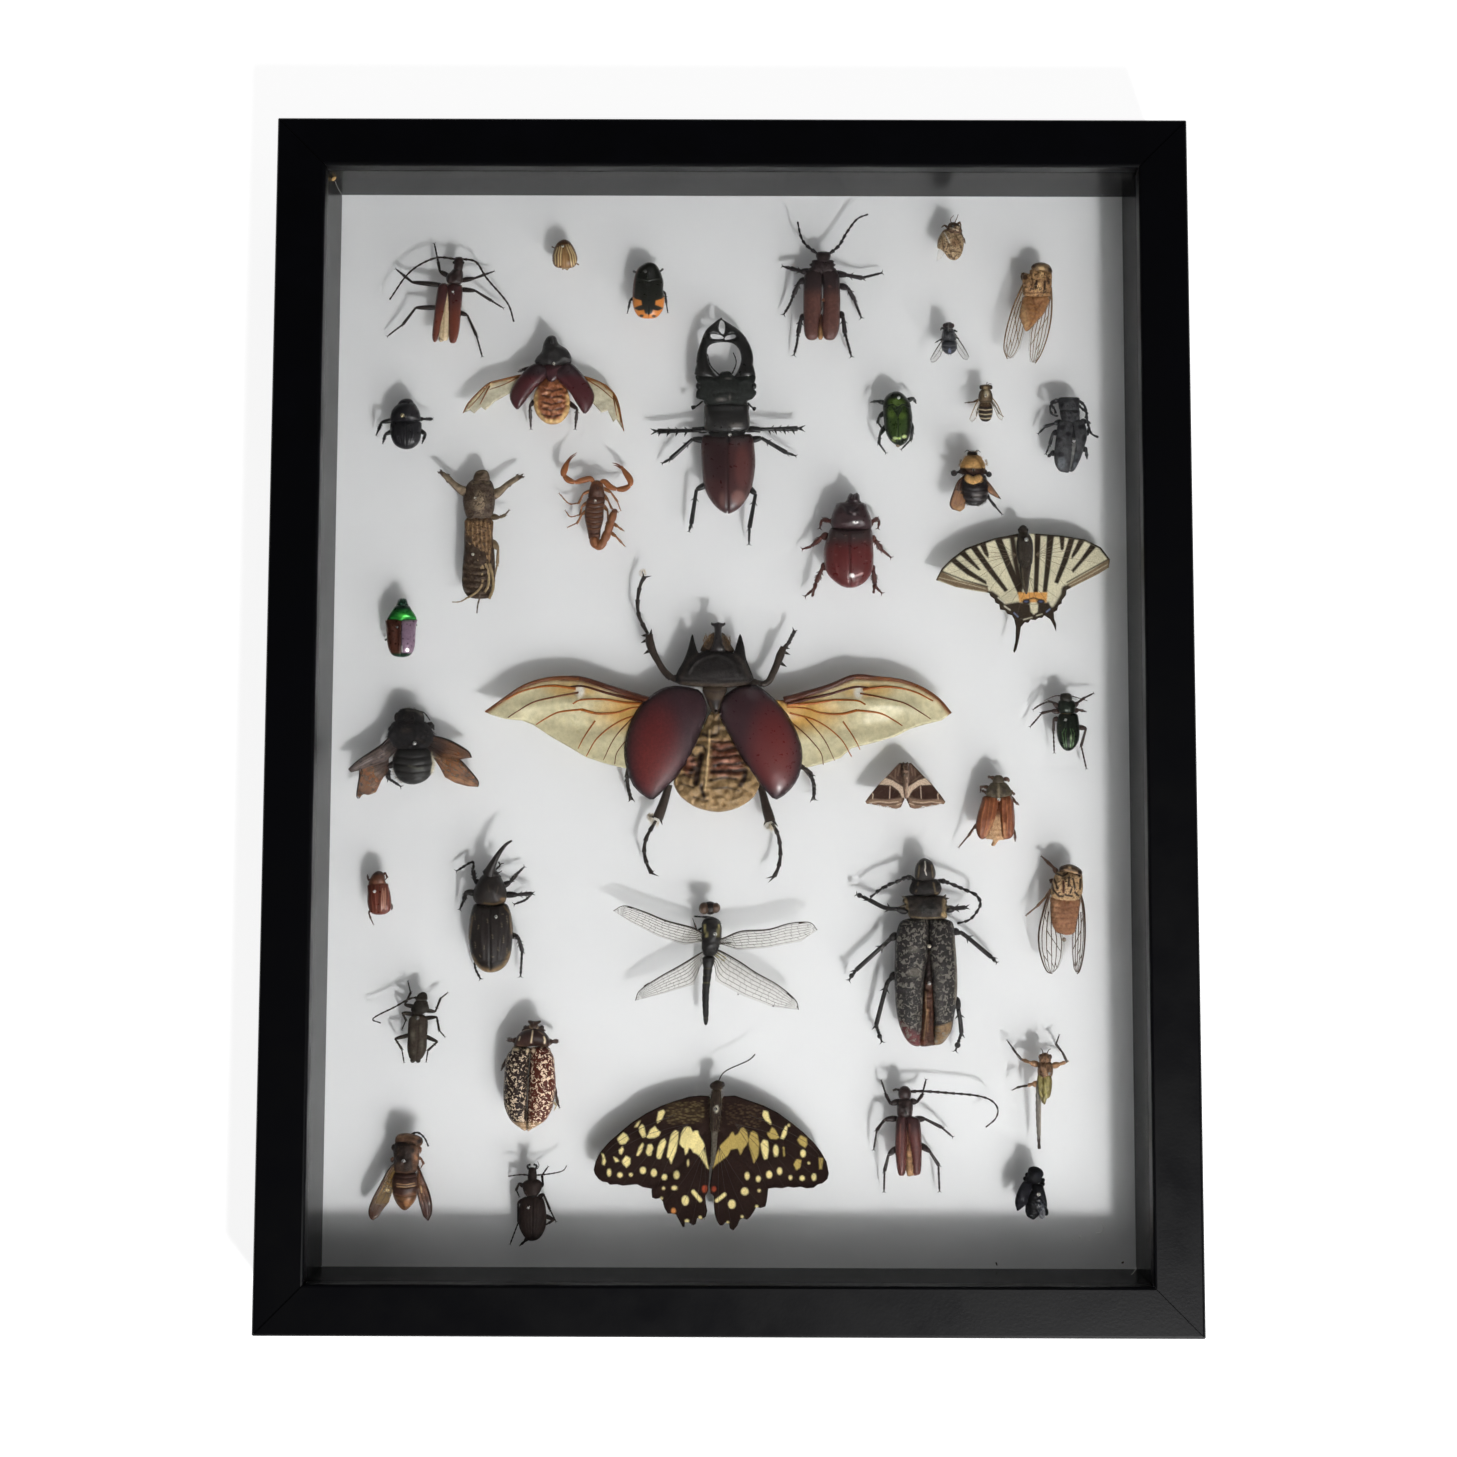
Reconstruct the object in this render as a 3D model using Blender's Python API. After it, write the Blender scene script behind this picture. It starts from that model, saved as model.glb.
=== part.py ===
"""Framed insect collection: a glazed black shadow-box frame with pinned specimens on a white board.

The frame lies on its back. Metres, +Z up out of the glass, +Y to the top of the frame. The origin
is the middle of the frame's back.
"""
import math

import bmesh
import bpy
from mathutils import Matrix, Vector

MM = 0.001
GAP = 0.3 * MM                      # left between pieces that touch

# Frame
FRAME_WIDTH = 320 * MM
FRAME_HEIGHT = 420 * MM
FRAME_DEPTH = 42 * MM
WALL = 10 * MM                      # thickness of a rail's wall
LIP_WIDTH = 17.25 * MM              # the rail's face, wall and lip together
LIP_THICKNESS = 5 * MM
OUTER_ROUND = 1.2 * MM
INNER_ROUND = 1.0 * MM
MITRE_GAP = GAP * 0.71              # along a rail, for GAP square to the mitre

# What the rails hold, from the front to the back
GLASS_THICKNESS = 2 * MM
SPACER_SETBACK = 0.5 * MM           # the spacer's face stands this far behind the lip's edge
BOARD_TOP = 10.5 * MM
BOARD_THICKNESS = 5 * MM
BACKING_THICKNESS = 3 * MM

# Back tabs and hanger
TAB_LENGTH = 12 * MM
TAB_WIDTH = 8 * MM
TAB_THICKNESS = 0.5 * MM
TAB_IN_RAIL = 4 * MM
HANGER_LENGTH = 46 * MM
HANGER_WIDTH = 7 * MM
HANGER_THICKNESS = 1 * MM
HANGER_SINK = 2.2 * MM              # depth of the recess for it in the top rail's back
HANGER_TEETH = 9
NAIL_RADIUS = 0.8 * MM
NAIL_HEAD_RADIUS = 1.8 * MM
NAIL_LENGTH = 8 * MM
NAIL_SPACING = 36 * MM

# Specimens: heights in millimetres above the board
TRUNK_HEIGHT = 9.0
LEG_HEIGHTS = (8.0, 8.6, 5.0)       # root, knee, foot
FEELER_HEIGHTS = (9.0, 9.6, 10.4)   # root, middle, tip
PIN_SHAFT = 0.32
PIN_HEAD = 0.75
PIN_ABOVE_BACK = 2.4

INNER_X = FRAME_WIDTH / 2 - WALL
INNER_Y = FRAME_HEIGHT / 2 - WALL
LIP_BOTTOM = FRAME_DEPTH - LIP_THICKNESS
GLASS_TOP = LIP_BOTTOM - GAP
GLASS_BOTTOM = GLASS_TOP - GLASS_THICKNESS
BACKING_TOP = BOARD_TOP - BOARD_THICKNESS - GAP
BACKING_BOTTOM = BACKING_TOP - BACKING_THICKNESS

BLACK = (0.010, 0.010, 0.011)
DARK_BROWN = (0.030, 0.018, 0.013)
RED_BROWN = (0.095, 0.026, 0.018)
MAROON = (0.050, 0.013, 0.013)
TAN = (0.250, 0.130, 0.050)
CREAM = (0.680, 0.600, 0.380)
GREEN = (0.020, 0.070, 0.015)
BLUE_BLACK = (0.012, 0.013, 0.022)

# Each specimen, in millimetres from its own point on the board, with +y to the frame's top.
#   at      the point on the board, from the frame's middle
#   trunk   (x, y, half width) down the body from the head; flat is its height over its width
#   legs, feelers, horns, claws, tails   (radius, points)
#   plates  (height, thickness, outline, holes): wings, opened wing cases, jaws
#   pins    where a pin goes through
SPECIMENS = {
    "small_brown_longhorn_beetle": dict(
        at=(-101, 152), colour=RED_BROWN, flat=0.5,
        trunk=[(2, 15.2, 1.2), (1.8, 12.5, 2.2), (1, 9, 3.2), (0.6, 5.8, 3.2), (-0.8, 4.5, 4.6),
               (-1.5, -4, 4.3), (-2.2, -13, 3.6), (-2.5, -16, 1.8)],
        legs=[(0.4, [(-1, 9), (-5, 12), (-6.5, 20)]), (0.4, [(2, 7), (10, 7.8), (15.3, 10.5)]),
              (0.4, [(-3, 4), (-14, 6), (-20, 10.5)]), (0.4, [(1, 4), (12, 0.8), (19, -3.4)]),
              (0.4, [(-4, -3.6), (-13.3, -3.7), (-22, -13.7)]),
              (0.4, [(0, -4.8), (6, -6.3), (11.5, -21)])],
        feelers=[(0.35, [(1.4, 14), (-6, 14.8), (-11, 13), (-16.5, 8.5), (-22, -1)]),
                 (0.35, [(2.4, 14), (9.5, 13.2), (12.5, 8.2), (20, -1), (23, -9)])],
        pins=[(0.4, 2.2)]),
    "potato_beetle": dict(
        at=(-60, 168), colour=TAN, flat=0.7,
        trunk=[(-0.5, 5, 1), (-0.9, 3.5, 3.2), (-0.4, 1, 4), (-0.2, -2, 4.3), (-0.3, -4.8, 3.2),
               (-0.3, -5.8, 1.8)],
        pins=[(-0.9, 2.5)]),
    "spotted_chafer": dict(
        at=(-30, 155), colour=GREEN, flat=0.6,
        trunk=[(0.3, 9.6, 1), (0.1, 8, 3.2), (-0.3, 5.5, 4.9), (-0.1, 2, 5.6), (-0.1, -4, 5.4),
               (-0.2, -8, 4.7), (-0.3, -11, 1.8)],
        legs=[(0.4, [(-4, -2), (-6.7, -4.5), (-7.3, -8.7)]),
              (0.4, [(4, -1), (6.5, -2), (6.8, -8)])],
        pins=[(-1, 6.3)]),
    "red_longhorn_beetle": dict(
        at=(36, 157), colour=RED_BROWN, flat=0.5,
        trunk=[(-2.9, 11.8, 1.8), (-3, 9, 3), (-3.4, 5.8, 4.4), (-3.7, 4.4, 6), (-4, -6, 5.6),
               (-4.2, -14, 5), (-4.3, -19.8, 3.4)],
        legs=[(0.45, [(-6, 5), (-12, 5.8), (-16.5, 7)]), (0.45, [(0, 4.5), (11.5, 2.2), (17.5, 5.3)]),
              (0.45, [(-8, 1), (-12.5, 0), (-16.5, -9.7)]),
              (0.45, [(-1, 1), (6, -0.5), (10.8, -10.8)]),
              (0.45, [(-7.5, -10.5), (-12, -13), (-12.7, -24.3)]),
              (0.45, [(-1.5, -9.5), (4.3, -14), (7, -25.3)])],
        feelers=[(0.45, [(-3.8, 10.6), (-8, 14.5), (-11.5, 18.5), (-12.5, 23.8)]),
                 (0.45, [(-2, 10.6), (6.5, 20.5), (9.5, 24.7), (13.8, 26)])],
        pins=[(-2.9, -5.9)]),
    "small_brown_bug": dict(
        at=(79, 175), colour=TAN, flat=0.55,
        trunk=[(1, 5, 1.6), (1.5, 3, 3), (0.8, 0, 4), (0.6, -4, 4.4), (0, -8.3, 3)],
        legs=[(0.35, [(3, 1), (5.8, -2.7)])],
        feelers=[(0.3, [(1.6, 4), (3.5, 8.5)])],
        plates=[(9.4, 0.5, [(-1, 1), (-3.6, 0), (-4.6, -4.5), (-5, -9), (-3.4, -8.5), (-1, -6)], [])],
        pins=[(1, 1)]),
    "small_cicada": dict(
        at=(108, 147), colour=TAN, flat=0.65,
        trunk=[(3.9, 18.5, 2.4), (3.8, 16.5, 3.8), (2.8, 12, 4.4), (1.5, 8, 4.6), (0.5, 3, 4),
               (-0.8, -2, 3), (-2, -6.3, 1.2)],
        plates=[(9.6, 0.5, [(1, 11), (-3, 11), (-5.5, 6), (-8, 0), (-9.5, -8), (-9.7, -13),
                            (-8.5, -17), (-5.5, -14), (-3, -7), (-0.5, 2)], []),
                (9.6, 0.5, [(4, 10), (7.4, 10), (7.1, 4), (6, -5), (4, -12), (0.5, -19),
                            (-0.4, -14), (0.2, -8), (1.5, 2)], [])],
        pins=[(2.5, 10)]),
    "blowfly": dict(
        at=(79, 136), colour=BLUE_BLACK, flat=0.8,
        trunk=[(-1, 7.8, 1.2), (-1, 6.5, 2), (-0.8, 3.5, 2.3), (-0.5, 0, 2.8), (-0.5, -4.1, 1.6)],
        legs=[(0.35, [(-1.5, 5.5), (-3.9, 5.6)]), (0.3, [(-2, -0.5), (-6.3, -0.7)])],
        plates=[(9.5, 0.5, [(-1.5, 2.5), (-6, -1), (-7.3, -5), (-6.5, -7.5), (-3, -3.5), (-1, 0)], []),
                (9.5, 0.5, [(0.6, 3), (4.5, -1.5), (6.5, -4.5), (6.2, -6.3), (3.5, -5.5), (0.4, -1)],
                 [])],
        pins=[(-0.6, 4.8)]),
    "stag_beetle": dict(
        at=(-1, 105), colour=BLACK, flat=0.45,
        trunk=[(-1, 19.5, 8.6), (-1, 18, 10.6), (-1, 13, 10.8), (-0.8, 10, 7.8), (-0.8, 8.6, 7.6),
               (-0.9, 7.4, 8.4), (-0.9, -2.4, 8.2), (-0.4, -4, 9.2), (-0.2, -12, 10),
               (-0.2, -20, 8.8), (0.2, -27, 6.2), (0, -31.5, 1.8)],
        legs=[(0.8, [(-7, -1), (-13, -1.3), (-26, -1.2)]), (0.8, [(5, -0.8), (11, -0.8), (25.5, -0.6)]),
              (0.7, [(-7, -5), (-13, -4.5), (-22.5, -12.7)]),
              (0.7, [(7, -5), (12, -4), (23.5, -10.3)]),
              (0.7, [(-7, -20), (-11.7, -23), (-14, -37)]),
              (0.7, [(6, -21), (9.7, -24.5), (7.5, -41)])],
        feelers=[(0.5, [(-6.5, 10), (-9.5, 9), (-13, 7)]), (0.5, [(5, 10), (6.8, 9), (9.5, 7)])],
        plates=[(9.6, 2.6,
                 [(-10.2, 16), (-11.8, 25), (-11, 30), (-9, 35), (-6, 38.5), (-2.5, 40.4),
                  (2, 37.5), (5.5, 34.5), (8, 30), (8.9, 25), (8, 16)],
                 [[(-7.3, 22), (-7.5, 27), (-5.5, 30.3), (-1.5, 31), (2.8, 30), (4.5, 27),
                   (4.4, 22.5), (2.6, 20.8), (-5.4, 20.8)],
                  [(-7, 34), (-7, 32.6), (-1.7, 33.1), (2.6, 32.6), (2.6, 34), (-1.7, 33.8)],
                  [(-2.8, 39.2), (-4, 36.8), (-2.8, 34.6), (-1.6, 36.8)]])],
        pins=[(0.5, -2.7)]),
    "small_rhinoceros_beetle": dict(
        at=(-67, 121), colour=MAROON, flat=0.55,
        trunk=[(3.5, 18, 1.8), (3.5, 14.5, 4), (3.8, 11, 5.8), (3.8, 8, 6), (3.5, 3, 5),
               (3.5, -4, 6.3), (3.5, -10, 6), (3.5, -14.7, 2.4)],
        legs=[(0.45, [(-1, -5), (-4.5, -9), (-4.8, -16.3)]), (0.45, [(8, -6), (12, -13), (11.5, -17)]),
              (0.45, [(0, 6), (-6.5, 5), (-9, 4.5)])],
        plates=[(8.6, 0.5, [(1, 3), (-8, 2.5), (-19, 0.2), (-24, -3), (-27.5, -7), (-28.7, -10.5),
                            (-25, -10.5), (-20, -8.5), (-12, -4), (1, -1)], []),
                (8.6, 0.5, [(5, 3), (14, 2.5), (21, -0.5), (24.5, -3), (26.5, -6), (27.5, -12),
                            (28.5, -17), (25, -11), (22, -9), (16, -5), (6, -1)], []),
                (10.4, 1.4, [(-2.5, 8), (-6, 6), (-10.5, 1), (-11.7, -4), (-11, -7), (-9, -9.3),
                             (-4, -4), (-0.5, 0), (2.4, 5)], []),
                (10.4, 1.4, [(8, 7.5), (12, 7.5), (15, 2.5), (17.5, -3), (18, -7.5), (14.8, -10.8),
                             (10, -4), (6, 2), (5, 5)], [])],
        pins=[(4, 7.2)]),
    "black_dung_beetle": dict(
        at=(-117, 106), colour=BLACK, flat=0.6,
        trunk=[(0.6, 7.8, 1.5), (0.4, 6, 4.2), (0.4, 2.5, 5.3), (0.4, -2, 5.6), (0.3, -7, 4.7),
               (0.2, -10, 2)],
        legs=[(0.45, [(-3, 1), (-9, -0.8), (-10, -4.8)]), (0.45, [(3, 1), (9.4, 0.5)]),
              (0.4, [(-3.5, -3.5), (-6.8, -5), (-7.5, -8)]),
              (0.4, [(4, -2.8), (7.2, -4), (7.0, -7.3)])],
        pins=[(-0.7, 2)]),
    "green_chafer": dict(
        at=(59, 108), colour=GREEN, flat=0.6,
        trunk=[(0.6, 9.8, 1.2), (0.3, 7.8, 3.6), (0.3, 5, 4.9), (0.4, 0, 5.3), (0.5, -4, 5),
               (0.6, -7.2, 3.2), (0.3, -9.5, 1.2)],
        legs=[(0.4, [(-2.5, 6.8), (-8.5, 6.3)]), (0.4, [(2.5, 7), (6.5, 8)]),
              (0.4, [(-3, -3), (-6.3, -7), (-3.8, -11.6)]),
              (0.4, [(3.5, -1.5), (6.2, -5), (2.5, -10.2)])],
        pins=[(1.1, 7.4)]),
    "honey_bee": dict(
        at=(91, 114), colour=TAN, flat=0.8,
        trunk=[(0.6, 6.6, 1.4), (0.6, 5.2, 2), (0.5, 3.5, 2.6), (0.5, 1.2, 2.2), (0.4, -0.2, 2),
               (0.4, -2.5, 2.6), (0.3, -5, 2), (0.2, -6.8, 0.8)],
        legs=[(0.3, [(-1, 0.8), (-7.5, 0)]), (0.3, [(1.5, 1), (5.5, -3), (7, -4.6)])],
        plates=[(9.5, 0.5, [(-0.8, 1), (-3, 0), (-4, -2), (-5.3, -6), (-3.5, -5), (-0.8, -1)], []),
                (9.5, 0.5, [(1.4, 2), (3.3, 1.5), (6, -4.3), (4, -3), (1.2, -0.5)], [])],
        pins=[(0.8, 4.4)]),
    "grey_longhorn_beetle": dict(
        at=(121, 103), colour=BLUE_BLACK, flat=0.55,
        trunk=[(0.3, 13.2, 2), (0.3, 11, 3.2), (0, 8.8, 3), (0.2, 5.2, 3.8), (0.3, 3.5, 4.6),
               (-0.3, -4, 5), (-0.5, -9, 4.6), (-0.8, -14, 2.2)],
        legs=[(0.45, [(-2, 4.3), (-8, 2.7), (-10.3, 0.7)]),
              (0.45, [(-3, 0.7), (-6.3, 1.2), (-8.3, -6.5)]),
              (0.45, [(-3, -8), (-7.2, -8.6)]), (0.45, [(2, 4.9), (6, 4.7), (7.5, 2)]),
              (0.45, [(3, 1.5), (7.8, 1.5), (6.4, -8)])],
        feelers=[(0.5, [(-1, 12), (-4.5, 11.5), (-6.3, 9), (-4, 7)]),
                 (0.45, [(1.5, 12), (8, 8), (8, 3), (11.3, -1)])],
        pins=[(2.2, -2.8)]),
    "bumblebee": dict(
        at=(87, 85), colour=TAN, flat=0.8,
        trunk=[(-0.8, 11.2, 2), (-0.6, 9.5, 3.8), (-0.5, 7, 4.7), (-0.3, 3.5, 4.6), (0.8, 1, 3.8),
               (0.9, -3, 4), (0.9, -6, 3.2), (0.9, -8.2, 1.2)],
        legs=[(0.6, [(-3, 4), (-8, 4)]), (0.6, [(3, 3.5), (6, 3.2)]),
              (0.3, [(3, -3), (7, -8), (9.5, -10.7)])],
        plates=[(9.6, 0.5, [(-2, 2), (-5.5, 1.5), (-7, -2), (-8.3, -7), (-7, -9.3), (-5, -10.4),
                            (-3.2, -8.7), (-1.6, -3)], []),
                (9.6, 0.5, [(3, 2), (5, 2), (7, -2), (9.3, -5.5), (7, -5), (3, -1)], [])],
        pins=[(-0.5, 5)]),
    "mole_cricket": dict(
        at=(-89, 65), colour=DARK_BROWN, flat=0.65,
        trunk=[(-0.4, 24.6, 1.6), (-0.5, 22.3, 2.6), (-1.5, 19, 4.6), (-1.6, 14, 5.4),
               (-1.6, 8.5, 4.2), (-1.3, 3, 4.7), (-1.6, -8, 4.8), (-1.9, -16, 4.2),
               (-2.2, -21.5, 2)],
        legs=[(1.1, [(-4, 15), (-9.5, 19), (-15.5, 24)]), (1.1, [(1, 14.5), (8, 18.5), (14.3, 22.5)]),
              (0.5, [(1, 8), (7, 8.2), (9, 9.7)]),
              (0.5, [(1, -1), (5.5, -5), (4.5, -16), (2.5, -22.5)])],
        feelers=[(0.35, [(-2.6, -19.5), (-7, -22.9), (-10, -23)]),
                 (0.35, [(-1.6, -19.5), (-1.3, -24.5), (-1.2, -27.3)])],
        pins=[(-2.6, 14.7)]),
    "scorpion": dict(
        at=(-48, 78), colour=DARK_BROWN, flat=0.6,
        trunk=[(0, 7.4, 1.6), (0, 5.5, 2.2), (-0.2, 3, 2.6), (-0.4, -3, 3.4), (-0.7, -8, 3.7),
               (-1, -12.5, 2.4), (-1, -14.5, 1.4)],
        legs=[(0.35, [(-1, 3), (-6.5, -0.3), (-13.3, 2)]), (0.35, [(-1, 0), (-5.8, -4.5), (-11.2, -3.8)]),
              (0.35, [(-1.5, -3), (-5.5, -7.3), (-10, -9.5)]),
              (0.35, [(1, 4), (5, 2), (8.3, -3)]), (0.35, [(0.5, 1), (4.4, -2.4), (7.3, -4)]),
              (0.35, [(0.5, -8), (4, -9.5), (9.5, -10.7)]),
              (0.35, [(0.2, -10.6), (4, -12.5), (10, -16)])],
        claws=[(0.8, [(-0.7, 6.2), (-3, 8.2), (-8, 6.7), (-11.8, 8.6)]),
               (0.8, [(0.7, 6.2), (3, 6.6), (6, 4.5), (11.5, 5.2)]),
               (1.5, [(-11.8, 7.8), (-11.2, 12.5), (-7.5, 17.5)]),
               (1.5, [(11.6, 4.4), (9, 11.8), (5.5, 14)])],
        tails=[(1.3, [(-1, -13.2), (0, -17.3), (2.5, -16.5), (5.5, -9.5), (6.5, -4)])],
        pins=[(-0.6, 0)]),
    "red_rhinoceros_beetle": dict(
        at=(42, 63), colour=MAROON, flat=0.55,
        trunk=[(2.2, 18.3, 1.6), (1.8, 15.8, 3.4), (1, 13, 6), (1, 8, 7), (0.8, 4, 7.9),
               (-0.2, -3, 8.8), (-0.4, -10, 7.8), (-0.2, -14, 4.8), (-0.5, -16, 1.8)],
        legs=[(0.5, [(-3, 7), (-8.5, 9), (-10.3, 8.3)]), (0.5, [(4, 7), (10, 9), (11.5, 8.5)]),
              (0.5, [(-5, 3.5), (-12, 0.8), (-15.8, -1.7)]), (0.5, [(5, 1), (11, -1.5), (14.3, -4.8)]),
              (0.5, [(-6, -7), (-11.5, -13), (-14.5, -18.3)]),
              (0.5, [(5, -7), (9.5, -13), (11.3, -17.3)])],
        pins=[(4.5, 10.4)]),
    "swallowtail_butterfly": dict(
        at=(105, 47), colour=CREAM, flat=0.8,
        trunk=[(0, 22.5, 1), (0.2, 20, 2), (0.2, 14, 2.2), (0.2, 6, 1.8), (0.3, 0, 1.1), (0.3, -6, 0.6)],
        plates=[(9.5, 0.5,
                 [(-2.5, 19), (-12, 17), (-23, 13.5), (-29, 8.5), (-31.8, 3), (-20, -0.5),
                  (-12.3, -2), (-12.8, -4), (-9, -7), (-6, -7), (-5.5, -10), (-3.2, -11),
                  (-3.3, -20), (-4.8, -23.8), (-1.8, -20), (0, -13), (3, -12), (9.5, -11.5),
                  (10.3, -15.5), (10.5, -9), (13.5, -5), (15.8, 0), (22, 3.5), (30, 7), (30.5, 9.5),
                  (25, 15), (20, 18.3), (10, 19.5), (2, 19.5)], [])],
        pins=[(0.6, 16.8)]),
    "jewel_chafer": dict(
        at=(-117, 32), colour=GREEN, flat=0.6,
        trunk=[(0.1, 10, 1.2), (0, 8, 2), (-0.3, 6, 3.5), (-0.1, 3, 4.9), (0, -2, 4.9), (0, -6, 4.6),
               (0.1, -9, 3.5), (0.3, -10.6, 1.8)],
        pins=[(-1.8, 0.2)]),
    "atlas_beetle": dict(
        at=(-4, -3), colour=BLACK, flat=0.48, solver="MANIFOLD",
        trunk=[(-0.5, 34, 1), (-0.5, 30.5, 2.8), (-0.6, 27, 5.5), (-0.8, 23.5, 9.5), (-1, 20, 12.6),
               (-1, 15.5, 13.6), (-1, 11, 9), (-0.8, 5, 7), (-0.8, -5, 8), (-0.5, -13, 12),
               (-0.3, -19, 15), (-0.3, -24, 13.5), (-0.3, -28, 9), (-0.5, -30.4, 3)],
        legs=[(0.8, [(-9, 16), (-19, 18), (-26, 33), (-29, 45), (-26, 55)]),
              (0.8, [(7, 15.5), (17, 17), (25, 30), (27.5, 35)]),
              (0.8, [(-4, -1), (-28, -15), (-32.8, -21), (-30.5, -27)]),
              (0.8, [(3, -1), (28, -15), (34, -23), (32, -28)]),
              (0.8, [(-10, -17), (-21, -30), (-25.5, -42), (-21, -53)]),
              (0.8, [(9, -17), (18.5, -31), (21.5, -45), (16.5, -53.5)])],
        horns=[(0.9, [(-8, 22), (-8.8, 27), (-9.3, 33)]), (0.9, [(6.5, 22), (7.4, 27), (7.8, 33)]),
               (1.2, [(-0.7, 28), (-0.8, 34.4), (-1, 36.4)])],
        plates=[(8.85, 0.6,
                 [(-6, 10), (-24, 9), (-38, 13.5), (-49, 17), (-56, 17.3), (-63, 16.5), (-70, 14),
                  (-76, 10), (-83, 5), (-76, 2.5), (-66, 0.5), (-53, -7.5), (-41, -13),
                  (-32.5, -15), (-5, -5)], []),
                (8.9, 0.6,
                 [(5, 10), (23, 9.5), (38, 14), (48, 18), (57, 17.5), (65, 16.5), (72, 14),
                  (78, 10), (82.3, 5), (73, 1), (62, -3.5), (47, -7.5), (43, -11), (31, -14.5),
                  (5, -5)], []),
                (11.2, 2.2,
                 [(-14, 14), (-22, 9.5), (-28, 3), (-31.5, -5), (-33, -14), (-31, -21), (-27, -25),
                  (-23, -26.5), (-18, -22), (-8, -5), (-2.5, 6), (-5, 13)], []),
                (11.2, 2.2,
                 [(12.5, 14.5), (20, 10), (26, 4), (29.5, -3), (30.5, -12), (29, -20), (26, -24),
                  (21, -26.5), (16, -21), (6, -6), (0.6, 6), (4, 13)], [])],
        pins=[(-1.5, 6)]),
    "carpenter_bee": dict(
        at=(-111, -12), colour=BLACK, flat=0.7,
        trunk=[(-3.8, 14.6, 2.5), (-3.6, 12, 4.6), (-4, 9, 5.8), (-3.8, 6, 6.6), (-3, 3, 6.2),
               (-2.3, 0, 6), (-2, -5, 6.3), (-1.8, -9, 4.6), (-1.3, -11.4, 1.8)],
        legs=[(0.8, [(-5, -2), (-11.5, -5), (-10, -9.5), (-6.5, -10.8)]), (0.7, [(1, 7.5), (4.3, 9.4)])],
        plates=[(9.6, 0.5, [(-5, 7), (-9, 4.8), (-16, 0.5), (-19.5, -1), (-23, -4.5), (-22.5, -6.2),
                            (-18.7, -6), (-20, -10), (-20.3, -15.8), (-18.5, -16.5),
                            (-17.4, -14.4), (-15.7, -15.1), (-11.8, -10.8), (-12.4, -5),
                            (-5, -2)], []),
                (9.6, 0.5, [(1, 6), (8, 6), (10.3, 5), (11, 3.3), (14.5, 2.7), (17.8, -0.8),
                            (16.6, -2.2), (20.5, -6.5), (21.8, -9.5), (21.6, -11.5),
                            (20.5, -12.2), (15, -11.2), (10.3, -8), (9.5, -3.5), (6.5, 0),
                            (1, 0)], [])],
        pins=[(0.2, 2.6)]),
    "green_ground_beetle": dict(
        at=(118, -3), colour=GREEN, flat=0.6,
        trunk=[(1.7, 12.4, 1.2), (1.9, 11, 2.4), (1.5, 9, 3.1), (1.6, 5.6, 2.6), (1.8, 4, 3.5),
               (1.7, 0, 4.1), (1.9, -4, 3.6), (1.7, -7, 2), (1.7, -8.3, 1)],
        legs=[(0.35, [(1, 7), (-5.8, 9.8), (-10.5, 6.8)]),
              (0.35, [(1, 5), (-2, 6.2), (-7.3, 5.3), (-11.4, 1)]),
              (0.35, [(0, 3), (-3.3, 2.5), (-2.9, -4.5), (-3.3, -8.5)]),
              (0.35, [(2.5, 7.5), (6, 9), (10, 12.2)]), (0.35, [(2.5, 6.3), (7.5, 5.9)]),
              (0.35, [(4, 0.3), (8.3, 0), (6, -6.2), (6, -9), (8, -13.8)])],
        feelers=[(0.3, [(1.4, 11), (-1.2, 11.9), (-5.5, 10)]), (0.3, [(2.6, 10.8), (8.7, 9.8)])],
        pins=[(1, 2.9)]),
    "moth": dict(
        at=(62, -23), colour=DARK_BROWN, flat=0.9,
        trunk=[(-0.7, 7.6, 0.9), (-0.5, 4, 1.6), (0, -1, 1.4), (0.2, -5.3, 0.7)],
        plates=[(9.4, 0.5, [(-2, 7.2), (-7, 2.3), (-12, -2.5), (-14.3, -5.7), (-12.8, -7), (-8, -8.2),
                            (-4, -9), (-0.5, -8.5), (0.4, -6), (2.5, -8.4), (6, -8), (14, -7.2),
                            (11.3, -2.3), (6.5, 2.5), (2, 7.2), (0.4, 6)], [])],
        pins=[(-0.5, 4)]),
    "cockchafer": dict(
        at=(92, -32), colour=RED_BROWN, flat=0.6,
        trunk=[(2.9, 11.8, 1.5), (2.9, 9.8, 2.4), (2.8, 7.5, 4), (2.7, 5, 4.8), (2.3, 3, 5.4),
               (2, -2, 6.6), (1.8, -6, 6.6), (1.5, -9.5, 4.6), (0.8, -11.2, 2), (0.2, -13, 0.8)],
        legs=[(0.35, [(1, 7.3), (-3.3, 7.3), (-1.9, 9.5)]), (0.35, [(4, 5.8), (8.2, 4.5), (10, 2)]),
              (0.35, [(-1.5, -3), (-7.3, -8), (-10.8, -12.7)]),
              (0.35, [(5, -5), (8.7, -8.5), (8.7, -11)])],
        feelers=[(0.35, [(2.2, 10), (-0.8, 10.5)]), (0.35, [(3.6, 9.8), (6, 10.8)])],
        pins=[(3, 3)]),
    "brown_chafer": dict(
        at=(-123, -63), colour=RED_BROWN, flat=0.65,
        trunk=[(-1.2, 7.9, 1.2), (-1.2, 6.3, 2.7), (-1, 3.5, 3.6), (-0.4, 0, 3.9), (0, -3.5, 4.1),
               (-0.2, -6, 3), (-0.3, -7.3, 1.4)],
        legs=[(0.3, [(-0.5, 6), (1.9, 7.3), (2.3, 5.6)]), (0.3, [(-2, 4.5), (-4.9, 6.6)]),
              (0.3, [(-2.5, -4.5), (-4, -7), (-2.5, -10)]), (0.3, [(2.5, -2), (4.5, -5.5)])],
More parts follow.
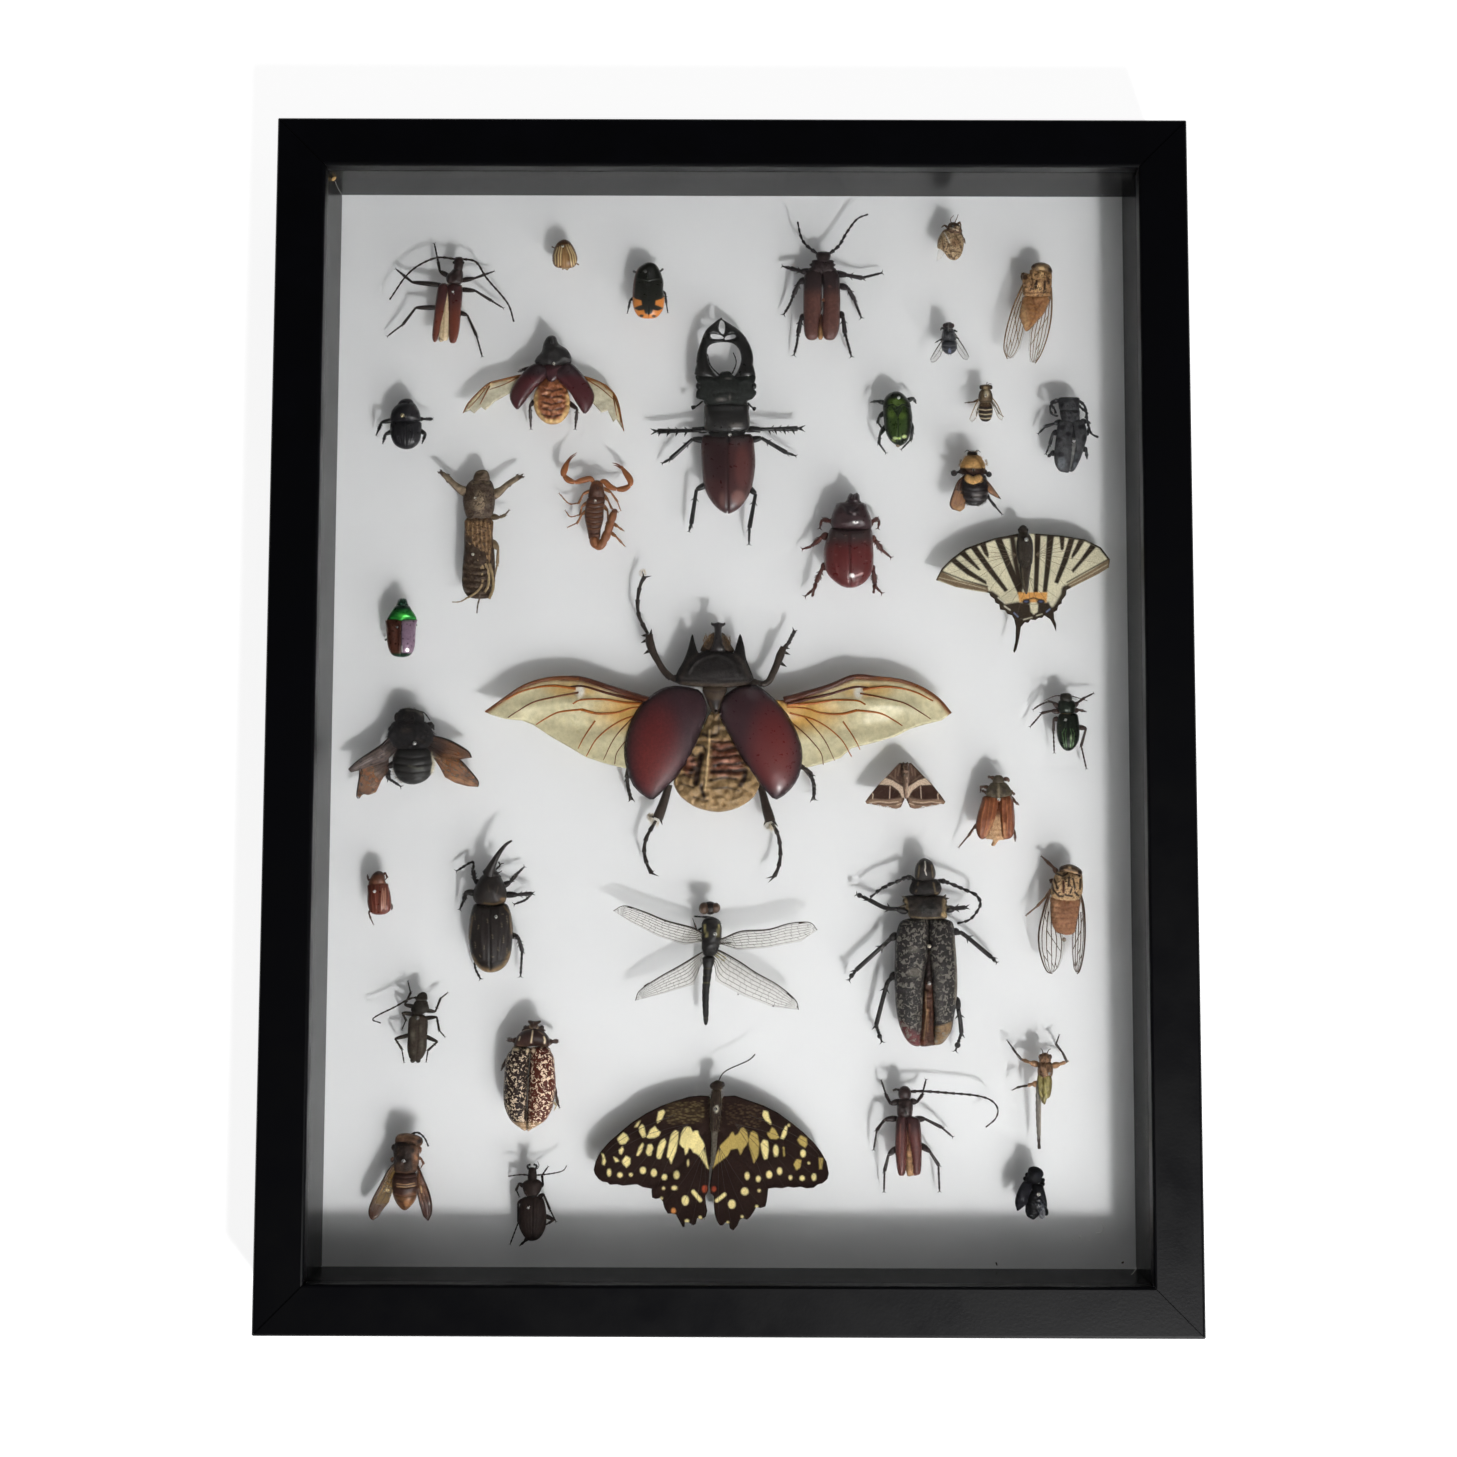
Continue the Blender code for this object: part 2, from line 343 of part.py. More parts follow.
        pins=[(-2.1, 0.8)]),
    "horned_beetle": dict(
        at=(-82, -67), colour=BLACK, flat=0.55,
        trunk=[(-2.2, 14.5, 1.6), (-2.5, 12, 3), (-2.8, 9, 4.8), (-2.8, 4, 5.8), (-2.3, 0, 7.2),
               (-2.1, -4, 7.6), (-2, -10, 7.3), (-1.8, -16, 6), (-1.5, -20, 4.2),
               (-1.2, -22.4, 1.6)],
        legs=[(0.55, [(-5, 8), (-9, 11), (-8.8, 16.5), (-13.7, 13.2)]),
              (0.5, [(-5, 6), (-10.5, 5.8), (-12.6, 0)]),
              (0.55, [(-6.5, -10), (-9.9, -14), (-7.6, -19), (-6, -24)]),
              (0.5, [(0, 6), (4.3, 9.3), (8.7, 13.7)]), (0.5, [(0, 4.3), (12, 4.8), (6.9, 1.8)]),
              (0.55, [(3, -9), (7.5, -10.5), (8.9, -17.8), (8.7, -23)])],
        feelers=[(0.35, [(-1, 12.6), (1.2, 13.2), (0.6, 16.2)])],
        horns=[(1.1, [(-2.4, 12.5), (-1.8, 16.5), (0.5, 19.8), (2.5, 22.3), (5, 23.3)])],
        pins=[(-0.7, -3.4)]),
    "dragonfly": dict(
        at=(-5, -85), colour=BLACK, flat=0.85,
        trunk=[(-2, 20.3, 1.8), (-2, 18, 3.6), (-1.9, 16, 3), (-1.8, 14.8, 1.3), (-1.5, 13, 3.2),
               (-1.4, 9, 3.6), (-1.8, 4, 3), (-2.4, 0, 2.5), (-2.7, -3.5, 1.8), (-3.4, -12, 1.3),
               (-3.3, -20, 1), (-3.3, -23, 0.5)],
        legs=[(0.3, [(-1.6, 14.6), (-7.3, 15)]), (0.3, [(-2.5, 12), (-6.5, 10), (-8, 14)]),
              (0.3, [(-2, 6.2), (-6, 6.8)]), (0.3, [(0, 5.4), (5.3, 5.8)]),
              (0.3, [(-0.8, 3.2), (3.5, 0.5)])],
        plates=[(10.0, 0.5, [(-2, 9), (-5, 9.3), (-8, 11), (-17.5, 13.5), (-25, 16.5), (-32, 18.6),
                             (-36, 16.8), (-30, 13), (-20, 7.8), (-11, 5), (-5, 6), (-2, 7)], []),
                (10.0, 0.5, [(-1, 7.4), (2.3, 7.2), (9, 9.8), (18.5, 10.5), (26, 12.6), (33, 13),
                             (35.8, 10.3), (30, 6.3), (18, 4), (8, 3.2), (2.5, 5), (-1, 5.8)], []),
                (9.4, 0.5, [(-2, 3), (-4.5, 2.5), (-12, -2), (-20, -6.5), (-26.5, -11), (-28, -14.5),
                            (-18, -12), (-7.5, -8.8), (-5, -2), (-2, 0)], []),
                (9.4, 0.5, [(-1, 3.4), (1.5, 3), (9, -1.2), (14, -4.5), (22, -9), (28, -14),
                            (29.2, -17.5), (20, -16.5), (10, -12.8), (0, -7.5), (-0.3, -3),
                            (-1.4, 0)], [])],
        pins=[(-0.2, 8.8)]),
    "giant_longhorn_beetle": dict(
        at=(68, -82), colour=BLACK, flat=0.5,
        trunk=[(0.8, 32.5, 1.4), (0.7, 30, 3.1), (0.6, 26, 3.4), (0.8, 23.5, 5.6), (0.9, 21, 5.3),
               (1, 19.8, 5), (1.2, 18.5, 7.2), (1.3, 14, 7), (1.2, 11.8, 6.2), (1, 10, 9.8),
               (0.8, 5, 10.6), (0.8, -5, 11), (0.9, -15, 10.8), (0.8, -23, 9.9), (0.7, -29, 7.8),
               (0.8, -32.8, 3.5)],
        legs=[(0.8, [(-3, 14), (-14, 15.3), (-22.8, 19.5)]), (0.8, [(4, 15), (14.8, 15.3)]),
              (0.8, [(-6, 7), (-13.3, 2.3), (-25.5, -9.5)]), (0.7, [(7, 7.8), (14.3, 5.8), (25, -3)]),
              (0.8, [(-7, -6), (-13, -12), (-16.3, -25), (-14.5, -30.5)]),
              (0.7, [(8, -14), (12.2, -18), (13.2, -29), (11.7, -33.5)])],
        feelers=[(0.6, [(-1, 25), (-5, 26.3), (-13, 23), (-18.7, 18.5)]),
                 (0.6, [(2, 24.6), (8, 24.8), (15.5, 22), (20.2, 18.5), (19.2, 13.5),
                        (12.6, 9.9)])],
        pins=[(2.2, 1.6), (2.1, -11.3)]),
    "large_cicada": dict(
        at=(116, -69), colour=TAN, flat=0.65,
        trunk=[(4, 17.6, 2), (4, 16, 3.8), (3.9, 12.5, 4.2), (2.8, 9, 5.3), (2.2, 5, 5), (2, 0, 4.5),
               (1.8, -6.5, 2.8)],
        legs=[(0.5, [(2.5, 13), (-1.7, 16), (-5.8, 20.3)]), (0.45, [(1, 11.5), (-3, 12.3)]),
              (0.35, [(0, 8), (-4.5, 6.3), (-11, 0.1)])],
        plates=[(9.6, 0.5, [(0, 9), (-2.7, 9), (-6, 1.5), (-7.1, -7), (-6.3, -16), (-3.5, -20.2),
                            (-0.5, -17.5), (1.4, -12), (1.6, -4)], []),
                (9.6, 0.5, [(5, 9), (8.2, 9), (9, 0), (9, -10), (8, -18.5), (7, -20.6), (5, -18),
                            (4, -12), (2.8, -4)], [])],
        pins=[(3.2, 10)]),
    "dark_longhorn_beetle": dict(
        at=(-111, -107), colour=DARK_BROWN, flat=0.6,
        trunk=[(3.4, 10.3, 1.2), (3, 8.5, 2), (2.7, 6.5, 2.4), (2.4, 4.5, 3.4), (1.6, 2, 3.1),
               (1.8, 0, 3.4), (1.6, -6, 3.4), (1.5, -10, 3.3), (1.1, -13.8, 1.8)],
        legs=[(0.4, [(1, 5), (-3, 5.8), (-1, 10), (-1.9, 13.5)]),
              (0.4, [(0.5, 2.5), (-3.8, 3), (-2.5, 0.5), (-3.7, -2.5)]),
              (0.4, [(0.5, -4.3), (-6.2, -6), (-3.8, -9.5), (-3, -13.7)]),
              (0.4, [(3, 4), (7.8, 3.5), (9.5, 8), (11.7, 9.8)]),
              (0.4, [(2.5, 1), (8.3, 1.6), (9.2, -3), (11, -5)]),
              (0.4, [(2.5, -4.3), (8.7, -7), (5.4, -10), (4.9, -13.5)])],
        feelers=[(0.4, [(2.6, 8.2), (-1, 8), (-6.5, 5), (-14, 1), (-11.3, -0.6)])],
        pins=[(1.6, 1.2)]),
    "marbled_chafer": dict(
        at=(-69, -125), colour=CREAM, flat=0.6,
        trunk=[(0.4, 18.5, 2), (0.3, 16.8, 2.6), (-0.2, 14.5, 4.6), (-0.3, 11, 6), (-0.2, 9.4, 6.2),
               (-0.9, 7, 8), (-1, 3, 8.8), (-1, -4, 9), (-1.1, -10, 8.6), (-1.1, -15, 6.3),
               (-1.5, -19.4, 1.8)],
        legs=[(0.6, [(-4, 11.5), (-8.4, 11.7)]), (0.6, [(3.5, 11.2), (8.5, 11.4)]),
              (0.45, [(-6, 6), (-11, 1.5)]), (0.5, [(5, -1), (9, -9.5), (9.6, -11.5)])],
        pins=[(-1.4, -0.9)]),
    "long_antenna_beetle": dict(
        at=(71, -146), colour=DARK_BROWN, flat=0.6,
        trunk=[(-9.8, 16.5, 1.2), (-9.8, 14.5, 2), (-9.4, 11, 3.1), (-9.3, 7, 2.6), (-8.7, 5.5, 3.4),
               (-8.4, 0, 3.7), (-8, -7, 3.8), (-7.6, -13.5, 3.6)],
        legs=[(0.45, [(-10.5, 8), (-15.6, 10), (-17.5, 16.5)]),
              (0.45, [(-8.5, 8.5), (-3, 11.5), (-2, 17.8)]),
              (0.45, [(-10, 5), (-17.2, 2.8), (-20, -5)]),
              (0.45, [(-10, -3), (-15.3, -10), (-17, -19.2)]),
              (0.45, [(-7.5, 5), (-0.5, 3.8), (6.7, -1)]),
              (0.45, [(-6.5, -3), (-0.2, -8.3), (2.3, -19.2)])],
        feelers=[(0.5, [(-10.2, 14.6), (-14, 15.1)]),
                 (0.5, [(-9.2, 14.6), (-5, 14.3), (8, 14), (18, 12.5), (22.6, 8), (18, 2.9)])],
        pins=[(-8.5, 6.5)]),
    "grasshopper": dict(
        at=(108, -130), colour=TAN, flat=0.8,
        trunk=[(2, 12.5, 1), (2, 10.8, 2.1), (2.1, 7, 2.3), (1.7, 3, 2.5), (1.9, -1, 2.3),
               (1.5, -4.8, 1)],
        legs=[(0.5, [(1.2, 7.3), (-6, 9.8), (-10.5, 16)]),
              (0.5, [(3, 8.3), (10, 9.5), (6.2, 14.8), (7.2, 17.8)]),
              (0.4, [(1, 3), (-3, 0.8), (-5.5, 2), (-9.5, -0.5)]),
              (0.45, [(1, -1), (0.5, -12), (0.1, -20.5)])],
        pins=[(3.2, 5.8)]),
    "hornet": dict(
        at=(-114, -160), colour=DARK_BROWN, flat=0.75,
        trunk=[(1, 14.6, 2), (1.5, 12.8, 4.3), (2, 11.5, 4.8), (1, 9.5, 4), (1, 6, 4.1),
               (0.7, 2.5, 3.4), (0.6, -1, 4.3), (0.6, -6, 4.6), (1, -9.5, 3.3), (1.8, -12.5, 1.2)],
        legs=[(0.4, [(3, 4.6), (7, 5.8), (6.9, 2.5)])],
        feelers=[(0.3, [(2.4, 13), (4, 14.7), (7.3, 12.8), (9, 10)])],
        plates=[(9.8, 0.5, [(-0.5, 5), (-3.3, 4.5), (-8, -5), (-10.5, -10), (-11, -13), (-9.8, -15.2),
                            (-7.8, -13.5), (-4.3, -9.5), (-1.8, -3)], []),
                (9.8, 0.5, [(3, 4), (6.3, 3), (7.5, -2), (9.7, -7.5), (10.3, -11), (9.3, -15),
                            (8.7, -15.7), (7.2, -11.5), (5.3, -4), (3, 0)], [])],
        pins=[(0.3, 4.2)]),
    "dark_ground_beetle": dict(
        at=(-68, -170), colour=DARK_BROWN, flat=0.55,
        trunk=[(-1.2, 12.3, 1.4), (-1.3, 9, 1.9), (-1.3, 7.6, 1.7), (-1.8, 5.3, 3.7), (-1, 2.3, 2.6),
               (-0.9, 1, 3.6), (-0.7, -4, 5), (-0.6, -8, 4.4), (-0.4, -11.5, 2.7), (-0.4, -13.2, 1)],
        legs=[(0.4, [(-3, 5.5), (-6.5, 5.5), (-7.1, 2.5)]),
              (0.4, [(0, 4.3), (3.1, 5.2), (2.3, 9), (4.5, 12.4)]),
              (0.4, [(-2.5, 1), (-6.8, -0.5), (-6.1, -8), (-8.8, -13.8)]),
              (0.4, [(-1, -10.5), (-5.5, -15)]), (0.4, [(0.5, 2), (3.4, 2.9), (7.2, -6.2)]),
              (0.4, [(2.2, -3), (6, -5.2)])],
        feelers=[(0.3, [(-2, 9.4), (-9.7, 8.8)]), (0.3, [(-0.9, 9.5), (8, 10.1), (10.7, 13.2)])],
        pins=[(-1.8, -1.8)]),
    "lime_butterfly": dict(
        at=(-6, -148), colour=DARK_BROWN, flat=0.85,
        trunk=[(1.9, 21, 1.2), (1.8, 19.3, 2.4), (1.5, 17, 1.8), (1.3, 13, 2), (1, 6, 1.8),
               (0.6, -4, 1), (0, -9, 0.6)],
        feelers=[(0.3, [(1.9, 20), (4.5, 24), (12.5, 27.8), (15, 30)])],
        plates=[(9.3, 0.5,
                 [(1.2, 15.6), (-4, 15.7), (-13, 13.8), (-23, 9.5), (-32, 3), (-39, -4),
                  (-41.2, -10), (-38, -14.2), (-33, -15), (-21, -16.5), (-20.8, -19.5),
                  (-18, -19.7), (-16.5, -23), (-12.5, -25.3), (-10, -29.7), (-8, -28), (-6, -29),
                  (-4, -27), (-1.8, -26), (-2, -19), (-1, -13), (-0.3, -8), (0.8, -2)], []),
                (9.7, 0.5,
                 [(1.4, 15.6), (8, 15.7), (18, 12.3), (28, 6.2), (35.5, -0.3), (40, -7),
                  (40.8, -11), (38.5, -14.5), (35.5, -16), (19.7, -16.3), (19.2, -20.5),
                  (17, -23), (14.8, -24), (12.3, -27), (9.8, -27), (7.5, -30.7), (4.8, -28),
                  (3.3, -29.2), (1, -25), (0.7, -19), (-0.5, -16), (0.2, -10), (0.6, -2)], [])],
        pins=[(1.3, 11)]),
    "blue_beetle": dict(
        at=(106, -164), colour=BLUE_BLACK, flat=0.6,
        trunk=[(0.6, 7.7, 1.2), (0.9, 6, 2.7), (0.4, 3, 3.3), (0.5, 0, 3.8), (1, -4, 3.8),
               (0.6, -8, 3.4), (0.2, -10.6, 1.4)],
        legs=[(0.4, [(1, 2), (4, 3.8), (6.3, 4.4)]), (0.4, [(2, 1), (4.8, 0.5)]),
              (0.4, [(2.5, -5.5), (5, -10.2)]), (0.4, [(-0.5, 3.4), (-4.5, 3.3)])],
        plates=[(9.8, 0.9, [(-0.5, 3), (-3.2, 2.7), (-5.3, -1), (-6.6, -5), (-5.7, -7.8), (-3, -6),
                            (-0.5, -4)], [])],
        pins=[(1.8, -2)]),
}


def clear_scene():
    for obj in list(bpy.data.objects):
        bpy.data.objects.remove(obj, do_unlink=True)


def new_collection(name):
    collection = bpy.data.collections.new(name)
    bpy.context.scene.collection.children.link(collection)
    return collection


def material(name, colour, roughness=0.4, metallic=0.0, transmission=0.0):
    mat = bpy.data.materials.new(name)
    mat.use_nodes = True
    shader = mat.node_tree.nodes["Principled BSDF"]
    shader.inputs["Base Color"].default_value = (*colour, 1)
    shader.inputs["Roughness"].default_value = roughness
    shader.inputs["Metallic"].default_value = metallic
    shader.inputs["Transmission Weight"].default_value = transmission
    return mat


clear_scene()
PARTS = new_collection("framed_insect_collection")
CUTTERS = new_collection("cutters")


def add_mesh(name, mesh, mat=None, collection=PARTS):
    obj = bpy.data.objects.new(name, mesh)
    collection.objects.link(obj)
    if mat:
        obj.data.materials.clear()
        obj.data.materials.append(mat)
    return obj


def box_mesh(name, low, high):
    """A block between two corners."""
    bm = bmesh.new()
    bmesh.ops.create_cube(bm, size=1)
    size = Vector(high) - Vector(low)
    bmesh.ops.scale(bm, vec=size, verts=bm.verts)
    bmesh.ops.translate(bm, vec=(Vector(low) + Vector(high)) / 2, verts=bm.verts)
    mesh = bpy.data.meshes.new(name)
    bm.to_mesh(mesh)
    bm.free()
    return mesh


def curve_mesh(curve, name):
    """The curve as a mesh whose caps are welded to its sides."""
    holder = bpy.data.objects.new(name, curve)
    CUTTERS.objects.link(holder)
    evaluated = holder.evaluated_get(bpy.context.evaluated_depsgraph_get())
    mesh = bpy.data.meshes.new_from_object(evaluated)
    mesh.name = name
    bpy.data.objects.remove(holder)
    bpy.data.curves.remove(curve)
    bm = bmesh.new()
    bm.from_mesh(mesh)
    bmesh.ops.remove_doubles(bm, verts=bm.verts, dist=0.00001)
    bmesh.ops.recalc_face_normals(bm, faces=bm.faces)
    bm.to_mesh(mesh)
    bm.free()
    return mesh


def add_outline(curve, points):
    spline = curve.splines.new("POLY")
    spline.points.add(len(points) - 1)
    for point, (x, y) in zip(spline.points, points):
        point.co = (x, y, 0, 1)
    spline.use_cyclic_u = True


def flat_mesh(name, outline, thickness, holes=()):
    """A flat plate, centred on z = 0."""
    curve = bpy.data.curves.new(name, "CURVE")
    curve.dimensions = "2D"
    curve.fill_mode = "BOTH"
    curve.extrude = thickness / 2
    add_outline(curve, outline)
    for hole in holes:
        add_outline(curve, hole)
    return curve_mesh(curve, name)


def profile_ring(name, sides, flat):
    """A closed ring of unit half width that a tube is swept with."""
    curve = bpy.data.curves.new(name, "CURVE")
    curve.dimensions = "2D"
    turn = 2 * math.pi / sides
    add_outline(curve, [(math.cos(i * turn), flat * math.sin(i * turn)) for i in range(sides)])
    ring = bpy.data.objects.new(name, curve)
    ring.hide_render = True
    ring.display_type = "WIRE"
    CUTTERS.objects.link(ring)
    return ring


def swept_mesh(name, ring, points, radii):
    """A tube through the points, with the ring's shape and its own half width at each point."""
    curve = bpy.data.curves.new(name, "CURVE")
    curve.dimensions = "3D"
    curve.twist_mode = "Z_UP"
    curve.bevel_mode = "OBJECT"
    curve.bevel_object = ring
    curve.use_fill_caps = True
    spline = curve.splines.new("POLY")
    spline.points.add(len(points) - 1)
    for spot, position, radius in zip(spline.points, points, radii):
        spot.co = (*position, 1)
        spot.radius = radius
    return curve_mesh(curve, name)


def combine(target, others, operation, solver="EXACT"):
    """Applies one Boolean with each of the other meshes in turn."""
    for mesh in others:
        other = add_mesh(mesh.name, mesh, collection=CUTTERS)
        modifier = target.modifiers.new(operation, "BOOLEAN")
        modifier.operation = operation
        modifier.solver = solver
        modifier.object = other
        evaluated = target.evaluated_get(bpy.context.evaluated_depsgraph_get())
        result = bpy.data.meshes.new_from_object(evaluated)
        target.modifiers.clear()
        target.data = result
        bpy.data.objects.remove(other)


def merge_flat_faces(mesh):
    """Removes the edges that lie inside one plane."""
    bm = bmesh.new()
    bm.from_mesh(mesh)
    bmesh.ops.dissolve_limit(bm, angle_limit=math.radians(0.5), verts=bm.verts, edges=bm.edges)
    bm.to_mesh(mesh)
    bm.free()


# ---------------------------------------------------------------- frame

def corner_arc(centre, radius, start, steps=3):
    """Points of a quarter circle from the start angle on, counter-clockwise."""
    return [(centre[0] + radius * math.cos(start + i * math.pi / 2 / steps),
             centre[1] + radius * math.sin(start + i * math.pi / 2 / steps))
            for i in range(steps + 1)]


def rail_profile():
    """The rail's section: x from its outer face inwards, y up from the back."""
    outer_top = corner_arc((OUTER_ROUND, FRAME_DEPTH - OUTER_ROUND), OUTER_ROUND, math.pi / 2)
    inner_top = corner_arc((LIP_WIDTH - INNER_ROUND, FRAME_DEPTH - INNER_ROUND), INNER_ROUND, 0)
    return ([(0, 0), (WALL, 0), (WALL, LIP_BOTTOM), (LIP_WIDTH, LIP_BOTTOM)]
            + inner_top + outer_top)


def rail(name, length, turn, distance, mat):
    """One mitred rail: its section run along X, turned and set out from the middle."""
    mesh = flat_mesh(name, rail_profile(), length)
    bm = bmesh.new()
    bm.from_mesh(mesh)
    for vert in bm.verts:
        inward, up, along = vert.co
        shorter = length / 2 - inward - MITRE_GAP
        vert.co = (math.copysign(shorter, along), distance - inward, up)
    bmesh.ops.recalc_face_normals(bm, faces=bm.faces)
    bmesh.ops.rotate(bm, verts=bm.verts, matrix=Matrix.Rotation(turn, 3, "Z"))
    bm.to_mesh(mesh)
    bm.free()
    return add_mesh(name, mesh, mat)


def tab_boxes(side_x, side_y, along):
    """A back tab and its slot: side_x or side_y is the rail's direction from the middle."""
    reach = (INNER_X if side_x else INNER_Y) + TAB_IN_RAIL
    top = BACKING_BOTTOM - GAP
    half = TAB_WIDTH / 2

    def block(grow):
        near, far = reach - TAB_LENGTH - grow, reach + grow
        wide = half + grow
        low, high = top - TAB_THICKNESS - grow, top + grow * 0.99
        if side_x:
            xs = sorted((side_x * near, side_x * far))
            return (xs[0], along - wide, low), (xs[1], along + wide, high)
        ys = sorted((side_y * near, side_y * far))
        return (along - wide, ys[0], low), (along + wide, ys[1], high)

    return block(0), block(GAP)


def build_frame():
    wood = material("black_wood", (0.012, 0.012, 0.013), 0.4)
    rails = {
        "top": rail("rail_top", FRAME_WIDTH, 0, FRAME_HEIGHT / 2, wood),
        "bottom": rail("rail_bottom", FRAME_WIDTH, math.pi, FRAME_HEIGHT / 2, wood),
        "left": rail("rail_left", FRAME_HEIGHT, math.pi / 2, FRAME_WIDTH / 2, wood),
        "right": rail("rail_right", FRAME_HEIGHT, -math.pi / 2, FRAME_WIDTH / 2, wood),
    }
    steel = material("tab_steel", (0.45, 0.45, 0.46), 0.35, metallic=1)
    places = [("left", -1, 0, 120 * MM), ("left", -1, 0, -120 * MM), ("right", 1, 0, 120 * MM),
              ("right", 1, 0, -120 * MM), ("top", 0, 1, 70 * MM), ("bottom", 0, -1, 0)]
    for number, (side, side_x, side_y, along) in enumerate(places, 1):
        tab, slot = tab_boxes(side_x, side_y, along)
        name = f"back_tab_{number}"
        add_mesh(name, box_mesh(name, *tab), steel)
        combine(rails[side], [box_mesh("slot", *slot)], "DIFFERENCE")
    build_hanger(rails["top"])


def build_hanger(rail_top):
    """A saw-tooth hanger sunk in the back of the top rail, on two nails."""
    middle = INNER_Y + WALL / 2
    edge = middle - HANGER_WIDTH / 2
    bottom = HANGER_SINK - GAP - HANGER_THICKNESS
    recess = box_mesh("recess", (-HANGER_LENGTH / 2 - GAP, edge - GAP, -1 * MM),
                      (HANGER_LENGTH / 2 + GAP, edge + HANGER_WIDTH + GAP, HANGER_SINK))
    combine(rail_top, [recess], "DIFFERENCE")
    teeth_start = -HANGER_LENGTH / 4
    pitch = HANGER_LENGTH / 2 / HANGER_TEETH
    outline = [(-HANGER_LENGTH / 2, edge), (teeth_start, edge)]
    for i in range(HANGER_TEETH):
        outline.append((teeth_start + (i + 0.5) * pitch, edge + 1.2 * MM))
        outline.append((teeth_start + (i + 1) * pitch, edge))
    outline += [(HANGER_LENGTH / 2, edge), (HANGER_LENGTH / 2, edge + HANGER_WIDTH),
                (-HANGER_LENGTH / 2, edge + HANGER_WIDTH)]
    brass = material("hanger_brass", (0.50, 0.36, 0.14), 0.35, metallic=1)
    plate = flat_mesh("hanger", outline, HANGER_THICKNESS)
    plate.transform(Matrix.Translation((0, 0, bottom + HANGER_THICKNESS / 2)))
    hanger = add_mesh("hanger", plate, brass)
    for side, sign in (("left", -1), ("right", 1)):
        x = sign * NAIL_SPACING / 2
        hole = cylinder_mesh("hole", x, middle, -2 * MM, NAIL_LENGTH + GAP, NAIL_RADIUS + GAP)
        combine(hanger, [hole], "DIFFERENCE")
        combine(rail_top, [hole.copy()], "DIFFERENCE")
        name = f"hanger_nail_{side}"
        head_top = bottom - GAP
        shank = cylinder_mesh(name, x, middle, head_top - 0.3 * MM, NAIL_LENGTH, NAIL_RADIUS)
        nail = add_mesh(name, shank, brass)
        combine(nail, [cylinder_mesh("head", x, middle, head_top - 0.5 * MM, head_top,
                                     NAIL_HEAD_RADIUS)], "UNION")


def cylinder_mesh(name, x, y, low, high, radius, sides=12):
    bm = bmesh.new()
    bmesh.ops.create_cone(bm, cap_ends=True, segments=sides, radius1=radius, radius2=radius,
                          depth=high - low)
    bmesh.ops.translate(bm, vec=(x, y, (low + high) / 2), verts=bm.verts)
    mesh = bpy.data.meshes.new(name)
    bm.to_mesh(mesh)
    bm.free()
    return mesh


def build_filling():
    """The glass, its spacers and the two boards."""
    pane_x, pane_y = INNER_X - GAP, INNER_Y - GAP
    glass = material("glass", (0.95, 0.97, 0.97), 0.02, transmission=1)
    white = material("white_board", (0.80, 0.80, 0.79), 0.75)
    black = material("black_spacer", (0.02, 0.02, 0.021), 0.6)
    brown = material("hardboard", (0.20, 0.12, 0.06), 0.8)
    add_mesh("glass", box_mesh("glass", (-pane_x, -pane_y, GLASS_BOTTOM),
                               (pane_x, pane_y, GLASS_TOP)), glass)
    add_mesh("mounting_board", box_mesh("mounting_board",
                                        (-pane_x, -pane_y, BOARD_TOP - BOARD_THICKNESS),
                                        (pane_x, pane_y, BOARD_TOP)), white)
    add_mesh("backing_board", box_mesh("backing_board", (-pane_x, -pane_y, BACKING_BOTTOM),
                                       (pane_x, pane_y, BACKING_TOP)), brown)
    low, high = BOARD_TOP + GAP, GLASS_BOTTOM - GAP
    face_x = FRAME_WIDTH / 2 - LIP_WIDTH + SPACER_SETBACK
    face_y = FRAME_HEIGHT / 2 - LIP_WIDTH + SPACER_SETBACK
    for name, sign in (("spacer_bottom", -1), ("spacer_top", 1)):
        ys = sorted((sign * face_y, sign * pane_y))
        add_mesh(name, box_mesh(name, (-pane_x, ys[0], low), (pane_x, ys[1], high)), black)
    for name, sign in (("spacer_left", -1), ("spacer_right", 1)):
        xs = sorted((sign * face_x, sign * pane_x))
        add_mesh(name, box_mesh(name, (xs[0], GAP - face_y, low), (xs[1], face_y - GAP, high)),
                 black)


# ---------------------------------------------------------------- specimens

LIMB_RING = profile_ring("limb_ring", 3, 1)
PIN_RING = profile_ring("pin_ring", 4, 1)
TAIL_RING = profile_ring("tail_ring", 4, 1)


def heights_along(levels, count):
    """Root, middle and tip heights spread over a limb's points."""
    root, middle, tip = levels
    if count == 2:
        return [root, (root + tip) / 2]
    steps = range(count - 1)
    return [root] + [middle + (tip - middle) * (i / (count - 2)) for i in steps]


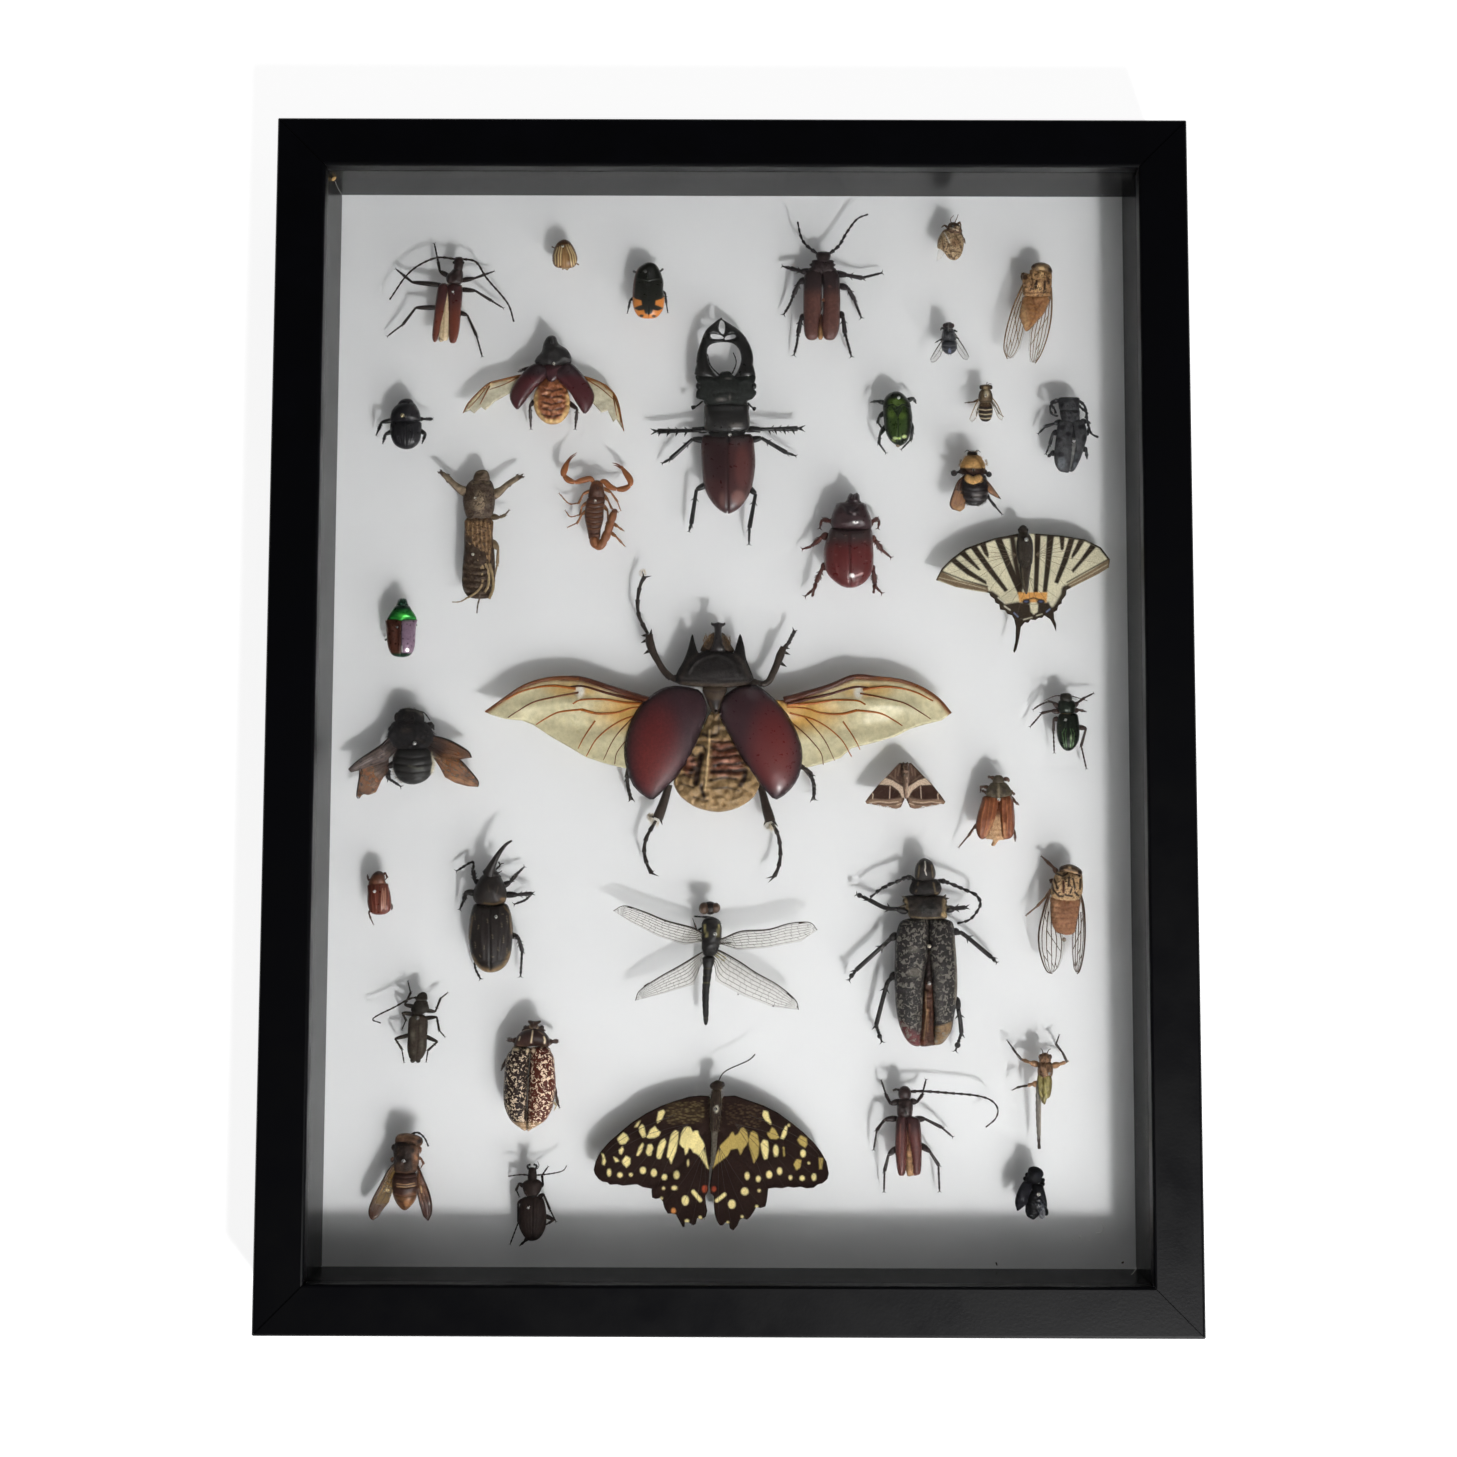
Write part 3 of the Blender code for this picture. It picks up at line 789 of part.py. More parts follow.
class Specimen:
    """One insect: its pieces are made about its own point and joined into one body."""

    def __init__(self, name, spec):
        self.name = name
        self.spec = spec
        self.x, self.y = spec["at"]

    def place(self, x, y, height):
        return Vector(((self.x + x) * MM, (self.y + y) * MM, BOARD_TOP + height * MM))

    def trunk(self):
        rows = self.spec["trunk"]
        ring = profile_ring("trunk_ring", 6, self.spec["flat"])
        points = [self.place(x, y, TRUNK_HEIGHT) for x, y, _ in rows]
        mesh = swept_mesh(self.name, ring, points, [half * MM for _, _, half in rows])
        bpy.data.objects.remove(ring)
        return mesh

    def limbs(self, kind, levels, ring, taper):
        meshes = []
        for radius, route in self.spec.get(kind, []):
            heights = heights_along(levels, len(route))
            points = [self.place(x, y, h) for (x, y), h in zip(route, heights)]
            last = len(route) - 1
            radii = [radius * MM * (1 - taper * i / last) for i in range(last + 1)]
            meshes.append(swept_mesh(kind, ring, points, radii))
        return meshes

    def plates(self):
        meshes = []
        for height, thickness, outline, holes in self.spec.get("plates", []):
            def placed(points):
                return [tuple(self.place(x, y, 0).xy) for x, y in points]
            mesh = flat_mesh("plate", placed(outline), thickness * MM, [placed(h) for h in holes])
            mesh.transform(Matrix.Translation((0, 0, BOARD_TOP + height * MM)))
            meshes.append(mesh)
        return meshes

    def pins(self):
        widest = max(half for _, _, half in self.spec["trunk"])
        back = TRUNK_HEIGHT + min(widest * self.spec["flat"], 5)
        meshes = []
        for x, y in self.spec["pins"]:
            foot = GAP / MM
            top = back + PIN_ABOVE_BACK
            stations = [(foot, 0.2), (top - 1.5 * PIN_HEAD, PIN_SHAFT),
                        (top - 0.8 * PIN_HEAD, PIN_HEAD), (top, PIN_HEAD * 0.6)]
            points = [self.place(x, y, height) for height, _ in stations]
            meshes.append(swept_mesh("pin", PIN_RING, points, [r * MM for _, r in stations]))
        return meshes

    def build(self):
        body = add_mesh(self.name, self.trunk(), material(self.name, self.spec["colour"], 0.35))
        finish = body.data.materials[0]
        pieces = self.limbs("legs", LEG_HEIGHTS, LIMB_RING, 0.35)
        pieces += self.limbs("feelers", FEELER_HEIGHTS, LIMB_RING, 0.15)
        pieces += self.limbs("claws", (8.6, 8.8, 8.8), TAIL_RING, 0.25)
        pieces += self.limbs("horns", (10, 12, 15), TAIL_RING, 0.55)
        pieces += self.limbs("tails", (9, 9.5, 12), TAIL_RING, 0.3)
        combine(body, pieces + self.plates() + self.pins(), "UNION",
                self.spec.get("solver", "EXACT"))
        merge_flat_faces(body.data)
        body.data.materials.clear()
        body.data.materials.append(finish)
        body.data.name = self.name


build_frame()
build_filling()
for specimen_name, specimen_data in SPECIMENS.items():
    Specimen(specimen_name, specimen_data).build()
for leftover in list(CUTTERS.objects):
    bpy.data.objects.remove(leftover)
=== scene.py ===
"""Looks for the framed insect collection.

Insects are described in millimetres about their own point on the board: x to the right, y to the
frame's top, h up from the board. Colours are 0 to 255, as seen.
"""

import math
import random

import bmesh
import bpy
import numpy as np
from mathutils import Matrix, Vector, noise
from mathutils.geometry import delaunay_2d_cdt


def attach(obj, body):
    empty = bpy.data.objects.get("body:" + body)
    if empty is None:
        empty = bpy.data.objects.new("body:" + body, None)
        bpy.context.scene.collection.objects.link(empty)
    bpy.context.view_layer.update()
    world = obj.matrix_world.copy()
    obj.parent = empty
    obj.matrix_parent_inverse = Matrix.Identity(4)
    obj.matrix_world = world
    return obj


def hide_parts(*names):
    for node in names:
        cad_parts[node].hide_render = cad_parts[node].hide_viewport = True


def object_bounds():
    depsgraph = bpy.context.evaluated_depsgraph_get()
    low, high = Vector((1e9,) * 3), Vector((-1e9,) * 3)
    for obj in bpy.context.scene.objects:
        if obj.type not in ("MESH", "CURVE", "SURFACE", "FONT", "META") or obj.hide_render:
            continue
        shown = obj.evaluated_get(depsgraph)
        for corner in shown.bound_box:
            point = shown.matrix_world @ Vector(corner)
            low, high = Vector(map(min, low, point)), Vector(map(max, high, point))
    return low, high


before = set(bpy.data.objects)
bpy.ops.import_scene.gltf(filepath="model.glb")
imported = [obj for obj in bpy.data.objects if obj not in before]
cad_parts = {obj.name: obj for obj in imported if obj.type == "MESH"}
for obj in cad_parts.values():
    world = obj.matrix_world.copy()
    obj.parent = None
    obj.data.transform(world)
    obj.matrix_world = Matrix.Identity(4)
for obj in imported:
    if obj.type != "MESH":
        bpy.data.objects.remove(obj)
CAD_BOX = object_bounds()

MM = 0.001
HALF_WIDTH, HALF_HEIGHT = (round(side / MM) for side in CAD_BOX[1][:2])     # of the frame, mm
BOARD_TOP = 10.5                    # mm above the frame's back
EYE = np.array((0.146, -52.878, 665.0))     # the camera over the board, mm: x, y, height above it
TRACED = 9.0                        # height over the board at which outlines were read, mm
STATURE = 9.0                       # usual height of a specimen's middle over the board, mm

BLACK = (20, 18, 18)
COAL = (30, 28, 27)
DARK = (42, 32, 27)
STEEL = (120, 118, 115)


def linear(colour):
    """A seen colour as the linear one that Blender works in."""
    c = np.asarray(colour, float) / 255
    return np.where(c <= 0.04045, c / 12.92, ((c + 0.055) / 1.055) ** 2.4)


# ---------------------------------------------------------------- materials

def new_material(name):
    """A new material with its nodes, links and shader."""
    mat = bpy.data.materials.new(name)
    mat.use_nodes = True
    nodes = mat.node_tree.nodes
    return mat, nodes, mat.node_tree.links, nodes["Principled BSDF"]


def noise_node(nodes, links, coords, scale, detail=3.0, rough=0.55):
    """A noise texture; scale counts its bumps in a metre."""
    node = nodes.new("ShaderNodeTexNoise")
    node.inputs["Scale"].default_value = scale
    node.inputs["Detail"].default_value = detail
    node.inputs["Roughness"].default_value = rough
    links.new(coords, node.inputs["Vector"])
    return node


def ranged(nodes, links, value, low, high, to_low, to_high):
    """A value mapped from one range to another."""
    node = nodes.new("ShaderNodeMapRange")
    for socket, number in zip(node.inputs[1:5], (low, high, to_low, to_high)):
        socket.default_value = number
    links.new(value, node.inputs["Value"])
    return node.outputs["Result"]


def skin(name, roughness, speckle=0.25, grain=900, pits=0.3, pit_size=2200, metallic=0.0,
         coat=0.0, alpha=1.0, sheen=0.0, specular=0.5, mottle=None):
    """A finish that takes its colour from the mesh and adds speckle, uneven gloss and pits."""
    mat, nodes, links, shader = new_material(name)
    tint = nodes.new("ShaderNodeVertexColor")
    tint.layer_name = "tint"
    coords = nodes.new("ShaderNodeTexCoord").outputs["Object"]
    coarse = noise_node(nodes, links, coords, grain)
    gain = ranged(nodes, links, coarse.outputs["Fac"], 0.3, 0.7, 1 - speckle, 1 + speckle)
    mix = nodes.new("ShaderNodeVectorMath")
    mix.operation = "SCALE"
    links.new(tint.outputs["Color"], mix.inputs[0])
    links.new(gain, mix.inputs["Scale"])
    colour = mix.outputs["Vector"]
    if mottle:
        shade, size, low, high, share = mottle
        flecks = noise_node(nodes, links, coords, size, 3.0, 0.5)
        flecks.inputs["Distortion"].default_value = 0.9
        blend = nodes.new("ShaderNodeMix")
        blend.data_type = "RGBA"
        links.new(ranged(nodes, links, flecks.outputs["Fac"], low, high, 0.0, share), blend.inputs[0])
        links.new(colour, blend.inputs[6])
        blend.inputs[7].default_value = (*linear(shade), 1.0)
        colour = blend.outputs[2]
    links.new(colour, shader.inputs["Base Color"])
    gloss = noise_node(nodes, links, coords, grain * 0.6)
    links.new(ranged(nodes, links, gloss.outputs["Fac"], 0.3, 0.7, roughness * 0.75,
                     min(1.0, roughness * 1.3)), shader.inputs["Roughness"])
    if pits:
        cells = nodes.new("ShaderNodeTexVoronoi")
        cells.inputs["Scale"].default_value = pit_size
        links.new(coords, cells.inputs["Vector"])
        bump = nodes.new("ShaderNodeBump")
        bump.inputs["Strength"].default_value = pits
        bump.inputs["Distance"].default_value = 0.15 * MM
        links.new(ranged(nodes, links, cells.outputs["Distance"], 0.0, 0.5, 0.0, 1.0),
                  bump.inputs["Height"])
        links.new(bump.outputs["Normal"], shader.inputs["Normal"])
    shader.inputs["Metallic"].default_value = metallic
    shader.inputs["Coat Weight"].default_value = coat
    shader.inputs["Coat Roughness"].default_value = 0.12
    shader.inputs["Sheen Weight"].default_value = sheen
    shader.inputs["Specular IOR Level"].default_value = specular
    shader.inputs["Alpha"].default_value = alpha
    return mat


# name, roughness, speckle, its grain, depth of the pits, their number in a metre
FINISH = {"gloss": skin("chitin_gloss", 0.34, 0.05, 1200, 0.04, 2600, coat=0.12),
          "satin": skin("chitin_satin", 0.42, 0.2, 1000, 0.25, 2300, specular=0.32),
          "dull": skin("chitin_dull", 0.62, 0.30, 1100, 0.6, 1900, specular=0.14),
          "rough": skin("chitin_rough", 0.55, 0.38, 700, 1.0, 1300, specular=0.2),
          "mottled": skin("bark_mottled", 0.5, 0.3, 900, 0.8, 1500, specular=0.28,
                          mottle=((112, 107, 99), 700, 0.525, 0.6, 0.8)),
          "marbled": skin("marbled_scales", 0.5, 0.15, 1200, 0.4, 2200, specular=0.25,
                          mottle=((238, 214, 186), 1000, 0.54, 0.575, 0.95)),
          "marbled_thin": skin("marbled_scales_thin", 0.5, 0.15, 1200, 0.4, 2200, specular=0.25,
                               mottle=((206, 186, 160), 950, 0.555, 0.6, 0.9)),
          "patchy": skin("patchy_brown", 0.5, 0.3, 900, 0.7, 1500, specular=0.18,
                         mottle=((50, 37, 30), 900, 0.5, 0.6, 0.8)),
          "metal": skin("chitin_metallic", 0.32, 0.15, 1500, 0.15, 3000, metallic=0.55, coat=0.2),
          "velvet": skin("velvet", 0.85, 0.35, 1600, 0.5, 3500, sheen=0.1, specular=0.1),
          "scales": skin("wing_scales", 0.8, 0.22, 2200, 0.35, 4200, sheen=0.03, specular=0.08),
          "clear": skin("wing_clear", 0.25, 0.1, 900, 0.15, 1500, alpha=0.15, specular=0.7),
          "amber": skin("wing_amber", 0.35, 0.16, 500, 0.2, 1400, alpha=0.86),
          "smoky": skin("wing_smoky", 0.3, 0.2, 600, 0.25, 1500, alpha=0.72, coat=0.2),
          "hair": skin("hair", 0.7, 0.25, 1200, 0.0, specular=0.3),
          "steel": skin("pin_steel", 0.25, 0.1, 900, 0.05, 3000, metallic=0.9)}


# ---------------------------------------------------------------- shapes

def catmull(rows, parts):
    """Rows joined by a smooth curve with the given number of parts between neighbours."""
    rows = np.asarray(rows, float)
    padded = np.vstack([2 * rows[0] - rows[1], rows, 2 * rows[-1] - rows[-2]])
    out = []
    for i in range(1, len(padded) - 2):
        a, b, c, d = padded[i - 1:i + 3]
        for t in np.arange(parts) / parts:
            out.append(0.5 * (2 * b + (c - a) * t + (2 * a - 5 * b + 4 * c - d) * t * t
                              + (3 * b - a - 3 * c + d) * t ** 3))
    out.append(rows[-1])
    return np.array(out)


def even(points, step):
    """A smooth path through the points, resampled to about equal steps."""
    fine = catmull(points, 12) if len(points) > 2 else np.asarray(points, float)
    lengths = np.concatenate([[0], np.cumsum(np.linalg.norm(np.diff(fine, axis=0), axis=1))])
    count = max(3, int(lengths[-1] / step) + 1)
    wanted = np.linspace(0, lengths[-1], count)
    return np.stack([np.interp(wanted, lengths, column) for column in fine.T], axis=1)


def closed(points, parts=3):
    """A closed outline rounded by a smooth curve."""
    points = np.asarray(points, float)
    ring = np.vstack([points[-1], points, points[:2]])
    return catmull(ring, parts)[parts:-parts - 1]


def distance_to(xy, line, loop):
    """The distance from each point to a line of segments."""
    line = np.asarray(line, float)
    ends = np.roll(line, -1, axis=0) if loop else line[1:]
    starts = line if loop else line[:-1]
    best = np.full(len(xy), 1e9)
    for a, b in zip(starts, ends):
        ab = b - a
        t = np.clip(((xy - a) @ ab) / max(ab @ ab, 1e-12), 0, 1)
        best = np.minimum(best, np.linalg.norm(xy - (a + t[:, None] * ab), axis=1))
    return best


def inside(xy, outline):
    """Which points lie inside a closed outline."""
    outline = np.asarray(outline, float)
    x, y = xy[:, 0], xy[:, 1]
    result = np.zeros(len(xy), bool)
    for (ax, ay), (bx, by) in zip(outline, np.roll(outline, -1, axis=0)):
        if ay == by:
            continue
        crosses = (ay > y) != (by > y)
        result ^= crosses & (x < (bx - ax) * (y - ay) / (by - ay) + ax)
    return result


def paint(xy, base, strokes):
    """Colours at points: each stroke is (colour, softness, kind, ...), later ones on top."""
    colours = np.tile(linear(base), (len(xy), 1)) if np.ndim(base) == 1 else np.array(base)
    for colour, soft, kind, *shape in strokes:
        if kind == "area":
            gap = distance_to(xy, shape[0], True) * np.where(inside(xy, shape[0]), -1, 1)
        elif kind == "line":
            gap = distance_to(xy, shape[1], False) - shape[0] / 2
        elif kind == "spot":
            x, y, rx, ry = shape
            gap = (np.hypot((xy[:, 0] - x) / rx, (xy[:, 1] - y) / ry) - 1) * min(rx, ry)
        elif kind == "above":
            gap = shape[0] - xy[:, 1]
        elif kind == "below":
            gap = xy[:, 1] - shape[0]
        weight = np.clip(0.5 - gap / soft, 0, 1)
        if kind in ("above", "below") or soft > 1:
            weight = weight * weight * (3 - 2 * weight)
        colours += weight[:, None] * (linear(colour) - colours)
    return colours


def resampled(ring, step):
    """A closed outline with points about every step, its corners kept."""
    out = []
    for a, b in zip(ring, np.roll(ring, -1, axis=0)):
        parts = max(1, round(np.linalg.norm(b - a) / step))
        out += [a + (b - a) * k / parts for k in range(parts)]
    return np.array(out)


def by_length(line, shares):
    """Points at the given shares of a line's length."""
    line = np.asarray(line, float)
    lengths = np.concatenate([[0], np.cumsum(np.linalg.norm(np.diff(line, axis=0), axis=1))])
    wanted = np.asarray(shares, float) * lengths[-1]
    return np.stack([np.interp(wanted, lengths, column) for column in line.T], axis=1)


def sheet_points(outline, spacing, holes=()):
    """Outline and inner points, the triangles between them and which points lie on the rim."""
    rings = [outline, *holes]
    low, high = outline.min(0), outline.max(0)
    xs, ys = np.meshgrid(np.arange(low[0], high[0], spacing),
                         np.arange(low[1], high[1], spacing * 0.87))
    xs = xs + (np.arange(len(xs)) % 2)[:, None] * spacing / 2
    grid = np.stack([xs.ravel(), ys.ravel()], axis=1)
    keep = inside(grid, outline)
    for ring in rings:
        keep &= distance_to(grid, ring, True) > spacing * 0.45
    for hole in holes:
        keep &= ~inside(grid, hole)
    points, edges = [], []
    for ring in rings:
        start = len(points)
        points += [tuple(p) for p in ring]
        edges += [(start + i, start + (i + 1) % len(ring)) for i in range(len(ring))]
    rim = len(points)
    points += [tuple(p) for p in grid[keep]]
    found = delaunay_2d_cdt([Vector(p) for p in points], edges, [], 0, 1e-5)
    verts = np.array([tuple(v) for v in found[0]])
    tris = np.array([tuple(t) for t in found[2] if len(t) == 3])
    middle = verts[tris].mean(axis=1)
    good = inside(middle, outline)
    for hole in holes:
        good &= ~inside(middle, hole)
    rims = [i for i, olds in enumerate(found[3]) if any(o < rim for o in olds) or not olds]
    return verts, tris[good], rims


def inflate(count, tris, rims):
    """A soap film's height over the points: 0 on the rim and 1 at the crown."""
    sides = np.vstack([tris[:, [0, 1]], tris[:, [1, 2]], tris[:, [2, 0]]])
    a, b = np.unique(np.sort(sides, axis=1), axis=0).T
    degree = np.bincount(np.concatenate([a, b]), minlength=count).astype(float)
    free = degree > 0
    free[rims] = False
    height, rest = np.zeros(count), free.astype(float)
    way, size = rest.copy(), rest.sum()
    for _ in range(600):
        pull = np.bincount(a, way[b], count) + np.bincount(b, way[a], count)
        push = np.where(free, degree * way - pull, 0.0)
        step = size / max(way @ push, 1e-12)
        height += step * way
        rest -= step * push
        new = rest @ rest
        if new < 1e-7 * free.sum():
            break
        way = rest + new / size * way
        size = new
    return np.clip(height / max(height.max(), 1e-12), 0, 1)


def placed(name, mesh):
    """An object of a mesh whose faces all look outward."""
    bm = bmesh.new()
    bm.from_mesh(mesh)
    bmesh.ops.recalc_face_normals(bm, faces=bm.faces)
    bm.to_mesh(mesh)
    bm.free()
    thing = bpy.data.objects.new(name, mesh)
    bpy.context.scene.collection.objects.link(thing)
    return thing


def mirrored(side, points):
    """Points of the right side, or with side -1 of the left."""
    return [(side * x, y) for x, y in points]


def twin(x, points):
    """A closed outline from the points of its right side, mirrored about x."""
    return [*points, *[(2 * x - px, py) for px, py in reversed(points) if abs(px - x) > 0.01]]


PRESETS = {
    "head": dict(front=0.6, rear=0.35, lumps=(1.8, 0.12)),
    "pronotum": dict(lumps=(2.6, 0.08)),
    "thorax": dict(front=0.45, rear=0.45, lumps=(2.0, 0.15)),
    "elytra": dict(seam=0.22, tall=1.05),
    "abdomen": dict(segments=6, front=0.4),
}


class Piece:
    """Collects the geometry of one specimen and makes it one mesh."""

    def __init__(self, name, x, y, height):
        self.name = name
        self.x, self.y, self.height = x, y, height
        self.points, self.tints, self.faces, self.slots, self.finishes = [], [], [], [], []
        self.count = 0
        self.rng = random.Random(name)
        self.surface = None

    def add(self, local, faces, finish, tints, sighted=True):
        """Adds points given as x, y and height over the board, placed as the camera saw them."""
        local = np.asarray(local, float)
        if finish not in self.finishes:
            self.finishes.append(finish)
        out = local + (self.x, self.y, BOARD_TOP)
        if sighted:
            factor = (EYE[2] - local[:, 2]) / (EYE[2] - TRACED)
            out[:, :2] = EYE[:2] + (out[:, :2] - EYE[:2]) * factor[:, None]
        tints = np.asarray(tints, float)
        if tints.ndim == 1:
            tints = np.tile(linear(tints), (len(local), 1))
        self.points.append(out)
        self.tints.append(tints)
        self.faces += [tuple(i + self.count for i in face) for face in faces]
        self.slots += [self.finishes.index(finish)] * len(faces)
        self.count += len(local)

    def rings(self, rings, finish, tints, sighted=True):
        """Skins a list of equal rings and closes both ends with a pole."""
        rings = np.asarray(rings, float)
        count, around = rings.shape[:2]
        points = np.vstack([rings.reshape(-1, 3), rings[0].mean(0), rings[-1].mean(0)])
        faces = []
        for i in range(count - 1):
            for j in range(around):
                k = (j + 1) % around
                faces.append((i * around + j, i * around + k, (i + 1) * around + k,
                              (i + 1) * around + j))
        first, base = count * around, (count - 1) * around
        faces += [(first, (j + 1) % around, j) for j in range(around)]
        faces += [(first + 1, base + j, base + (j + 1) % around) for j in range(around)]
        if np.ndim(tints) > 1:
            tints = np.vstack([tints, tints[:around].mean(0), tints[-around:].mean(0)])
        self.add(points, faces, finish, tints, sighted)

    # -------- bodies

    def body(self, rows, parts, flat=0.6, h=None):
        """A body from rows (x, y, half width), cut into parts from the head down.

        Each part is (kind, y where it ends, colour, finish, options).
        """
        h = self.height if h is None else h
        fine = catmull(rows, 8)
        fine = fine[np.argsort(fine[:, 1])]
        xs, ys, ws = fine[:, 0], fine[:, 1], np.maximum(fine[:, 2], 0.05)
        start = rows[0][1]
        for number, (kind, end, colour, finish, changes) in enumerate(parts):
            options = {**PRESETS[kind], **changes}
            first, last = number == 0, number == len(parts) - 1
            widest = max(np.interp(np.linspace(end, start, 9), ys, ws))
            lap = 0.12 * widest
            front = start + (0 if first else lap)
            rear = end - (0 if last else lap)
            ends = np.interp([rear, front], ys, ws)
            round_front = ends[1] * 0.8 if first else options.get("front", 0.25) * widest
            round_rear = ends[0] * 0.8 if last else options.get("rear", 0.25) * widest
            length = front - rear
            count = int(np.clip(length / (0.10 + 0.04 * widest), 16, 72))
            t = np.linspace(0, 1, count)
            t = 0.55 * (1 - np.cos(t * math.pi)) / 2 + 0.45 * t
            stations = front - length * t
            ease = np.ones(count)
            for gap, reach in ((front - stations, round_front), (stations - rear, round_rear)):
                part = np.clip(gap / max(reach, 1e-6), 0, 1)
                ease *= np.sqrt(1 - (1 - part) ** 2)
            ease = np.maximum(ease, 0.03)
            half = np.interp(stations, ys, ws)
            wide = half * ease
            tall = half * ease * flat * options.get("tall", 1.0)
            segments = options.get("segments", 0)
            phase = (t * max(segments, 1)) % 1
            if segments:
                wide = wide * (1 - options.get("notch", 0.05) * phase ** 2)
                tall = tall * (1 - 0.14 * phase ** 2)
            around = int(np.clip(widest * 7, 18, 40))
            angles = np.linspace(0, 2 * math.pi, around, endpoint=False)
            if options.get("seam"):
                narrow = 0.22 / widest
                near = math.pi / 2 + np.array([-2, -0.8, 0, 0.8, 2]) * narrow
                rest = angles[np.abs(angles - math.pi / 2) > 2.4 * narrow]
                angles = np.sort(np.concatenate([rest, near]))
            cos, sin = np.cos(angles), np.sin(angles)
            px = np.sign(cos) * np.abs(cos) ** 0.85
            pz = np.where(sin > 0, np.abs(sin) ** 0.85, -0.6 * np.abs(sin) ** 0.85)
            x = np.interp(stations, ys, xs)[:, None] + wide[:, None] * px
            z = h + tall[:, None] * pz
            y = np.repeat(stations[:, None], len(angles), axis=1)
            up = np.clip(pz, 0, 1) * np.ones_like(x)
            across = px * wide[:, None]
            if options.get("seam"):
                z = z - options["seam"] * np.exp(-(across / 0.17) ** 2) * (sin > 0.2)
            if options.get("lumps"):
                size, deep = options["lumps"]
                for i, j in np.ndindex(x.shape):
                    bump = noise.noise(Vector((x[i, j] + self.x, y[i, j] + self.y, z[i, j])) / size)
                    z[i, j] += deep * bump * up[i, j]
                    x[i, j] += deep * 0.4 * bump * px[j]
            rings = np.stack([x, y, z], axis=2)
            xy = rings[:, :, :2].reshape(-1, 2)
            tints = np.tile(linear(colour), (len(xy), 1))
            if options.get("bands"):
                shade, after = options["bands"]
                share = np.clip((np.repeat(phase, len(angles)) - after) * 6, 0, 1)
                tints += share[:, None] * (linear(shade) - tints)
            self.rings(rings, finish, paint(xy, tints, options.get("paint", ())))
            if options.get("hair"):
                self.hair(rings, *options["hair"])
            start = end

    def hair(self, rings, count, length, colour):
        """Short spikes that stand off the upper side of the rings and lean to the rear."""
        points, faces, shades = [], [], []
        for _ in range(count):
            i, j = self.rng.randrange(1, len(rings) - 1), self.rng.randrange(rings.shape[1])
            root = rings[i, j]
            out = root - rings[i].mean(0)
            if out[2] < -0.4 * abs(out[0]):
                continue
            out = out / max(np.linalg.norm(out), 1e-6)
            lean = (self.rng.uniform(-0.5, 0.5), self.rng.uniform(-0.5, 0.5) - 0.6,
                    self.rng.uniform(-0.3, 0.3))
            self.bristle(points, faces, shades, root, out + lean,
                         length * self.rng.uniform(0.5, 1.2), 0.04)
        if points:
            self.add(points, faces, "hair", linear(colour) * np.array(shades)[:, None])

    def bristle(self, points, faces, shades, root, way, length, thick):
        """Adds one three-sided spike and its shade to the lists."""
        root, way = np.asarray(root, float), np.asarray(way, float)
        way = way / max(np.linalg.norm(way), 1e-6)
        side = np.cross(way, (0.3, 0.2, 0.9))
        side /= max(np.linalg.norm(side), 1e-6)
        other = np.cross(way, side) * thick
        side = side * thick
        start = len(points)
        points += [root + side, root - side * 0.5 + other, root - side * 0.5 - other,
                   root + way * length]
        faces += [(start, start + 1, start + 3), (start + 1, start + 2, start + 3),
                  (start + 2, start, start + 3), (start + 2, start + 1, start)]
        shades += [self.rng.uniform(0.6, 1.35)] * 4

    def tuft(self, x, y, h, spread, count, length, colour, way=(0, -1, 0.3), thick=0.05):
        """A bunch of bristles around a point."""
        points, faces, shades = [], [], []
        for _ in range(count):
            a, r = self.rng.uniform(0, 2 * math.pi), spread * math.sqrt(self.rng.random())
            lean = [w + self.rng.uniform(-0.55, 0.55) for w in way]
            self.bristle(points, faces, shades, (x + r * math.cos(a), y + r * math.sin(a), h),
                         lean, length * self.rng.uniform(0.6, 1.2), thick)
        self.add(points, faces, "hair", linear(colour) * np.array(shades)[:, None])

    def fringe(self, line, h, count, length, colour, way, thick=0.04):
        """Bristles along a line."""
        path = even([(*p, h) for p in line], 0.2)
        points, faces, shades = [], [], []
        for _ in range(count):
            root = path[self.rng.randrange(len(path))]
            lean = [w + self.rng.uniform(-0.4, 0.4) for w in way]
            self.bristle(points, faces, shades, root, lean, length * self.rng.uniform(0.5, 1.3),
                         thick)
        self.add(points, faces, "hair", linear(colour) * np.array(shades)[:, None])

    def ball(self, x, y, h, r, colour, finish="gloss", tall=1.0, long=1.0, steps=9):
        """A ball, stretched upward by tall and along the body by long."""
        angles = np.linspace(0, 2 * math.pi, steps + 5, endpoint=False)
        rings = []
        for a in np.linspace(0.03, 0.97, steps) * math.pi:
            rings.append(np.stack([x + r * math.sin(a) * np.cos(angles),
                                   y + long * r * math.sin(a) * np.sin(angles),
                                   np.full(len(angles), h + tall * r * math.cos(a))], axis=1))
        self.rings(rings, finish, colour)

    # -------- sheets

    def sheet(self, outline, h, colour, finish, paint_on=(), thick=0.09, under=0.09, edge=0.4,
              spacing=0.8, holes=(), tilt=(0, 0), waves=(4.0, 0.0), relief=(), smooth=0, puff=0):
        """A closed sheet on an outline: thin for wings, thick for jaws, puffed up for bodies."""
        outline = closed(outline, smooth) if smooth else np.asarray(outline, float)
        outline = resampled(outline, spacing)
        holes = [resampled(np.asarray(hole, float), spacing) for hole in holes]
        points, tris, rims = sheet_points(outline, spacing, holes)
        middle = outline.mean(0)

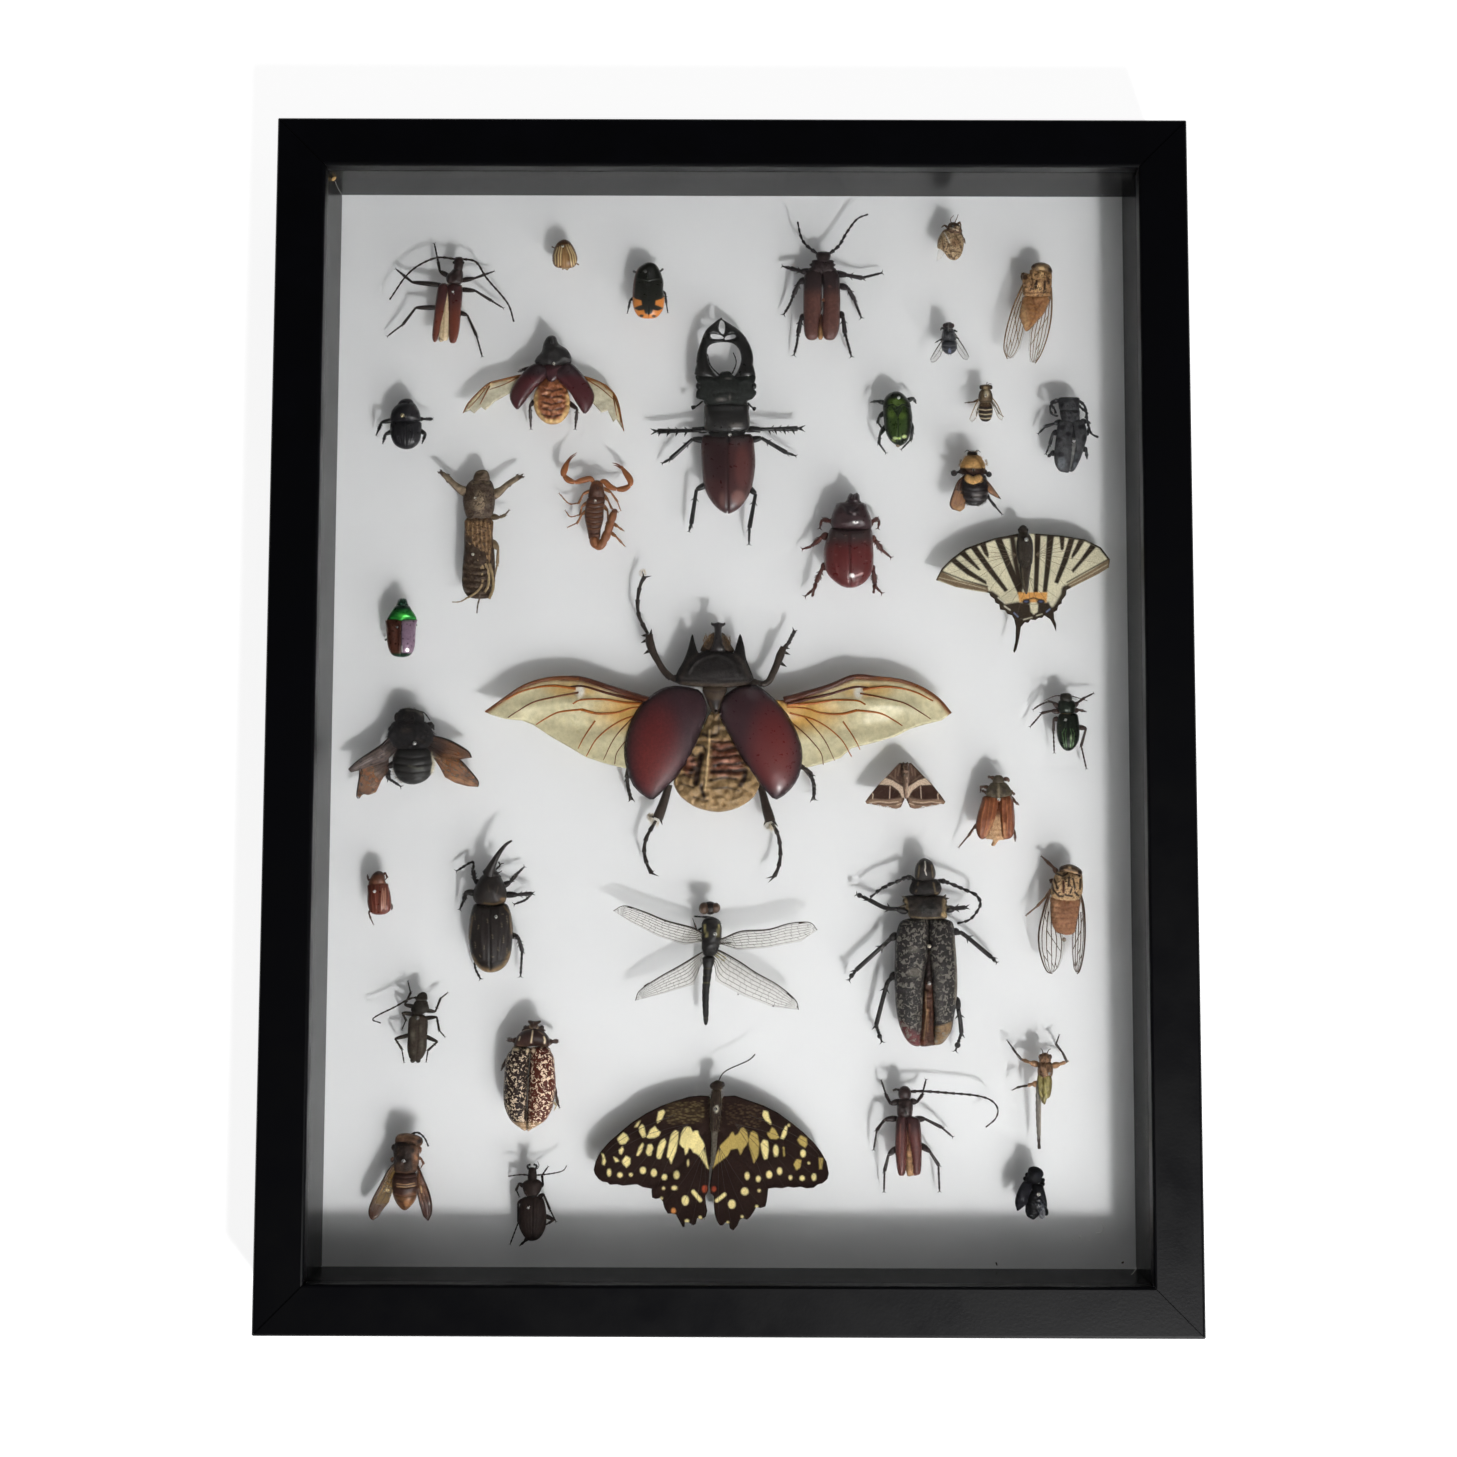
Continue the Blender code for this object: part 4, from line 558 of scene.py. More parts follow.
        def level(xy):
            z = h + (xy - middle) @ np.asarray(tilt, float)
            if waves[1]:
                z = z + waves[1] * np.array([noise.noise(Vector((p[0] + self.x, p[1] + self.y, 3))
                                                         / waves[0]) for p in xy])
            for line, width, height in relief:
                z = z + height * np.exp(-(distance_to(xy, line, False) / width) ** 2)
            return z

        self.surface = level
        gap = np.min([distance_to(points, ring, True) for ring in [outline, *holes]], axis=0)
        profile = np.sqrt(1 - (1 - np.clip(gap / edge, 0, 1)) ** 2)
        on_rim = np.zeros(len(points), bool)
        on_rim[rims] = True
        if puff:
            profile = inflate(len(points), tris, rims) ** puff
        profile[on_rim] = 0
        base = level(points)
        count = len(points)
        lower = np.where(on_rim, np.arange(count), np.arange(count) + count)
        both = np.vstack([np.column_stack([points, base + thick * profile]),
                          np.column_stack([points, base - under * profile])])
        faces = [tuple(t) for t in tris] + [tuple(lower[t][::-1]) for t in tris]
        used = np.unique(np.concatenate([np.asarray(f) for f in faces]))
        place = {int(old): new for new, old in enumerate(used)}
        tints = paint(points, colour, paint_on)
        self.add(both[used], [tuple(place[int(i)] for i in f) for f in faces], finish,
                 np.vstack([tints, tints])[used])

    def dome(self, outline, h, tall, colour, finish, paint_on=(), under=None, **options):
        """A rounded solid on an outline, about a level h, that rises tall above it."""
        options = {"puff": 0.5, "spacing": 0.45, "smooth": 3, **options}
        self.sheet(outline, h, colour, finish, paint_on, thick=tall,
                   under=tall * 0.6 if under is None else under, **options)

    def wing(self, outline, tip, h, colour, finish, net=None, vein=(0.07, DARK), costa=0.0,
             **options):
        """A sheet whose front edge runs to point number tip, with a net of veins on it."""
        self.sheet(outline, h, colour, finish, **options)
        level = self.surface
        outline = np.asarray(outline, float)
        front, rear = outline[:tip + 1], outline[tip:][::-1]
        r, shade = vein
        if net:
            along, crosses = net
            t = np.linspace(0, 1, 14)
            edges = [by_length(front, t), by_length(rear, t)]
            lines = [edges[0] * (1 - s) + edges[1] * s
                     for s in np.linspace(0.08, 0.92, along) ** 1.15]
            for line in lines:
                self.vein(line[:13], r, shade, level)
            for i in range(along - 1):
                for k in range(crosses):
                    s = (k + 0.35 + 0.5 * self.rng.random()) / crosses * 0.9 + 0.08
                    a, b = by_length(lines[i], [s])[0], by_length(lines[i + 1], [s + 0.015])[0]
                    self.vein([a, b], r * 0.75, shade, level, 3)
        if costa:
            self.vein(front, costa, shade, level, 6)

    def vein(self, line, r, colour, level=None, sides=4, finish="satin"):
        """A thin tube along a line, on the sheet made last or on another level."""
        line = np.asarray(line, float)
        level = level or self.surface
        path = even(line, 0.9) if len(line) > 2 else line
        z = level(path) + 0.06
        radii = r * np.linspace(1.15, 0.6, len(path))
        self.tube(np.column_stack([path, z]), radii, colour, finish, sides)

    # -------- tubes

    def tube(self, path, radii, colour, finish="satin", sides=8, flat=1.0):
        """A tube along points x, y, height; radii is one number or one for each point."""
        path = np.asarray(path, float)
        along = np.gradient(path, axis=0)
        along /= np.maximum(np.linalg.norm(along, axis=1), 1e-9)[:, None]
        side = np.cross(along, (0.01, 0, 1))
        side /= np.maximum(np.linalg.norm(side, axis=1), 1e-6)[:, None]
        up = np.cross(side, along)
        angles = np.linspace(0, 2 * math.pi, sides, endpoint=False)
        radii = np.broadcast_to(np.asarray(radii, float), (len(path),))[:, None]
        rings = (path[:, None] + side[:, None] * (radii * np.cos(angles))[:, :, None]
                 + up[:, None] * (radii * flat * np.sin(angles))[:, :, None])
        self.rings(rings, finish, colour)

    def spike(self, root, tip, radius, colour, finish="satin", bend=0.0):
        """A pointed spike; bend pushes its middle to one side."""
        root, tip = np.asarray(root, float), np.asarray(tip, float)
        t = np.linspace(0, 1, 5)[:, None]
        side = np.array([root[1] - tip[1], tip[0] - root[0], 0.0])
        path = root + (tip - root) * t + side * bend * 4 * t * (1 - t)
        self.tube(path, radius * np.array([1.0, 0.85, 0.62, 0.36, 0.05]), colour, finish, 6)

    def leg(self, r, colour, finish, spines, points, ankle=2, thigh=1.4, feet=True, shin=0.95,
            low=5.0):
        """Thigh, shin with spines, jointed foot and claws along points from the root."""
        h = self.height
        flat = [np.array(p, float) for p in points]
        if len(flat) == 2:
            flat = [flat[0], flat[0] + 0.55 * (flat[1] - flat[0]), flat[1]]
            feet = False
        elif len(flat) == 3:
            flat.insert(2, flat[1] + 0.6 * (flat[2] - flat[1]))
        left = len(flat) - ankle - 1
        levels = [h - 1, h + 0.2, *[h - 1.2] * (ankle - 2), h - 2]
        levels += [h - 2 + (low - h + 2) * (k + 1) / max(left, 1) for k in range(left)]
        spots = [np.array([*p, z]) for p, z in zip(flat, levels)]
        t = np.linspace(0, 1, 9)
        thick = r * (0.85 + (thigh - 0.7) * np.sin(math.pi * t ** 0.85) ** 0.7)
        self.tube(spots[0] + (spots[1] - spots[0]) * t[:, None], thick, colour, finish)
        path = even(spots[1:ankle + 1], max(r * 0.8, 0.4))
        t = np.linspace(0, 1, len(path))
        self.tube(path, r * (0.8 + (shin - 0.65) * t ** 1.3), colour, finish)
        way = path[-1] - path[0]
        way /= max(np.linalg.norm(way), 1e-6)
        side = np.array([-way[1], way[0], 0.0])
        for k in range(spines):
            root = path[int((0.3 + 0.6 * k / max(spines, 1)) * (len(path) - 1))]
            for turn in (1, -1):
                reach = way * r * 1.3 + side * turn * r * 1.9 + (0, 0, 0.2 * turn * r)
                self.spike(root + side * turn * r * 0.5, root + reach, r * 0.36, colour, finish)
        for turn in (0.6, -0.6):
            reach = way * r * 2.2 + side * turn * r * 1.8
            self.spike(path[-1], path[-1] + reach, r * 0.42, colour, finish)
        if not feet:
            return
        path = even(spots[ankle:], 0.25)
        t = np.linspace(0, 1, len(path))
        joint = (t * 5) % 1
        self.tube(path, r * (0.46 + 0.34 * joint ** 1.5), colour, finish, 7)
        way = path[-1] - path[-3]
        way /= max(np.linalg.norm(way), 1e-6)
        side = np.array([-way[1], way[0], 0.0])
        for turn in (1, -1):
            reach = way * r * 2.1 + side * turn * r * 1.5 - (0, 0, 0.4 * r)
            self.spike(path[-1], path[-1] + reach, r * 0.4, colour, finish, -0.25 * turn)

    def legs(self, r, colour, finish, spines, *paths, **options):
        """Several legs that share their thickness, colour and options."""
        for points in paths:
            self.leg(r, colour, finish, spines, points, **options)

    def feeler(self, r, colour, style, points, finish="satin", end=0.55):
        """A feeler: thread of joints, saw of cones or a club on a stalk."""
        h = self.height
        levels = np.interp(np.linspace(0, 1, len(points)), [0, 0.5, 1], [h, h + 0.6, h + 1])
        path = even([(*p, z) for p, z in zip(points, levels)], max(0.22, r * 0.45))
        lengths = np.linspace(0, 1, len(path))
        length = np.linalg.norm(np.diff(path, axis=0), axis=1).sum()
        joints = max(4, round(length / (r * (5 if style == "thread" else 3.2))))
        phase = (lengths * joints) % 1
        taper = 1 + (end - 1) * lengths
        if style == "thread":
            radii = 1.2 * r * taper * (0.66 + 0.42 * phase ** 2)
        elif style == "saw":
            radii = r * taper * (0.5 + 0.75 * phase)
        else:
            club = np.clip((lengths - 0.68) / 0.1, 0, 1)
            radii = r * (0.6 + 0.1 * phase + club * (0.9 + 0.5 * phase) * (1.2 - lengths * 0.45))
        self.tube(path, radii, colour, finish, 7)

    def pin(self, x, y, top=None, r=0.72, colour=STEEL):
        """A pin that stands upright on the board with its round head where it was seen."""
        top = self.height + 5.2 if top is None else top
        factor = (EYE[2] - top) / (EYE[2] - TRACED)
        x = EYE[0] + (self.x + x - EYE[0]) * factor - self.x
        y = EYE[1] + (self.y + y - EYE[1]) * factor - self.y
        angles = np.linspace(0, 2 * math.pi, 14, endpoint=False)
        profile = [(0.05, 0.2), (0.2, 0.2), (top - 0.9 * r, 0.2)]
        profile += [(top + r * math.sin(a), r * math.cos(a)) for a in np.linspace(-1.1, 1.5, 9)]
        rings = [np.stack([x + wide * np.cos(angles), y + wide * np.sin(angles),
                           np.full(14, z)], axis=1) for z, wide in profile]
        self.rings(rings, "steel", colour, sighted=False)

    def build(self):
        """Makes the mesh, which stands for the CAD node of the same name."""
        mesh = bpy.data.meshes.new(self.name + "_detail")
        mesh.from_pydata((np.vstack(self.points) * MM).tolist(), [], self.faces)
        for finish in self.finishes:
            mesh.materials.append(FINISH[finish])
        mesh.polygons.foreach_set("material_index", self.slots)
        tint = mesh.color_attributes.new("tint", "FLOAT_COLOR", "POINT")
        colours = np.clip(np.vstack(self.tints), 0, 1)
        tint.data.foreach_set("color", np.column_stack([colours, np.ones(len(colours))]).ravel())
        piece = placed(self.name + "_detail", mesh)
        mesh.polygons.foreach_set("use_smooth", [True] * len(mesh.polygons))
        mesh.update()
        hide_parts(self.name)
        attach(piece, "root")


SPECIMENS = []


def at(x, y, height=STATURE):
    """Pins at x, y on the board the specimen that the function below it draws."""
    def note(draw):
        SPECIMENS.append((draw, Piece(draw.__name__, x, y, height)))
        return draw
    return note


def cicada_veins(p, edge, tip, colour, reach, count, late, shares, crosses, lean, long, short):
    """Long veins at shares of a wing's width, which start late, and leaning ones across them."""
    t = np.linspace(0, reach, count)
    a, b = by_length(edge[:tip + 1], t), by_length(edge[tip:][::-1], t)
    for s in shares:
        p.vein((a * (1 - s) + b * s)[late if s > shares[0] else 0:], long, colour)
    for k, s in crosses:
        p.vein([a[k] * (1 - s) + b[k] * s, a[k + 1] * (1 - lean - s) + b[k + 1] * (s + lean)], short, colour)


# ---------------------------------------------------------------- insects, top row

@at(-101, 151.3)
def small_brown_longhorn_beetle(p):
    dark, lower = (44, 33, 31), (98, 48, 34)
    p.dome([(0.8, 15.6), (3.4, 15.8), (4.1, 14), (3.8, 12), (3.3, 10.8), (0.6, 10.8), (0.6, 13)], 9.4,
           1.8, dark, "satin")
    p.dome([(0.4, 11.4), (3.2, 11.4), (4, 9.4), (3.7, 7.4), (3, 5.8), (-1, 5.8), (-2.2, 7.4),
            (-1.9, 9.2), (-0.6, 10.4)], 9.4, 2.2, dark, "gloss", waves=(1.6, 0.3))
    p.dome([(-3, 5), (1, 5), (0.6, -4), (-1, -13.8), (-2.6, -15), (-4.6, -14.6), (-4.4, -4)], 8.4, 1.4,
           (206, 186, 152), "satin", [((70, 48, 34), 0.4, "line", 0.5, [(-4.4, -14), (-3, -15)]),
                                      ((150, 124, 88), 0.6, "line", 0.5, [(-2.6, 0), (-3, -14)])])
    shade = [((62, 33, 32), 9, "above", -3), ((46, 30, 30), 0.6, "line", 0.4, [(-1.9, 0), (-4.5, -15)])]
    p.dome([(-1.6, 5.6), (-4.6, 5.8), (-5.6, 2), (-6.4, -6), (-7, -13), (-6.2, -15.6), (-4.9, -14.4),
            (-3.8, -9), (-1.9, 0)], 9, 2.2, lower, "gloss", shade, under=0.3, spacing=0.35, puff=0.4)
    p.dome([(-1.8, 5.6), (2.6, 5.8), (3.8, 4), (3.4, -4), (2.9, -11), (1.8, -15.2), (0.4, -16),
            (-0.9, -14.4), (-1.3, -5), (-1.6, 1)], 9, 2.2, lower, "gloss",
           [((62, 33, 32), 9, "above", -3)], under=0.3, spacing=0.35, puff=0.4)
    p.legs(0.55, (38, 30, 27), "satin", 0, [(-1, 8.6), (-4.5, 10.5), (-5.2, 14), (-6.5, 20)],
           [(2, 7), (8, 8), (14.5, 10.4)], [(-3, 5.4), (-14.5, 6.5), (-20, 11)],
           [(2, 4), (8.4, 3.4), (18, -2.6)], [(-4, -2.8), (-13, -2.9), (-17.5, -9), (-22.5, -13)],
           [(1, -4), (5.6, -5.6), (9, -13), (11, -20)], thigh=1.6)
    for points in ([(1.4, 15), (-5, 15.6), (-11, 13.4), (-16.5, 9), (-22.5, 0)],
                   [(3, 15.2), (8.5, 14), (12.5, 8), (20, -1), (22.5, -8)]):
        p.feeler(0.46, (42, 32, 28), "thread", points, end=0.7)
    for x in (0.6, 3.8):
        p.ball(x, 13.8, 9.8, 0.6, BLACK)
    p.pin(0.3, 3, r=0.5, colour=(225, 225, 220))


@at(-60, 168)
def potato_beetle(p):
    cream, brown = (204, 178, 130), (98, 66, 38)
    fans = ([(-1.5, 3.2), (-1.9, 0), (-1.9, -3.8)], [(-2.3, 3), (-2.8, 0), (-2.7, -4.2)],
            [(-3.1, 2.6), (-3.9, 0), (-3.7, -3.4)], [(0.1, 3.6), (1.5, 0), (2.2, -4.4)],
            [(0.8, 3.8), (2.4, 0.2), (3, -3.8)], [(1.5, 3.4), (3.2, 0), (3.6, -2.8)])
    marks = [((142, 108, 68), 1.2, "area", [(-1, 3), (0.2, 3), (1.4, -4.6), (-1.6, -4.8)]),
             ((74, 48, 30), 1.0, "above", 4.4)]
    marks += [(cream, 0.25, "line", 0.42, line) for line in fans]
    p.dome([(-1.2, 5.7), (-3.2, 4.4), (-4.4, 2), (-4.9, -0.5), (-4.7, -3), (-3.4, -4.6), (-0.5, -5),
            (2, -4.8), (3.5, -4), (4.2, -2), (4, 0), (3, 2.5), (1.8, 4.4), (0.5, 5.5)], 9, 3.2, brown,
           "gloss", marks, spacing=0.22,
           relief=[([(-3, 3.9), (-0.8, 3.4), (1.8, 3.9)], 0.25, -0.3),
                   ([(-0.8, 3.4), (-0.2, -5)], 0.2, -0.3)])
    p.sheet([(-1.8, -4.2), (-1.2, -5.6), (-0.4, -5.2), (0.6, -5.8), (1.6, -4.6)], 9.2, (170, 150, 120),
            "smoky", spacing=0.4)
    p.legs(0.26, (90, 56, 34), "satin", 0, [(-3, 2), (-5, 3)], [(2.6, -2), (4.6, -3.6)])
    p.pin(-1.2, 3.2, r=0.5, colour=(225, 220, 205))


@at(-30, 155)
def spotted_chafer(p):
    black, orange = (27, 28, 22), (202, 124, 54)
    half = [(5.9, -2.2), (4.6, -3.2), (2.6, -3.8), (2.4, -5.3), (3.6, -5.7), (4.9, -6.3), (6, -6)]
    low = [(5.6, -6.6), (3.4, -7.5), (1.7, -7.2), (1.2, -8.5), (0, -9)]
    marks = [(orange, 0.35, "area", mirrored(side, half)) for side in (1, -1)]
    marks += [(orange, 0.35, "area", [*low, *[(-x, y) for x, y in reversed(low[:-1])], (-4.6, -10),
                                      (0, -11), (4.6, -10)]),
              (orange, 0.4, "line", 0.5, [(5.7, -3), (5.4, -7)]),
              (orange, 0.4, "line", 0.5, [(-5.7, -3), (-5.4, -7)]),
              (black, 0.3, "spot", -2.5, -9.4, 0.8, 0.5), (black, 0.3, "spot", 2, -9.5, 0.8, 0.5),
              ((104, 52, 38), 0.6, "line", 0.7, [(-3.6, 8.8), (-5, 6), (-5.5, 1), (-5.7, -2)])]
    p.dome([(0, 10.4), (-2, 9.7), (-4, 8), (-5, 5.5), (-5.6, 2), (-5.8, -2), (-5.5, -6), (-4.2, -9),
            (-2, -10.3), (2, -10.3), (4, -9), (5.4, -6.6), (5.8, -3), (5.3, 0), (5.4, 3), (5, 4.8),
            (4, 7.5), (2.3, 9.8)], 9.2, 3.9, black, "gloss", marks, spacing=0.25, puff=0.45,
           relief=[([(-5.4, 4), (-0.1, 3.2), (5.2, 4)], 0.3, -0.4),
                   ([(-0.1, 2), (-0.1, -10)], 0.2, -0.35),
                   ([(-1.6, 3.6), (-0.1, 0.6), (1.4, 3.6)], 0.2, -0.3)])
    p.legs(0.45, COAL, "gloss", 1, [(-4, -2), (-6.6, -3.6), (-7.5, -8)],
           [(4, 0), (6, -1), (6.4, -4.4), (6.9, -7.6)], [(-3, 6), (-5.4, 7)], [(3, 6), (5, 7.8)])
    p.pin(-1.3, 7, r=0.65)


@at(36, 155.6)
def red_longhorn_beetle(p):
    tone, shell = (48, 39, 39), (88, 58, 52)
    p.dome([(-4.8, 13.8), (-1, 13.8), (-0.2, 12.4), (-0.6, 10.6), (0.4, 8.6), (-6.4, 8.6), (-5.2, 10.6),
            (-5.6, 12.4)], 9, 2.4, tone, "satin", waves=(1.4, 0.3), spacing=0.4)
    p.dome([(-6.4, 10.8), (0.4, 10.8), (0.9, 9.6), (1.6, 9), (0.9, 8.2), (1.7, 7.4), (0.8, 6), (-7, 6),
            (-8.2, 7.4), (-7.2, 8.2), (-8, 9), (-7, 9.8)], 9.2, 2.8, tone, "rough", waves=(1.6, 0.5),
           spacing=0.36)
    dust = [((104, 70, 62), 0.5, "spot", x, y, 0.5, 0.3)
            for x, y in ((-8, -12), (-6.4, -9), (-7, -4), (-1, -12), (0.6, -7), (-5.6, -15), (1, -14),
                         (-2.4, -3), (-0.6, 1))]
    shade = [((44, 34, 34), 6, "above", -1), *dust]
    p.dome([(-8.4, 7.4), (-3.4, 7.4), (-3.3, 0), (-3.6, -8), (-4.4, -12), (-4.8, -17.4), (-6.6, -18.8),
            (-8.8, -18.2), (-9.9, -15), (-10.1, -6), (-10, 2), (-9.6, 5.6)], 9.2, 2.9, shell, "satin",
           shade, under=0.4, spacing=0.5, puff=0.4,
           relief=[([(x, 6), (x - 0.2, -8), (x + 0.3, -17)], 0.3, 0.22) for x in (-8.2, -6)])
    p.dome([(-3.4, 7.4), (1.2, 7.4), (2.6, 5.8), (3.1, 2), (3.2, -8), (2.7, -15), (1.2, -18.2),
            (-0.8, -18.8), (-2.6, -18), (-3.6, -14.4), (-3.7, -11.5), (-3.1, -8), (-3, 0)], 9.2, 2.9,
           shell, "satin", shade, under=0.4, spacing=0.5, puff=0.4,
           relief=[([(x, 6), (x + 0.2, -8), (x - 0.3, -17)], 0.3, 0.22) for x in (-1, 1.4)])
    p.dome([(-4.6, -10), (-3, -10), (-3, -17.8), (-4.9, -17.8)], 8.6, 1.6, (150, 112, 78), "dull",
           [((84, 54, 42), 1.6, "above", -14)], spacing=0.5)
    p.dome([(-4.2, 7.6), (-2.5, 7.6), (-3.3, 5.2)], 10.8, 1, tone, "satin", spacing=0.3)
    p.ball(-2.9, -4, 12, 0.6, (120, 80, 60), "satin")
    p.legs(0.85, (36, 30, 31), "satin", 1, [(-7, 6.4), (-11, 6.6), (-14.5, 7.6), (-16.8, 8.2)],
           [(-9, 3.6), (-11.6, 2.6), (-13.4, -1.6), (-15, -5.6), (-16.6, -8.4)],
           [(-9.4, -9.6), (-11, -11), (-11.9, -16), (-12.4, -20), (-13.2, -23.2)],
           [(0.6, 6), (5.6, 5.2), (11, 4.2), (17.2, 5.8)],
           [(2.6, 1.4), (6, 0.4), (8.2, -3.6), (10.4, -9.4)],
           [(2.8, -8.4), (4.2, -10.4), (4.9, -16), (6.9, -23.6)])
    for points in ([(-5, 13), (-9, 16.2), (-11, 19.4), (-12.2, 25)],
                   [(-0.8, 13), (2.8, 16.2), (5.6, 21), (9.4, 26), (13.4, 27.8)]):
        p.feeler(0.75, (34, 29, 31), "saw", points, end=0.45)
    p.pin(-2.9, -4, 12, r=0.4)


@at(79, 175)
def small_brown_bug(p):
    cream, brown = (206, 190, 160), (104, 80, 58)
    marks = [(brown, 0.5, "line", 0.5, line)
             for line in ([(-3, 0), (-2.4, -5)], [(-1.6, 1), (-0.4, -3), (0.6, -7.6)],
                          [(1, 2.4), (3, -1), (4.4, -5)], [(2.4, 2.6), (4.6, 0.6)],
                          [(0, -5), (3.6, -5.6)], [(-2.8, 2), (0, 2.6)])]
    marks += [((132, 104, 76), 1.2, "spot", 2, -2, 1.6, 1.6),
              ((240, 234, 216), 0.5, "line", 0.3, [(-2, 1.6), (-0.2, -2)])]
    p.dome([(-1.6, 3), (2, 3.2), (4, 2), (5, -0.6), (4.8, -4), (3.8, -7), (1.8, -8.6), (-0.4, -8),
            (-2, -6), (-3.4, -4.6), (-4.6, -4), (-4.4, -1), (-3.2, 1.4)], 9, 2.6, (168, 144, 112),
           "patchy", marks, waves=(1, 0.5), spacing=0.28)
    p.dome([(-0.2, 5.2), (2, 5.4), (3.8, 4), (4.2, 1.4), (0, 1), (-1.4, 2.6)], 9.6, 2.2, (92, 70, 54),
           "patchy",
           [(cream, 0.4, "line", 0.3, [(0, 3.4), (3, 2.4)]),
            ((190, 170, 138), 0.5, "spot", 3, 3.6, 0.6, 0.6)], waves=(0.9, 0.5), spacing=0.28)
    p.wing([(-3, -3), (-4.4, -5), (-5, -9), (-3.4, -8), (-2, -6)], 2, 9, (220, 212, 196), "clear",
           spacing=0.4)
    p.legs(0.3, (92, 70, 52), "satin", 0, [(-0.6, 3.4), (-2, 4.4), (-3, 3.6)],
           [(2.6, 4.6), (3.6, 5.6), (4, 3.6)], [(4.4, 0), (5.2, -1), (5.4, -2.4)])
    for points in ([(0.6, 5), (0.2, 6.6), (1.4, 8)], [(1.6, 5), (2.4, 6.8), (3, 8.4)]):
        p.feeler(0.2, (92, 70, 52), "thread", points)
    p.pin(1.1, 4, r=0.5)


@at(108, 146.15)
def small_cicada(p):
    dark, amber = (62, 44, 32), (112, 84, 54)
    marks = [((140, 96, 54), 0.5, "line", 0.5, [(0, y), (2.6, y - 1)]) for y in (4, 2, 0, -2)]
    p.dome([(-1.9, 7.6), (7, 7.6), (6, 3), (4, -0.4), (1.6, -3), (-0.4, -5.2), (-2, -5.8), (-3, -3.6),
            (-4.2, 0), (-3.6, 3.6)], 9, 2.6, (142, 102, 68), "dull",
           [((164, 128, 90), 2, "line", 2, [(-3, 3), (-1.4, -4)]),
            ((96, 62, 38), 0.6, "line", 0.5, [(0.6, 7), (2, 1), (-0.6, -4)]),
            ((96, 62, 38), 0.5, "line", 0.4, [(4, 5), (1.6, 1.6)]), *marks], waves=(1.2, 0.5),
           spacing=0.36)
    for edge, tip, more in (([(-2.6, 11.6), (-4, 8.6), (-6.2, 3.6), (-8, -2), (-9.4, -8), (-9.8, -12.6),
                              (-8.6, -16), (-6.4, -15.6), (-4, -12), (-2.6, -7), (-1.6, -1), (-1, 6)],
                             6, -1),
                            ([(7.4, 10.4), (7.6, 5), (7.2, -1.4), (5.8, -8), (3.6, -14), (1.4, -17.6),
                              (-0.6, -17), (-1, -12), (-0.6, -6), (1.4, 0), (4, 6)], 5, 1)):
        p.wing(edge, tip, 9.8 + 0.1 * more, (206, 198, 180), "clear", vein=(0.14, amber), costa=0.3,
               waves=(3, 0.4), spacing=0.6)
        cicada_veins(p, edge, tip, amber, 0.96, 12, 2, (0.16, 0.34, 0.52, 0.7, 0.88),
                     ((4, 0.16), (5, 0.34), (6, 0.52), (7, 0.7), (8, 0.34), (9, 0.16)), 0.18, 0.17, 0.14)
    cells = [((196, 156, 104), 0.5, "line", 0.5, [(1, 15), (2.4, 11), (1.6, 7.6)]),
             ((204, 168, 118), 0.6, "spot", 4, 15, 0.9, 1.3),
             ((204, 168, 118), 0.6, "spot", 3.2, 10.4, 0.7, 1.6),
             ((92, 62, 40), 0.4, "line", 0.45, [(0.2, 15.6), (0.8, 12), (-0.2, 9)]),
             ((50, 34, 26), 0.4, "line", 0.8, [(5.2, 12.6), (5, 9.6)]),
             ((50, 34, 26), 0.4, "line", 0.8, [(2.2, 12.8), (1.8, 10)]),
             ((72, 48, 32), 0.6, "spot", -2, 14, 1.2, 1),
             ((72, 48, 32), 0.6, "spot", 6.4, 13, 0.5, 1.4),
             ((92, 62, 40), 0.5, "line", 0.4, [(-1.6, 8.2), (6.6, 8.4)])]
    p.dome([(0.4, 17), (7, 16.6), (7.7, 13), (7.3, 8.4), (6.8, 7), (-2, 7), (-2.8, 10), (-3, 14),
            (-2, 15.6), (-0.4, 15.4)], 9.4, 3.4, (158, 122, 84), "patchy", cells, waves=(1.1, 0.6),
           spacing=0.28, puff=0.42)
    p.dome([(0.2, 17.6), (1.2, 19), (4, 19.6), (6.8, 18.6), (7.9, 16.4), (7, 15.2), (4.6, 16.2),
            (1.6, 16)], 9.4, 2.4, (124, 100, 72), "satin",
           [(dark, 0.7, "spot", 1, 18.4, 0.9, 0.7), (dark, 0.7, "spot", 7.2, 16.8, 0.9, 1.0),
            (dark, 0.5, "line", 0.5, [(2, 19), (5.4, 19)]),
            ((190, 160, 116), 0.6, "spot", 4, 17.4, 1, 0.8)], waves=(0.9, 0.3), spacing=0.26)
    p.legs(0.5, (82, 58, 38), "satin", 0, [(-1.4, 14.6), (-3, 15.4), (-3.2, 13.4)])
    p.pin(1.8, 10.6, r=0.5, colour=(120, 96, 70))


